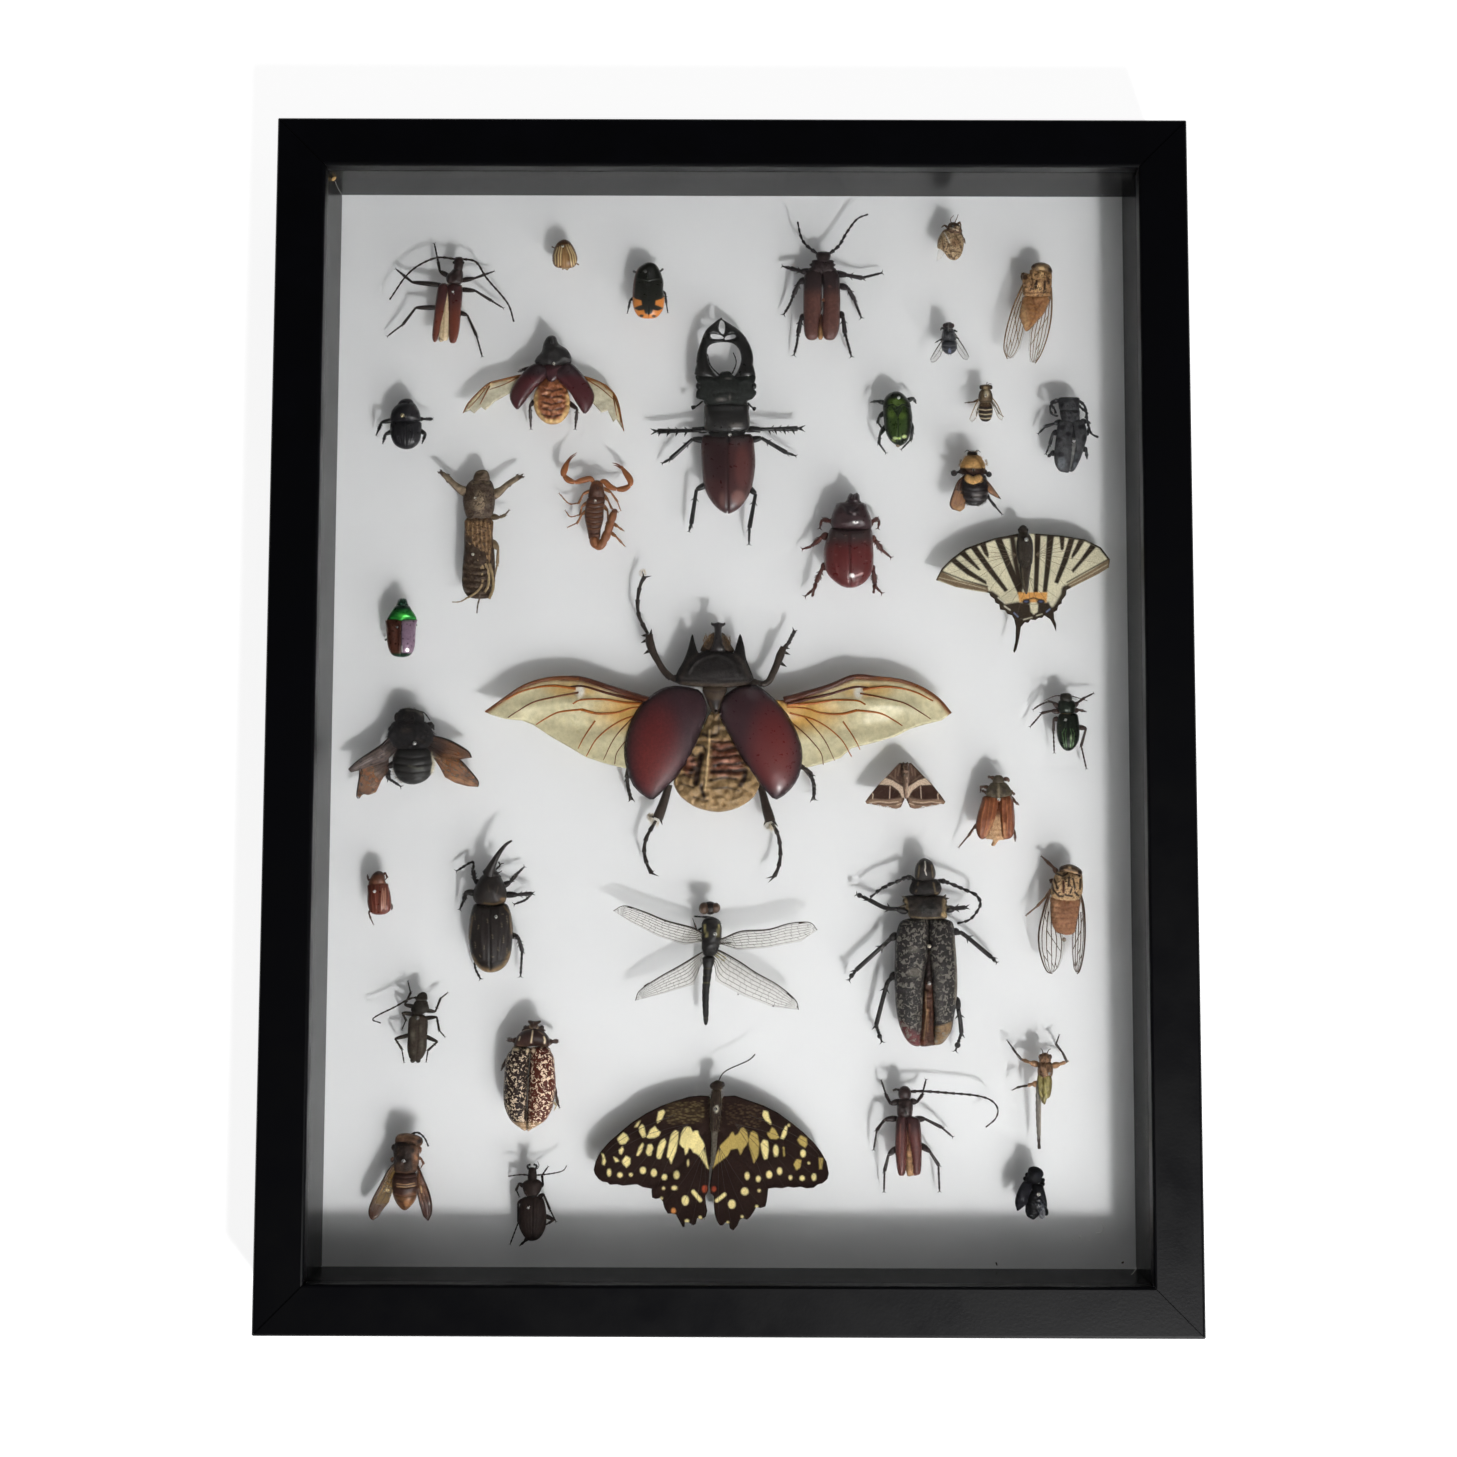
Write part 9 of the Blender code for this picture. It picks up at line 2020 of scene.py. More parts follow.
@at(116, -69.95)
def large_cicada(p):
    tan, dark, brown, maroon = (170, 140, 104), (44, 32, 27), (132, 94, 68), (70, 34, 28)
    rows = [((118, 80, 60), 0.35, "line", 0.3, [(-3, y), (2, y - 0.5), (7, y)])
            for y in (3.6, 1.8, 0, -1.8, -3.6)]
    p.dome([(-2.6, 7.6), (7, 7.6), (7.2, 3), (6.4, -1.4), (5.4, -5.4), (3, -6.2), (0.8, -5.9),
            (-1.2, -5.2), (-2.8, -2), (-3.2, 2), (-3.2, 5)], 9, 3.4, brown, "dull",
           [((156, 116, 86), 1.6, "spot", -1.4, 3, 1.4, 4),
            ((128, 84, 60), 0.5, "line", 0.4, [(1.4, 7), (2.4, 3)]),
            ((128, 84, 60), 0.5, "line", 0.4, [(4.4, 7), (3.4, 3)]), *rows], waves=(1.4, 0.4),
           spacing=0.34)
    amber = (74, 54, 40)
    for edge, tip in (([(-3, 10), (-4.4, 6), (-6, 0.6), (-7.2, -5), (-7.2, -10.4), (-6, -15.6),
                        (-4.4, -19), (-2.6, -19.6), (-0.4, -17.6), (1, -14.4), (1.8, -9), (0, -2),
                        (-1.4, 5)], 7),
                      ([(7.4, 9), (8.6, 4), (9, -2), (8.9, -8), (8.2, -14), (7, -18.6), (6, -19.8),
                        (4.8, -18), (4.2, -13), (4.2, -7), (5, 0), (6.4, 6)], 6)):
        p.wing(edge, tip, 9.8, (214, 208, 196), "clear", vein=(0.14, amber), costa=0.34, waves=(3, 0.4),
               spacing=0.6)
        cicada_veins(p, edge, tip, amber, 0.97, 14, 3, (0.12, 0.3, 0.5, 0.7, 0.9),
                     ((4, 0.12), (6, 0.3), (7, 0.5), (8, 0.7), (9, 0.3), (10, 0.12), (11, 0.5), (11, 0.7)),
                     0.2, 0.19, 0.16)
    blots = [(maroon, 0.5, "line", 0.9, [(1.6, 12.6), (1.6, 8.8)])]
    blots += [(dark, 0.3, "line", 0.7, line)
              for line in ([(-1.6, 13.4), (-0.6, 10)], [(3.6, 14), (3.4, 11)], [(5, 13.6), (5.6, 10.4)],
                           [(-0.8, 15.4), (1.4, 14.4), (3, 15.4)], [(5.2, 15.6), (7.4, 14.6)],
                           [(7.6, 13.4), (7.4, 10)], [(-2, 9.4), (0, 7.4), (1.4, 7.4)],
                           [(2.4, 7.8), (4.6, 7.4)], [(5.6, 8.8), (6.8, 7.6)],
                           [(-2.4, 11.6), (-2, 9.6)], [(4.4, 9.8), (4, 8.6)])]
    p.dome([(0, 16), (7.4, 15.6), (8.4, 13), (8.3, 9), (7.2, 6.4), (4.6, 5.2), (0, 5.6), (-2.6, 7),
            (-2.9, 10), (-2.2, 13), (-1, 15.6)], 9.4, 4.2, tan, "patchy", blots, waves=(1.1, 0.6),
           spacing=0.27, puff=0.42)
    p.dome([(0.2, 17.4), (1.4, 18.2), (4, 18.7), (6.8, 17.6), (8.3, 16), (7.8, 14.6), (6, 14.6),
            (3, 15.8), (0.4, 15.4)], 9.4, 2.8, (92, 72, 54), "satin",
           [(dark, 0.6, "spot", 1, 17, 0.8, 0.7), (dark, 0.6, "spot", 7.4, 15.8, 0.8, 0.8),
            (tan, 0.4, "line", 0.4, [(2.4, 16.4), (6.4, 15.6)]), (tan, 0.4, "spot", 4, 17.6, 0.6, 0.4)],
           waves=(0.8, 0.4), spacing=0.28)
    p.ball(1.6, -7.8, 9.4, 0.8, (120, 108, 96), "rough")
    p.legs(0.62, (84, 58, 44), "satin", 0, [(-0.4, 15.4), (-1.8, 17.4), (-5.6, 21)],
           [(-0.4, 12.4), (-3, 13), (-2.4, 12)])
    p.leg(0.5, (112, 84, 64), "satin", 0, [(-2.6, 9.6), (-4.6, 7.2), (-7.6, 4), (-11.2, 1)])
    p.pin(2.6, 12.6, r=0.4, colour=(150, 130, 100))


@at(-111, -107)
def dark_longhorn_beetle(p):
    tone = (46, 42, 37)
    p.body([(3.4, 10.3, 1.2), (3, 8.5, 2), (2.7, 6.5, 2.4), (2.4, 4.5, 3.2), (1.9, 2.2, 2.8)],
           [("head", 7.2, tone, "dull", {}), ("pronotum", 2.2, tone, "dull", {})], 0.62)
    p.body([(1.9, 2.8, 2.6), (1.8, 0, 3.4), (1.6, -6, 3.4), (1.5, -10, 3.3), (1.1, -13.8, 1.8)],
           [("elytra", -13.8, (54, 46, 39), "dull",
             dict(paint=[((84, 78, 68), 0.8, "spot", 0, -5, 0.8, 2),
                         ((84, 78, 68), 0.8, "spot", 3.2, -8, 0.6, 1.6),
                         ((78, 72, 62), 0.7, "spot", 0.6, 1, 0.8, 1.4),
                         ((78, 72, 62), 0.7, "spot", 2.8, -2.6, 0.5, 1.2),
                         ((76, 70, 60), 0.6, "spot", 0.4, -10.6, 0.7, 1)]))], 0.62)
    for x in (0.1, 2):
        p.ball(x, -13.5, 9, 0.9, tone, "dull")
    p.legs(0.42, (44, 38, 33), "dull", 1, [(1, 5), (-3, 5.8), (-1, 10), (-1.9, 13.5)],
           [(0.5, 2.5), (-3.8, 3), (-2.5, 0.5), (-3.7, -2.5)],
           [(0.5, -4.3), (-6.2, -6), (-3.8, -9.5), (-3, -13.7)],
           [(3, 4), (7.8, 3.5), (9.5, 8), (11.7, 9.8)], [(2.5, 1), (8.3, 1.6), (9.2, -3), (11, -5)],
           [(2.5, -4.3), (8.7, -7), (5.4, -10), (4.9, -13.5)], thigh=1.7)
    p.feeler(0.42, (44, 38, 33), "thread", [(2.6, 8.2), (-1, 8), (-6.5, 5), (-14, 1), (-11.3, -0.6)], "dull")
    p.pin(1.6, 1.2)


@at(-69, -125)
def marbled_chafer(p):
    cream = (214, 196, 160)
    p.dome([(-1.4, 18.6), (0.6, 18.3), (2.6, 18.5), (2.9, 17.9), (1.9, 17), (2.4, 16.6), (4.2, 15.4),
            (4, 14.6), (-3.2, 14.6), (-3.5, 15.6), (-1.9, 16.7), (-1.1, 17), (-1.7, 17.9)], 9.2, 2.6,
           (60, 44, 36), "satin",
           [((150, 130, 104), 0.3, "line", 0.3, [(-1.2, 17), (-0.9, 16), (0, 15.6)]),
            ((150, 130, 104), 0.3, "line", 0.3, [(2.2, 17), (1.8, 16), (1.4, 15.6)])], spacing=0.3)
    for x in (-2.5, 3.2):
        p.ball(x, 16, 9.8, 0.85, (40, 28, 22))
    p.dome([(-0.8, 16.1), (0.9, 16.2), (3.3, 15.2), (5.1, 13.5), (6, 12), (6, 9.7), (4.2, 9.2),
            (0.4, 9.6), (-4.2, 9), (-6.5, 9.4), (-6, 12), (-4.8, 13.8), (-2.9, 15.4)], 9.2, 4.4,
           (46, 28, 24), "satin", [(cream, 0.25, "line", 0.4, [(0, 14.9), (-0.2, 13), (-0.5, 10.8)]),
                                   (cream, 0.3, "line", 0.5, [(4, 12.8), (4.4, 11.8), (4.2, 10.6)]),
                                   (cream, 0.3, "line", 0.35, [(-4.4, 12.8), (-4.8, 11.6)]),
                                   ((132, 110, 84), 0.4, "line", 0.4, [(-3.6, 15), (-0.8, 15.8)]),
                                   ((110, 84, 64), 0.3, "line", 0.3, [(2, 14.8), (3.8, 13.6)]),
                                   ((92, 70, 56), 0.4, "line", 0.4,
                                    [(-6, 9.8), (-3, 9.5), (3, 9.6), (5.8, 9.8)])], spacing=0.28)
    seam = [(-0.8, 7.4), (-1.4, -1), (-1.7, -11), (-1.7, -19.4)]
    left = [(-6.6, 9.4), (-4.4, 9.3), (-0.8, 9), (-0.9, 6.6), (-1.3, -1), (-1.7, -11), (-1.7, -19.4),
            (-4.7, -18.3), (-7.3, -16.1), (-8.8, -13.4), (-9.7, -10.6), (-10, -6), (-9.8, -1),
            (-9.4, 4.6), (-8.6, 6.9), (-7.8, 7.8)]
    right = [(-0.8, 9), (3.6, 9.5), (5.8, 9.1), (6.6, 7.6), (7.6, 5.4), (7.9, 2), (8.3, -2.6),
             (8.1, -7), (7.5, -10.8), (6.4, -13.6), (4.6, -16.3), (2.5, -17.7), (0.2, -19),
             (-1.6, -19.4), (-1.6, -11), (-1.2, -1), (-0.8, 6.6)]
    common = [((150, 122, 92), 1.2, "below", -16.8), ((84, 62, 48), 0.25, "line", 0.5, seam),
              ((28, 18, 16), 0.2, "line", 0.16, seam), (cream, 0.25, "spot", -1.7, 8, 0.6, 0.85),
              (cream, 0.25, "spot", 0.4, 8, 0.6, 0.85)]
    p.dome(left, 9.2, 5.6, (30, 15, 12), "marbled_thin",
           [(cream, 0.4, "spot", -5.7, 8.4, 1, 0.5), ((108, 84, 66), 0.3, "line", 0.25, left[9:15]),
            *common], under=0.4, spacing=0.34, puff=0.36)
    p.dome(right, 9.2, 5.6, (80, 31, 19), "marbled",
           [((70, 32, 28), 1, "spot", 4.4, 6, 2.2, 1), *common], under=0.4, spacing=0.34, puff=0.36)
    p.legs(0.8, (64, 46, 38), "satin", 2, [(-5, 11.3), (-8.3, 11.8)], [(5, 11), (8.4, 11.3)])
    p.legs(0.55, (60, 42, 34), "satin", 2, [(-8, 5.4), (-9.6, 4), (-10.7, 1.5)],
           [(7.4, -4), (8.4, -7.4), (9, -10), (9.5, -11.3)])
    p.leg(0.25, (190, 170, 130), "satin", 0, [(7.6, -9.6), (8.6, -11), (7.8, -12.7)])
    p.pin(-1.5, -0.9, r=0.6)


@at(71, -146)
def long_antenna_beetle(p):
    tone, maroon = (48, 36, 35), (86, 48, 44)
    p.dome([(-10.8, 17), (-8.6, 17), (-7.4, 15), (-8.2, 12.4), (-11.2, 12.4), (-12, 15)], 9, 2.4, tone,
           "satin", spacing=0.34)
    p.dome([(-11.4, 12.8), (-8, 12.8), (-6.8, 10.4), (-7.6, 6.2), (-11.8, 6.2), (-12.4, 10)], 9, 2.8,
           tone, "satin", waves=(1.4, 0.4), spacing=0.34)
    p.dome([(-9.6, 5), (-7.8, 5), (-6.6, -3), (-5.6, -12), (-7.4, -13.8), (-9.4, -12)], 8.8, 2,
           (160, 124, 90), "rough",
           [((92, 58, 42), 4, "above", -5), ((122, 84, 56), 0.4, "line", 0.3, [(-8, 0), (-7.4, -12)])],
           waves=(1, 0.4), spacing=0.34)
    for outline in ([(-12.4, 6.4), (-9.2, 6.4), (-8.8, 0), (-9, -7), (-9.6, -12.8), (-10.8, -13.8),
                     (-12.2, -12.8), (-13, -6), (-13, 1)],
                    [(-9.2, 6.4), (-5.6, 6.4), (-4.2, 4), (-3.8, -4), (-4.1, -12), (-5.4, -13.6),
                     (-7, -12.8), (-7.8, -5), (-8.8, 1)]):
        p.dome(outline, 9.4, 2.6, maroon, "satin",
               [((58, 36, 36), 5, "above", 1),
                ((128, 84, 74), 0.4, "line", 0.25,
                 [(outline[0][0] + 1.2, 4), (outline[0][0] + 0.9, -10)])], under=0.3, spacing=0.36,
               puff=0.4)
    p.legs(0.62, (44, 34, 33), "satin", 0, [(-11, 12), (-14.6, 11), (-16.2, 14), (-17.6, 18.4)],
           [(-8, 12), (-5.4, 11.6), (-3.6, 14), (-2.4, 18.6)],
           [(-12, 6), (-16.6, 5.6), (-19.4, 2), (-20.4, -4)],
           [(-6.6, 5.8), (-2.6, 5.8), (3, 3), (6.4, 0.2)],
           [(-12.4, -4), (-15.4, -6.6), (-16.8, -12), (-17, -18.4)],
           [(-5, -2.6), (-1, -5.4), (2, -10), (2.3, -18.2)], thigh=1.7)
    p.feeler(0.55, (44, 36, 34), "thread",
             [(-8.6, 15.2), (-3, 15.4), (6, 14.8), (15, 14), (20.4, 12.4), (22.8, 9.4), (22, 6),
              (18.6, 3)], end=0.5)
    p.feeler(0.5, (44, 36, 34), "thread", [(-10.6, 15.2), (-12.4, 16), (-13.8, 15.6)], end=0.8)
    p.pin(-9.2, 8, r=0.5)


@at(108, -130)
def grasshopper(p):
    tan, leg, dark = (134, 102, 76), (150, 114, 82), (62, 52, 46)
    p.dome([(1.2, 12.4), (2.6, 12.9), (4, 12.2), (4.6, 10.6), (4, 9), (1, 9), (0.4, 10.6)], 9, 2.8, tan,
           "patchy", [((78, 58, 46), 0.4, "line", 0.3, [(2.5, 12.6), (2.5, 9.6)])], waves=(1, 0.4),
           spacing=0.3)
    for x in (0.9, 4.2):
        p.ball(x, 11.4, 10, 0.75, (84, 60, 44), "gloss", long=1.3)
    p.dome([(0.6, 9.8), (4.2, 9.8), (5.2, 8), (5, 5), (3.6, 4), (0.4, 4.2), (-0.2, 6.4), (0, 8.4)], 9.2,
           3.4, (132, 100, 74), "patchy",
           [((84, 58, 44), 0.5, "line", 0.5, [(0.6, 8.6), (1, 5)]),
            ((176, 140, 104), 0.4, "line", 0.4, [(2.6, 9.4), (2.6, 4.8)]),
            ((240, 236, 228), 0.3, "spot", 4, 5.6, 0.4, 0.4),
            ((70, 50, 40), 0.5, "spot", 1.4, 4.8, 1, 0.5)], waves=(1.2, 0.6), spacing=0.3)
    path = even([(0.6, 3.6, 9.4), (0, 0, 9.2), (-0.2, -8, 8.8), (0, -15, 8.6), (0.2, -20.4, 8.4)], 0.4)
    t = np.linspace(0, 1, len(path))
    grey, dusk = linear((112, 106, 98)), linear((66, 56, 50))
    tints = grey + (t > 0.86).repeat(9)[:, None] * (dusk - grey)
    p.tube(path, (0.95 - 0.35 * t) * (0.92 + 0.1 * np.sin(t * 60)), tints, "satin", 9)
    p.tube(even([(0.9, 3, 9.6), (0.7, -6, 9.2), (0.5, -16, 8.8)], 0.5), 0.3, (156, 148, 136), "satin", 6)
    for outline, h in (([(-0.2, 4.8), (1.8, 5.2), (2, 0), (1.6, -4.6), (0.8, -3), (0, 0)], 10.4),
                       ([(2, 5.2), (4.4, 4.8), (4.9, 2), (4.2, -2.2), (3, -3.2), (2.4, -5), (1.6, -4.4),
                         (1.4, 0)], 10.8)):
        p.dome(outline, h, 1, (122, 112, 66), "satin",
               [((92, 82, 46), 0.3, "line", 0.3, [outline[1], outline[3]]),
                ((176, 168, 108), 0.4, "line", 0.3, [outline[0], outline[4]]),
                ((104, 84, 52), 0.5, "line", 0.3, [*outline, outline[0]])], waves=(1, 0.4), spacing=0.3)
    p.legs(0.66, leg, "satin", 0, [(0.4, 8.6), (-2.6, 9.4), (-6, 10.6)],
           [(4.8, 8.2), (7.6, 8.9), (10.2, 9.8)], [(0, 2), (-2, 2), (-4, 1.4)], thigh=1.6)
    p.legs(0.42, dark, "satin", 2, [(-5.8, 10.4), (-7.4, 12.4), (-8.8, 14.4), (-10.5, 16.8)],
           [(10.2, 9.6), (8.6, 13), (6.4, 15.8), (7.4, 18.6)],
           [(-3.8, 1.4), (-5.6, 1.2), (-7.2, 0.8), (-8.8, 0)], thigh=1.0)
    for points in ([(1.8, 12.6), (1.6, 13.6), (1, 14.4)], [(3.2, 12.6), (3.8, 13.8), (4.6, 14.2)]):
        p.feeler(0.22, dark, "thread", points)
    p.pin(4, 5.6, r=0.45, colour=(238, 236, 232))


@at(-114, -160)
def hornet(p):
    dark, brown, amber = (42, 33, 29), (88, 62, 46), (98, 66, 42)
    edge = (0.13, (58, 36, 26))
    p.wing([(-2.4, 4), (-4.6, 1.6), (-7.4, -3.6), (-9.8, -8), (-11.2, -12), (-10.8, -14.6),
            (-9.6, -15.4), (-7.8, -14.2), (-6.2, -11.6), (-4.4, -9.4), (-3, -5), (-2, -0.6)], 6, 10,
           (124, 98, 52), "smoky", net=(4, 2), vein=edge, costa=0.42, waves=(3, 0.5), spacing=0.4,
           paint_on=[((90, 56, 34), 3, "below", -10),
                     # the pale spot is a painted glint on the wing
                     ((214, 196, 150), 0.4, "spot", -5, -5.2, 0.6, 0.4),
                     ((86, 54, 36), 1.4, "line", 0.5, [(-3, 3), (-8, -6), (-11, -13)])])
    p.wing([(5.4, 3), (7, -0.6), (9, -5), (10.2, -9), (10.4, -13), (9.2, -15.7), (7.6, -14.2),
            (6.2, -10), (5, -5)], 5, 10, (106, 66, 40), "smoky", net=(4, 2), vein=edge, costa=0.42,
           waves=(3, 0.5), spacing=0.4,
           paint_on=[((74, 40, 28), 3, "below", -9),
                     # the pale line is a painted glint on the wing
                     ((222, 190, 140), 0.35, "line", 0.3, [(6.6, -4), (7, -6)])])
    bands = [((176, 142, 98), 0.25, "line", 0.2, [(-1.8, y + 0.3), (1.6, y), (4.6, y + 0.6)])
             for y in (-3.4, -4.3)]
    bands += [(amber, 1, "area", [(-3, -6.8), (0, -7.4), (2.6, -6), (5.4, -6), (4.8, -10), (1.4, -13),
                                  (-2, -10)]),
              ((70, 42, 30), 0.6, "line", 0.6, [(-2.6, -8.4), (0.4, -9.4), (1.4, -11.8)]),
              ((134, 92, 56), 0.6, "spot", 2.2, -9.6, 1.4, 1.2),
              ((84, 50, 36), 0.3, "line", 0.25, [(-2, -6.6), (1.6, -7.4), (4.8, -6.4)])]
    p.dome([(-2.6, 1), (4.4, 1), (5.6, -2), (5.7, -5.4), (4.8, -8.6), (3, -11), (1.2, -12.2),
            (-0.6, -11.2), (-2.4, -8.6), (-3.5, -5), (-3.5, -1.4)], 9, 4.2, (58, 38, 32), "satin",
           bands, spacing=0.3,
           relief=[([(-3.4, y), (1, y - 0.6), (5.4, y)], 0.25, -0.4) for y in (-0.6, -3.8, -6.8)])
    p.dome([(-1.8, 11.6), (4.6, 11.6), (5.8, 9), (5.9, 5), (5.2, 1.4), (3, 0), (-1.4, 0), (-3, 2),
            (-3, 6), (-3.2, 9)], 9.2, 4.4, dark, "rough",
           [(brown, 0.9, "area", [(3, 10), (6.2, 10), (6.2, 1), (3.8, 2)]),
            ((70, 54, 46), 0.8, "spot", -1, 3, 1.6, 1.4),
            ((128, 92, 66), 0.4, "spot", 4.8, 6, 0.6, 0.9),
            ((30, 24, 22), 0.5, "spot", 3.6, 8.4, 0.6, 1),
            (brown, 0.6, "line", 0.4, [(-2, 1.4), (1, 0.6), (4, 1.4)])], waves=(1.6, 0.6), spacing=0.34)
    p.dome([(-1.4, 14), (1.2, 14.4), (4, 14), (6.4, 13), (7.1, 11.6), (6.4, 10), (4, 9.8), (0.4, 10.8),
            (-2.2, 10.6), (-2.6, 12.4)], 9.2, 3.2, brown, "rough",
           [((132, 100, 76), 0.6, "line", 0.5, [(-1.6, 13), (2, 13.6), (5.4, 12.6)]),
            (dark, 0.5, "spot", 5.8, 11.4, 0.8, 0.8),
            (dark, 0.5, "line", 0.35, [(-2, 11.2), (2, 11.4), (5, 10.6)])], waves=(1.2, 0.5),
           spacing=0.3)
    p.ball(6, 11.6, 9.6, 1.2, (58, 40, 34), "gloss", long=1.3)
    p.ball(-3, 9.4, 9.4, 0.9, dark, "satin", long=1.3)
    for x, y, spread in ((0, 8, 2.2), (1, 4, 2.4), (2.4, 12.2, 1.6)):
        p.tuft(x, y, 12.6, spread, 160, 0.7, (104, 82, 64), (0, -0.4, 0.8), 0.04)
    p.feeler(0.4, (34, 31, 30), "thread", [(2.6, 13.8), (5.2, 14.6), (7.6, 12.8), (9.1, 9.8)], end=0.8)
    p.legs(0.45, (104, 68, 50), "satin", 0, [(5, 6), (6.6, 5.6), (7.4, 4), (6.6, 2.6)],
           [(4.6, 9.6), (6.4, 9.2), (6.2, 7.6)], [(-2.6, 5.6), (-3.8, 5.4), (-3.4, 4.4)])
    p.pin(0.5, 4.8, r=0.7, colour=(238, 236, 232))


@at(-68, -170)
def dark_ground_beetle(p):
    tone = (34, 25, 22)
    p.dome([(-1.6, 12.6), (0.4, 12.6), (0.9, 11), (1, 9), (0.4, 7.8), (-1.6, 7.8), (-2.2, 9), (-2, 11)],
           9, 1.6, tone, "dull", spacing=0.26)
    p.dome([(-1.5, 8.7), (1.1, 8.7), (2.7, 7.6), (2.8, 5.6), (1, 2.9), (-2.6, 2.9), (-3.9, 5.6),
            (-3.7, 7.6)], 9, 1.9, tone, "dull", spacing=0.26)
    p.dome([(-2, 3.4), (1, 3.4), (0.6, 1.6), (-1.8, 1.6)], 9, 1.2, BLACK, "satin", spacing=0.3)
    furrows = [([(-0.4 + k, 2), (-0.4 + k * 1.25, -4), (-0.4 + k * 0.8, -10.6)], 0.14, -0.16)
               for k in (-3, -2, -1, 1, 2, 3)]
    p.dome([(-3, 2.7), (2.2, 2.7), (3.9, 0.6), (4.5, -4), (4.2, -8), (2.2, -11.5), (-0.4, -12.5),
            (-2.6, -11.7), (-4.9, -8), (-5.2, -4), (-4.6, 0.8)], 9, 2.9, tone, "dull",
           [((24, 18, 16), 0.2, "line", 0.25, [(-0.4, 2.6), (-0.4, -12)])], spacing=0.26, puff=0.42,
           relief=[*furrows, ([(-0.4, 2.6), (-0.4, -12.4)], 0.2, -0.3)])
    for points in ([(-1.8, 12), (-2.3, 13.2), (-1.2, 13.8)], [(0.4, 12), (0.9, 13.2), (-0.2, 13.8)]):
        p.tube(even([(*q, 9) for q in points], 0.25), 0.4, BLACK, "gloss", 7)
    p.feeler(0.2, DARK, "thread", [(0.6, 12), (1.4, 12.6), (1.7, 13.6), (1.2, 14.8)])
    p.legs(0.45, (30, 22, 20), "dull", 0, [(-3, 6), (-5.2, 7.2), (-6.1, 5), (-5.2, 3)],
           [(1.4, 6), (3.2, 6.6), (2.8, 10), (4.6, 12.6)],
           [(-3, 1.8), (-5.4, 0.6), (-5.2, -6), (-7.8, -13)], [(-1.4, -10.8), (-3, -12.6), (-4.6, -14)],
           [(1.6, 2.4), (3.4, 3.6), (5.6, -1.6), (7.6, -5.4)], [(3, -3.4), (7.2, -5.2), (4.2, -7)],
           thigh=1.6)
    p.feeler(0.34, (40, 28, 24), "thread", [(-1.8, 10), (-4.6, 10.2), (-9, 9.6)])
    p.feeler(0.34, (40, 28, 24), "thread", [(0.4, 10), (6, 10.6), (10, 11.6), (11.4, 13.4)])
    p.pin(-1.8, -1.2, r=0.5, colour=(225, 225, 220))


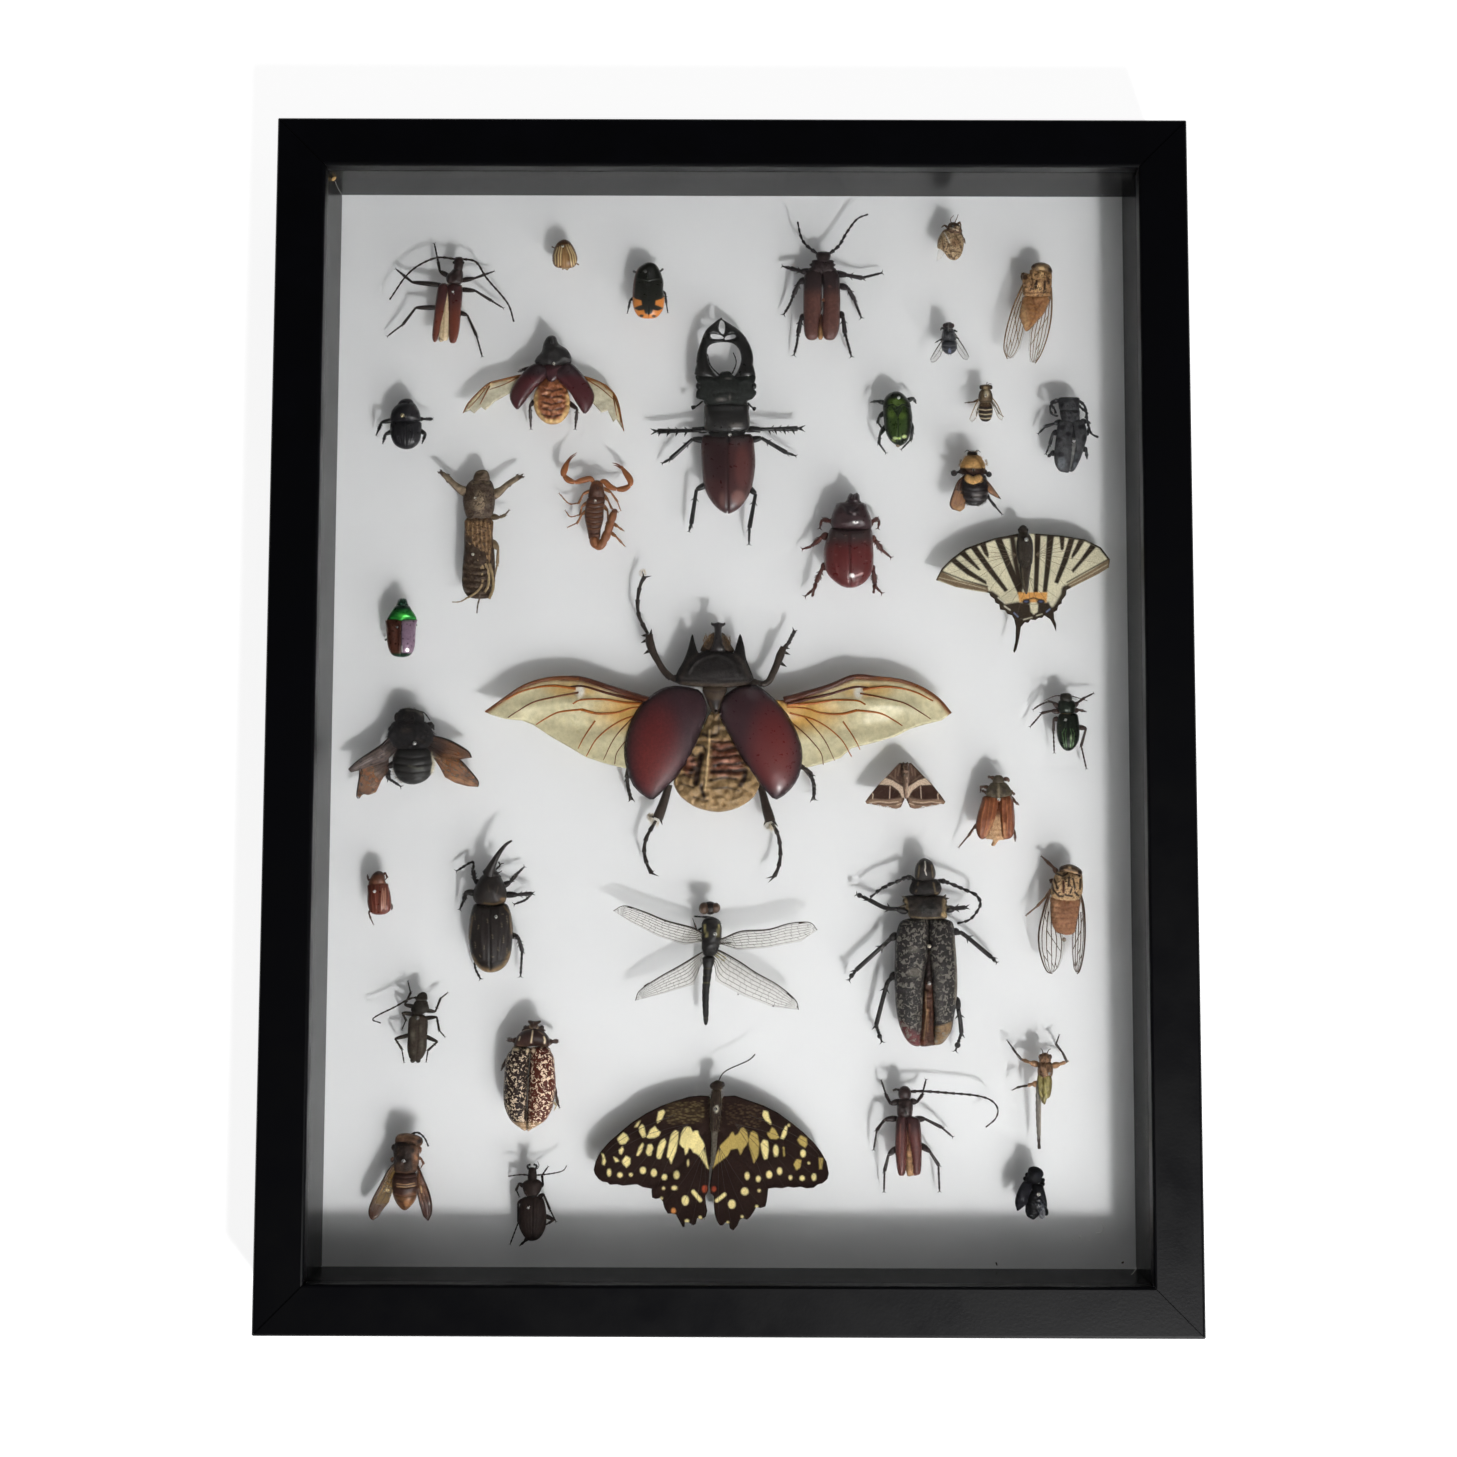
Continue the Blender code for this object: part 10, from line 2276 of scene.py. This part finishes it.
@at(-6, -148)
def lime_butterfly(p):
    base, yellow, dull, orange = (34, 21, 17), (226, 210, 146), (170, 148, 84), (150, 66, 42)
    left_edge = [(-1, 15.5), (-4, 15.7), (-8, 15.3), (-13, 13.8), (-18, 12), (-23, 9.5), (-28, 6.3),
                 (-32, 3), (-36, -0.5), (-39, -4), (-40.5, -7), (-41.2, -10), (-40.8, -11.5),
                 (-39.5, -13.2), (-38, -14.2), (-36.5, -14.3), (-35.5, -15.2), (-33, -15), (-31, -15.5),
                 (-28.5, -15.2), (-26, -15), (-24, -16), (-22, -16.3), (-21, -16.5), (-21, -17.5),
                 (-20.8, -19.5), (-19.5, -20), (-18, -19.7), (-17, -21), (-16.5, -23), (-15.3, -25),
                 (-13.8, -25), (-12.5, -25.3), (-11.5, -27), (-10, -29.7), (-9.4, -29.5), (-9.3, -28),
                 (-8, -28), (-6.5, -29), (-5.5, -28.5), (-5, -26.5), (-3.5, -27), (-2, -26), (-1.5, -24),
                 (-2, -21.5), (-2.2, -19), (-1.2, -17), (-1, -13), (-0.8, -9), (1, 0), (1.2, 10)]
    right_edge = [(4, 15.5), (8, 15.7), (13, 14), (18, 12.3), (23, 9.8), (28, 6.2), (32, 3), (35.5, -0.3),
                  (38, -3.5), (40, -7), (40.8, -11), (40.3, -13), (38.5, -14.5), (37, -14.8), (35.5, -16),
                  (33, -16.2), (31, -15.7), (28.5, -16), (26.5, -15.7), (24.5, -16.2), (22, -16),
                  (19.7, -16.3), (19.5, -18), (19.2, -20.5), (18.7, -22.5), (17, -23), (15.5, -22.7),
                  (14.8, -24), (13.5, -26), (12.3, -27), (10.8, -26.5), (9.8, -27), (9, -29), (7.5, -30.7),
                  (6.3, -30), (6, -28.5), (4.8, -28), (3.8, -29), (2.8, -29), (1.8, -27.5), (1, -25),
                  (0.7, -22), (0.7, -19), (-0.5, -18), (-0.7, -15), (0, -10), (0.4, 0), (1, 10)]
    areas = [[(-17, 10.7), (-18.7, 10), (-19.3, 7), (-19.2, 6), (-17.5, 7.3), (-16.5, 10)],
             [(-25, 7), (-26, 6.3), (-27, 4.7), (-26, 4.8)],
             [(-25.5, 4.5), (-24.5, 5.7), (-23.7, 5), (-23.3, 2.8), (-23, 1.5), (-24.2, 1), (-25.3, 3)],
             [(-22.8, 1.2), (-21.5, 3.8), (-20, 5), (-19, 3.8), (-18, 3), (-18.5, 1.8), (-20, 1),
              (-22, 0.9)],
             [(-33, 0.7), (-31, 2.8), (-29.7, 2), (-29, 0.6), (-30.2, -1), (-31.8, -1.3), (-32.5, -0.5)],
             [(-32.5, -3.3), (-31.2, -2), (-30.8, -3), (-31.5, -4.7), (-32.2, -4.5)],
             [(-38.5, -4.3), (-37.7, -4.8), (-37, -7), (-37.5, -8.5), (-38.3, -8), (-38, -6)],
             [(-34.5, -5.5), (-33, -6.2), (-32.3, -7), (-33.5, -7.4)],
             [(-31.3, -7), (-30, -5.2), (-28.5, -6), (-28.5, -7.8), (-29.7, -9.3), (-31, -8)],
             [(-26.3, -5), (-25.5, -2.5), (-24.3, -0.7), (-23.8, -1.3), (-24.5, -3.5), (-25.7, -5.2)],
             [(-23, -4), (-22.3, -1.3), (-21, -1.2), (-20.5, -2.5), (-21.3, -5), (-22.3, -5.2)],
             [(-19.3, -5.3), (-18.8, -2), (-17.8, 0), (-16.5, 0.8), (-16, -0.5), (-17, -3.5),
              (-18, -6.3), (-19, -6)],
             [(-15.7, -5.5), (-15, -1), (-14.3, 2), (-13, 3.7), (-11.7, 3.2), (-11.8, 0.5),
              (-12.5, -3.5), (-14.2, -7.8), (-15, -6)],
             [(-11.3, -1), (-10.8, 2.3), (-9.8, 4.5), (-8.8, 5), (-7.5, 4.6), (-6.7, 3), (-6, 3.5),
              (-5, 3.5), (-4.3, 1.5), (-3.5, 0.5), (-2.7, -1), (-2.3, -4), (-1.5, -8), (-1, -9.8),
              (-1.7, -9.2), (-3, -7), (-4.5, -5), (-5.5, -4.3), (-6.5, -4), (-7, -3), (-8, -2.2),
              (-8.5, -4), (-9.2, -4.8), (-9.7, -2.5), (-10.5, -2)],
             [(17.6, 9), (18, 10.6), (19.5, 10.2), (20, 8), (20.8, 6), (20.5, 5.7), (19, 6.8), (18, 8)],
             [(26.3, 5), (25.7, 5.3), (24.8, 3.5), (24, 1), (25, 0.7), (26, 2.5)],
             [(19.3, 3), (20, 3), (21, 4.8), (22, 4), (23.5, 1.3), (22.5, 0.7), (20.5, 0.8), (19.5, 2)],
             [(29.8, 0.5), (31, 2), (33, 1), (33.3, -1), (32.5, -2.2), (30.7, -1)],
             [(37.3, -5.7), (38.8, -5.8), (38.3, -9.5), (37.5, -9.5)],
             [(28.5, -8), (29.5, -6.2), (31.2, -6.5), (30.8, -9), (29.5, -10)],
             [(17, -1), (18, 0.5), (19.5, 0), (19.8, -3), (19.3, -6), (18.3, -6.3), (17.5, -4)],
             [(12.8, 0.5), (13.5, 3), (14.3, 3.5), (15.8, 2.5), (16.5, -1), (16.2, -4.5), (15.7, -6),
              (15.2, -6.5), (14.7, -7.8), (13.8, -4.5), (13, -2)],
             [(12.7, 0), (12.3, 3), (11, 4.7), (10, 4.3), (9.2, 2.5), (8, 1.8), (7.3, 3.2), (6.5, 2.5),
              (6, 1.5), (5, 0.5), (3, -1.5), (1.5, -5), (0.3, -9.5), (1.5, -8), (3, -7), (5.5, -5),
              (6.5, -3), (8, -2.7), (9, -2.5), (10, -4.8), (11, -2.5), (12, -1.5)]]
    spots = [(-8.3, -7.6, 0.35, 1), (-35.8, -11, 0.7, 1.25), (-32, -11.8, 0.9, 0.85),
             (-28.2, -11.7, 0.6, 0.6), (-24, -10.2, 1, 1.15), (-20.2, -11, 1, 1.3),
             (-16.5, -12.5, 0.9, 1), (-12.3, -11.7, 1, 1.4), (-13, -16.2, 1, 0.75),
             (-16.8, -16.3, 0.5, 0.5), (-9.2, -20.5, 1.2, 1.65), (-17.5, -19.8, 0.5, 0.5),
             (-8.6, -27.5, 0.75, 0.6), (-4, -26.3, 0.6, 0.6), (26.8, 5.5, 0.4, 0.5),
             (31.8, -4.2, 0.9, 1.25), (33.8, -7.5, 0.4, 0.4), (22.3, -3.3, 0.9, 2),
             (12.3, -12, 0.8, 1.3), (16.2, -13, 0.8, 1), (20, -11.5, 1, 1.25), (23.6, -10.3, 0.85, 1.2),
             (27.4, -12.5, 0.6, 0.75), (31.5, -12.7, 0.85, 0.85), (35.6, -12.3, 0.8, 1.2),
             (11.5, -17.3, 1.3, 1.3), (7, -21.7, 1.25, 1.5), (15.7, -22.5, 0.5, 0.5),
             (10.6, -26, 0.5, 0.5), (5.6, -28, 0.5, 0.5), (16.5, -17, 0.5, 0.5)]
    marks = [((46, 34, 24), 3, "area", [(-17, 9), (-15, 13), (-6, 14), (-2, 12), (-3, 7), (-12, 6)])]
    for k in range(9):
        for j in range(11):
            dx, dy = p.rng.random() - 0.5, p.rng.random() - 0.5
            marks.append(((112, 98, 64), 0.2, "spot", -3.6 - 1.15 * j + dx,
                          13.4 - 0.8 * k - 0.1 * j + dy, 0.42, 0.1))
            marks.append(((84, 70, 50), 0.2, "spot", 5.6 + 1.1 * j - dx, 12.6 - 0.8 * k - 0.1 * j + dy,
                          0.36, 0.1))
    for area in areas:
        marks.append((dull if 15.5 > area[0][0] > 12 or area[0][0] > 19.1 and area[0][1] < 4 else yellow,
                      0.35, "area", area))
    marks += [(yellow, 0.35, "spot", *spot) for spot in spots]
    marks += [(yellow, 0.35, "line", 1.3, [(-6.4, -17.5), (-4, -20.3)]),
              (yellow, 0.35, "line", 1.2, [(1.8, -20.5), (4.5, -18.4)]),
              (dull, 0.3, "line", 0.5, [(25, -2.2), (25.2, -5)]),
              ((196, 130, 70), 0.4, "spot", -13.3, -24, 0.8, 0.9),
              (orange, 0.4, "spot", -2.5, -16.5, 0.9, 1.25),
              (orange, 0.4, "spot", 0.8, -16.5, 0.7, 0.9)]
    ribs = {-1: [(-13, 9), (-26, 3.6), (-36, -3), (-38.5, -9)],
            1: [(13, 9), (26, 3.6), (36, -3), (38.5, -9)]}
    for side, edge, h in ((-1, left_edge, 9.3), (1, right_edge, 9.6)):
        p.sheet(edge, h, base, "scales", marks, spacing=0.4, waves=(9, 1.1), thick=0.08, under=0.08,
                relief=[([(side * 3, 3), (side * 12, -9), (side * 20, -15)], 1.2, -0.5)])
        p.vein(ribs[side], 0.12, (34, 24, 20))
        for end in ((39, -7), (37, -13), (31, -15), (25, -15.4), (19, -16)):
            p.vein([(side * 8, 6), (side * (8 + end[0]) / 2, (6 + end[1]) / 2 + 2.2),
                    (side * end[0], end[1])], 0.09, (30, 21, 18))
        for end in ((17, -22), (12, -26), (7, -29), (2.5, -27)):
            p.vein([(side * 2.5, -2), (side * (2 + end[0]) / 2, (-4 + end[1]) / 2), (side * end[0], end[1])],
                   0.09, (30, 21, 18))
    p.body([(1.9, 21, 1.2), (1.8, 19.3, 2.2), (1.5, 17.2, 1.7)],
           [("head", 17.2, (40, 31, 26), "velvet", dict(hair=(160, 0.8, (90, 76, 54))))], 0.8, 9.8)
    p.ball(0.3, 19.0, 9.9, 1.2, (28, 22, 20))
    p.ball(3.4, 19.5, 9.9, 1.1, (28, 22, 20))
    p.body([(1.5, 18, 1.5), (1.3, 13, 2), (1, 6, 1.7), (0.8, 3, 1.2)],
           [("thorax", 3, (50, 40, 33), "velvet",
             dict(hair=(600, 1.3, (104, 92, 66)),
                  paint=[((205, 200, 180), 0.5, "spot", 1.5, 11, 0.7, 1.2)]))], 0.9, 9.8)
    p.body([(0.9, 4, 1.2), (0.6, -4, 0.9), (0, -9, 0.6)],
           [("abdomen", -9, (84, 78, 68), "velvet", dict(segments=7, hair=(120, 0.5, (120, 110, 80))))],
           0.9, 9.8)
    p.feeler(0.2, BLACK, "thread", [(1.9, 20), (4.5, 24), (12.5, 27.8), (15, 30)], end=1.3)
    p.pin(1.3, 11, r=0.6)


@at(106, -164)
def blue_beetle(p):
    tone, sheen = (15, 15, 18), (24, 25, 31)
    p.dome([(-1.2, -0.6), (3, -0.6), (3.6, -4), (2.8, -8), (1.8, -9.3), (0.9, -10), (0.2, -10.6),
            (-0.45, -10.6), (-1.2, -10.2), (-2.2, -9.6), (-2.8, -8.3), (-2.9, -6.8), (-2.4, -3)], 9,
           2.8, (12, 12, 14), "dull",
           [((22, 22, 25), 0.5, "line", 0.3, [(-2.2, y), (2.4, y - 0.4)]) for y in (-5, -7, -9)],
           spacing=0.36, relief=[([(-2.6, y), (2.8, y - 0.4)], 0.25, -0.4) for y in (-5, -7, -9)])
    p.dome([(-1.85, 6.3), (-1.35, 7.2), (-0.3, 7.6), (0.7, 7.6), (1.8, 7.3), (3, 6.5), (3.6, 5.4),
            (3.5, 4.4), (2.9, 3.5), (2.5, 2.1), (0, 1.4), (-2.4, 2.2), (-2.7, 3.4), (-2.1, 4.4),
            (-1.9, 5.3)], 9.4, 3, tone, "dull", [(sheen, 0.8, "spot", 1.6, 4.4, 1.4, 1)], spacing=0.34,
           relief=[([(-1.8, 6.2), (-0.9, 5.8), (0, 6.2)], 0.25, -0.5),
                   ([(2.2, 7), (1.6, 6.2), (0.6, 6)], 0.25, -0.3)])
    p.wing([(-0.45, -4.3), (2.2, -3.3), (4.2, -5.8), (4.2, -8.3), (3.7, -10.1), (3, -10.4), (2.1, -9.9),
            (1.2, -7.3), (0.2, -5.6)], 2, 11.6, (40, 42, 50), "smoky", spacing=0.4, waves=(1, 0.4))
    p.dome([(-3, 2.6), (-3.9, 1.9), (-4.9, 0.3), (-5.8, -1.7), (-6.4, -4), (-6.4, -5.5), (-6, -6.8),
            (-5.7, -7.7), (-4.6, -7.2), (-3.4, -6.2), (-2.2, -5.3), (-1.5, -3.2), (-0.6, -0.7),
            (-0.4, 1.9)], 10, 2.2, (22, 22, 27), "dull",
           [(tone, 0.6, "line", 0.6, [(-4.4, 1), (-5.9, -2), (-6.1, -6)])], under=0.3, spacing=0.36)
    p.dome([(-0.2, 1.6), (3.2, 1.4), (3.6, 0.4), (4.1, -1.5), (4.6, -3.8), (4.75, -5.8), (4.4, -7.5),
            (4, -8), (3.4, -6), (2.4, -4.4), (0.8, -3.6), (-0.2, -1.6)], 10, 2.2, tone, "dull",
           [(sheen, 0.6, "line", 0.5, [(2.8, -2), (3.8, -5)])], under=0.3, spacing=0.36)
    # the light lines on the wing are painted highlights, drawn as thin tubes above it
    for line in ([(2.4, -4.6), (3.4, -6.4), (3, -8)], [(1.6, -5.4), (2.2, -7), (2.6, -7.9)]):
        p.vein(line, 0.12, (84, 88, 96), lambda xy: np.full(len(xy), 11.9))
    p.legs(0.6, (14, 14, 16), "dull", 0, [(-1.8, 4.6), (-2.3, 4.8), (-3, 4.8)],
           [(-2.2, 3.2), (-3.2, 3.5), (-4.4, 3.4)], [(2.4, 2.2), (3.7, 3.2), (4.8, 4), (6.4, 4.4)],
           [(2.4, 1.6), (3.7, 1.5), (4.5, 0.8), (4.6, 0.2)], [(4, -6.6), (4.5, -9.1), (4.8, -10.4)],
           feet=False, ankle=1)
    p.pin(1.8, -2.05, r=0.7, colour=(236, 232, 222))


for draw, piece in SPECIMENS:
    draw(piece)
    piece.build()


# ---------------------------------------------------------------- the frame's finishes

def surface(name, colour, roughness, specular=0.5, cloud=0.0, cloud_size=60, grain=0.0,
            grain_size=1500, metallic=0.0, transmission=0.0, ior=1.5):
    """A finish of one colour, with clouds in its tone and gloss and with a fine grain."""
    mat, nodes, links, shader = new_material(name)
    coords = nodes.new("ShaderNodeTexCoord").outputs["Object"]
    base = linear(colour)
    shader.inputs["Base Color"].default_value = (*base, 1)
    if cloud:
        fog = noise_node(nodes, links, coords, cloud_size, 6, 0.6)
        gain = ranged(nodes, links, fog.outputs["Fac"], 0.3, 0.7, 1 - cloud, 1 + cloud)
        tone = nodes.new("ShaderNodeVectorMath")
        tone.operation = "SCALE"
        tone.inputs[0].default_value = tuple(base)
        links.new(gain, tone.inputs["Scale"])
        links.new(tone.outputs["Vector"], shader.inputs["Base Color"])
        links.new(ranged(nodes, links, fog.outputs["Fac"], 0.3, 0.7, roughness * (1 + cloud / 2),
                         roughness * (1 - cloud / 2)), shader.inputs["Roughness"])
    else:
        shader.inputs["Roughness"].default_value = roughness
    if grain:
        fine = noise_node(nodes, links, coords, grain_size, 4, 0.6)
        bump = nodes.new("ShaderNodeBump")
        bump.inputs["Strength"].default_value = grain
        bump.inputs["Distance"].default_value = 0.1 * MM
        links.new(fine.outputs["Fac"], bump.inputs["Height"])
        links.new(bump.outputs["Normal"], shader.inputs["Normal"])
    shader.inputs["Specular IOR Level"].default_value = specular
    shader.inputs["Metallic"].default_value = metallic
    shader.inputs["Transmission Weight"].default_value = transmission
    shader.inputs["IOR"].default_value = ior
    return mat


def dress(material, *names):
    """Gives CAD nodes a finish."""
    for name in names:
        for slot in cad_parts[name].material_slots:
            slot.material = material


dress(surface("black_laminate", (12, 12, 16), 0.36, 0.28, cloud=0.35, cloud_size=55, grain=0.25,
              grain_size=900), "rail_top", "rail_bottom", "rail_left", "rail_right")
dress(surface("pane", (255, 255, 255), 0.0, transmission=1.0, ior=1.45), "glass")
dress(surface("foam_board", (235, 236, 236), 0.7, 0.25, cloud=0.012, cloud_size=30, grain=0.12,
              grain_size=1200), "mounting_board")
dress(surface("gloss_black_strip", (7, 7, 8), 0.22, 0.28, cloud=0.2, cloud_size=90), "spacer_top",
      "spacer_right")
# a darker, less glossy copy of the same black strip: painted shade on the left and bottom spacers
dress(surface("shaded_copy_black_strip", (6, 6, 7), 0.24, 0.17, cloud=0.2, cloud_size=90), "spacer_left",
      "spacer_bottom")
dress(surface("hardboard_back", (120, 84, 52), 0.75, 0.3, cloud=0.16, cloud_size=160, grain=0.6,
              grain_size=2200), "backing_board")
dress(surface("zinc_steel", (150, 152, 156), 0.32, metallic=1.0, cloud=0.1, cloud_size=300),
      *[f"back_tab_{k}" for k in range(1, 7)])
dress(surface("brass_plate", (196, 160, 84), 0.3, metallic=1.0, cloud=0.12, cloud_size=260),
      "hanger", "hanger_nail_left", "hanger_nail_right")


# ---------------------------------------------------------------- joint filler and debris

def loose(name, rings_of, material):
    """A small piece made of closed rings, which rides with the frame."""
    mesh = bpy.data.meshes.new(name)
    points, faces = [], []
    for rings in rings_of:
        rings = np.asarray(rings, float)
        count, around = rings.shape[:2]
        base = len(points)
        points += (rings.reshape(-1, 3) * MM).tolist()
        for i in range(count - 1):
            faces += [(base + i * around + j, base + i * around + (j + 1) % around,
                       base + (i + 1) * around + (j + 1) % around, base + (i + 1) * around + j)
                      for j in range(around)]
        faces.append(tuple(base + j for j in reversed(range(around))))
        faces.append(tuple(base + (count - 1) * around + j for j in range(around)))
    mesh.from_pydata(points, [], faces)
    mesh.materials.append(material)
    piece = placed(name, mesh)
    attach(piece, "root")


def slab(sx, sy, near, far, low, high):
    """Two closed rings of a thin slab along the mitre of one corner.

    It runs from near to far inward of the frame's outside, between two heights over its back.
    """
    across = 0.2
    outer_x, outer_y = HALF_WIDTH - near, HALF_HEIGHT - near
    inner_x, inner_y = HALF_WIDTH - far, HALF_HEIGHT - far
    ring = [(sx * (outer_x - across), sy * outer_y), (sx * outer_x, sy * (outer_y - across)),
            (sx * (inner_x + across), sy * inner_y), (sx * inner_x, sy * (inner_y + across))]
    return [[(*q, z) for q in ring] for z in (low, high)]


def crumb(x, y, r, long=1.0, turn=0.0, z=BOARD_TOP):
    """A bit of debris of radius r, lying on the board unless z says otherwise."""
    c, d = math.cos(turn), math.sin(turn)
    rings = []
    for t in np.linspace(0.25, math.pi - 0.25, 5):
        ring = []
        for a in np.linspace(0, 2 * math.pi, 6, endpoint=False):
            u, v = -math.cos(t) * r * long, math.sin(t) * math.cos(a) * r
            ring.append((x + u * c - v * d, y + u * d + v * c, z + (1 + math.sin(t) * math.sin(a)) * r * 0.7))
        rings.append(ring)
    return rings


def fibre(points, r):
    """A curved thread through points given in the frame's mm."""
    path = catmull(points, 4)
    angles = np.linspace(0, 2 * math.pi, 5, endpoint=False)
    return [[q + r * np.array((math.cos(a) * 0.7, math.cos(a) * 0.7, 1.4 * math.sin(a)))
             for a in angles] for q in path]


CORNERS = [(sx, sy) for sx in (1, -1) for sy in (1, -1)]
# how far inward the filler runs in a mitre and between which heights: in the lip, in the wall
MITRES = ((0.3, 17.1, 37.2, 41.5), (0.3, 9.9, 0.4, 37.2))
loose("mitre_filler",
      [slab(*corner, *sizes) for corner in CORNERS for sizes in MITRES],
      surface("black_filler", (6, 6, 7), 0.6, 0.2))
ON_BOARD = BOARD_TOP + 0.15
pale_bits = [crumb(123.7, -182.2, 0.42), crumb(121.1, -183.2, 0.26, 1.8, 1.2),
             crumb(128.6, -176.5, 0.22, 1.8, 0.1), crumb(136.6, -176.7, 0.2),
             crumb(127, -183.6, 0.24), crumb(130, -185.6, 0.16), crumb(105.6, -181.6, 0.18),
             crumb(137.1, -188.6, 0.18, 2.4, 1.4), crumb(132.4, -190, 0.14),
             crumb(128.4, -172.4, 0.16, 1.5, 0.4)]
pale_threads = [fibre([(129.4, -180.9, ON_BOARD), (131, -180.6, ON_BOARD), (132, -179, ON_BOARD),
                       (131.4, -177.2, ON_BOARD)], 0.14),
                fibre([(139.6, -193.2, 20), (140.4, -192.2, 20.5), (141.2, -190.6, 21)], 0.12)]
loose("pale_debris", [*pale_bits, *pale_threads],
      surface("debris_pale", (246, 244, 236), 0.8))
loose("tan_debris",
      [crumb(-142.5, 192.7, 0.62, 1.7, 0.9, 28), crumb(-142.2, 193.1, 0.3, 2, 0.3, 28.4)],
      surface("debris_tan", (196, 160, 104), 0.8))
loose("corner_thread",
      [fibre([(-142.4, 192.3, 27), (-142.7, 192.1, 21), (-142.9, 192.6, 14)], 0.07)],
      surface("debris_thread", (150, 150, 148), 0.7))
loose("dark_debris",
      [crumb(138.6, -191, 0.34, 1.5, 0.4), crumb(94.2, -191.6, 0.26, 2.6, 1.9), crumb(-131, 166, 0.12),
       crumb(60, 90, 0.12)],
      surface("debris_dark", (70, 60, 52), 0.8))


# ---------------------------------------------------------------- floor, lamps and camera

def floor():
    """A white floor just under the frame, light enough to give the photo's white ground."""
    reach, drop = 4, 0.0004     # m
    mesh = bpy.data.meshes.new("floor")
    mesh.from_pydata([(-reach, -reach, -drop), (reach, -reach, -drop), (reach, reach, -drop),
                      (-reach, reach, -drop)], [], [(0, 1, 2, 3)])
    plane = bpy.data.objects.new("floor", mesh)
    bpy.context.scene.collection.objects.link(plane)
    mat, _, _, shader = new_material("floor_white")
    shader.inputs["Base Color"].default_value = (0.95, 0.95, 0.95, 1)
    shader.inputs["Roughness"].default_value = 0.9
    shader.inputs["Specular IOR Level"].default_value = 0.0
    shader.inputs["Emission Color"].default_value = (1, 1, 1, 1)
    shader.inputs["Emission Strength"].default_value = 0.86
    mesh.materials.append(mat)


def lamp(name, spot, size, power):
    """A round white lamp that looks at the specimens; only the key lamp shows in gloss."""
    light = bpy.data.lights.new(name, "AREA")
    light.shape, light.size, light.energy = "DISK", size, power
    holder = bpy.data.objects.new(name, light)
    holder.location = spot
    toward = Vector((0, 0, 0.02)) - Vector(spot)
    holder.rotation_euler = toward.to_track_quat("-Z", "Y").to_euler()
    bpy.context.scene.collection.objects.link(holder)
    holder.visible_glossy = name == "key"


floor()
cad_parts["glass"].visible_shadow = False
lamp("key", (0.456, -0.912, 1.2), 0.15, 10.6)
lamp("fill_left", (-1.1, 0.25, 0.8), 0.9, 0.9)
lamp("fill_top", (0.2, 1.2, 0.9), 0.9, 1.25)
lamp("fill_right", (1.2, 0.1, 0.8), 0.9, 0.9)
world = bpy.data.worlds.new("room")
world.use_nodes = True
world.node_tree.nodes["Background"].inputs["Color"].default_value = (1, 1, 1, 1)
world.node_tree.nodes["Background"].inputs["Strength"].default_value = 0.015
scene = bpy.context.scene
scene.world = world
scene.view_settings.view_transform = "Standard"

SENSOR = 36                 # mm
PHOTO_PIXELS = 1457         # the photo's width
FOCAL_PIXELS = 1852.19      # the focal length of the fitted camera
view = bpy.data.cameras.new("camera")
view.sensor_width = SENSOR
view.lens = FOCAL_PIXELS / PHOTO_PIXELS * SENSOR
camera = bpy.data.objects.new("camera", view)
camera.location = (0.000146, -0.052878, 0.675494)
camera.rotation_euler = (0.075, 0.001, 0.003)
scene.collection.objects.link(camera)
scene.camera = camera
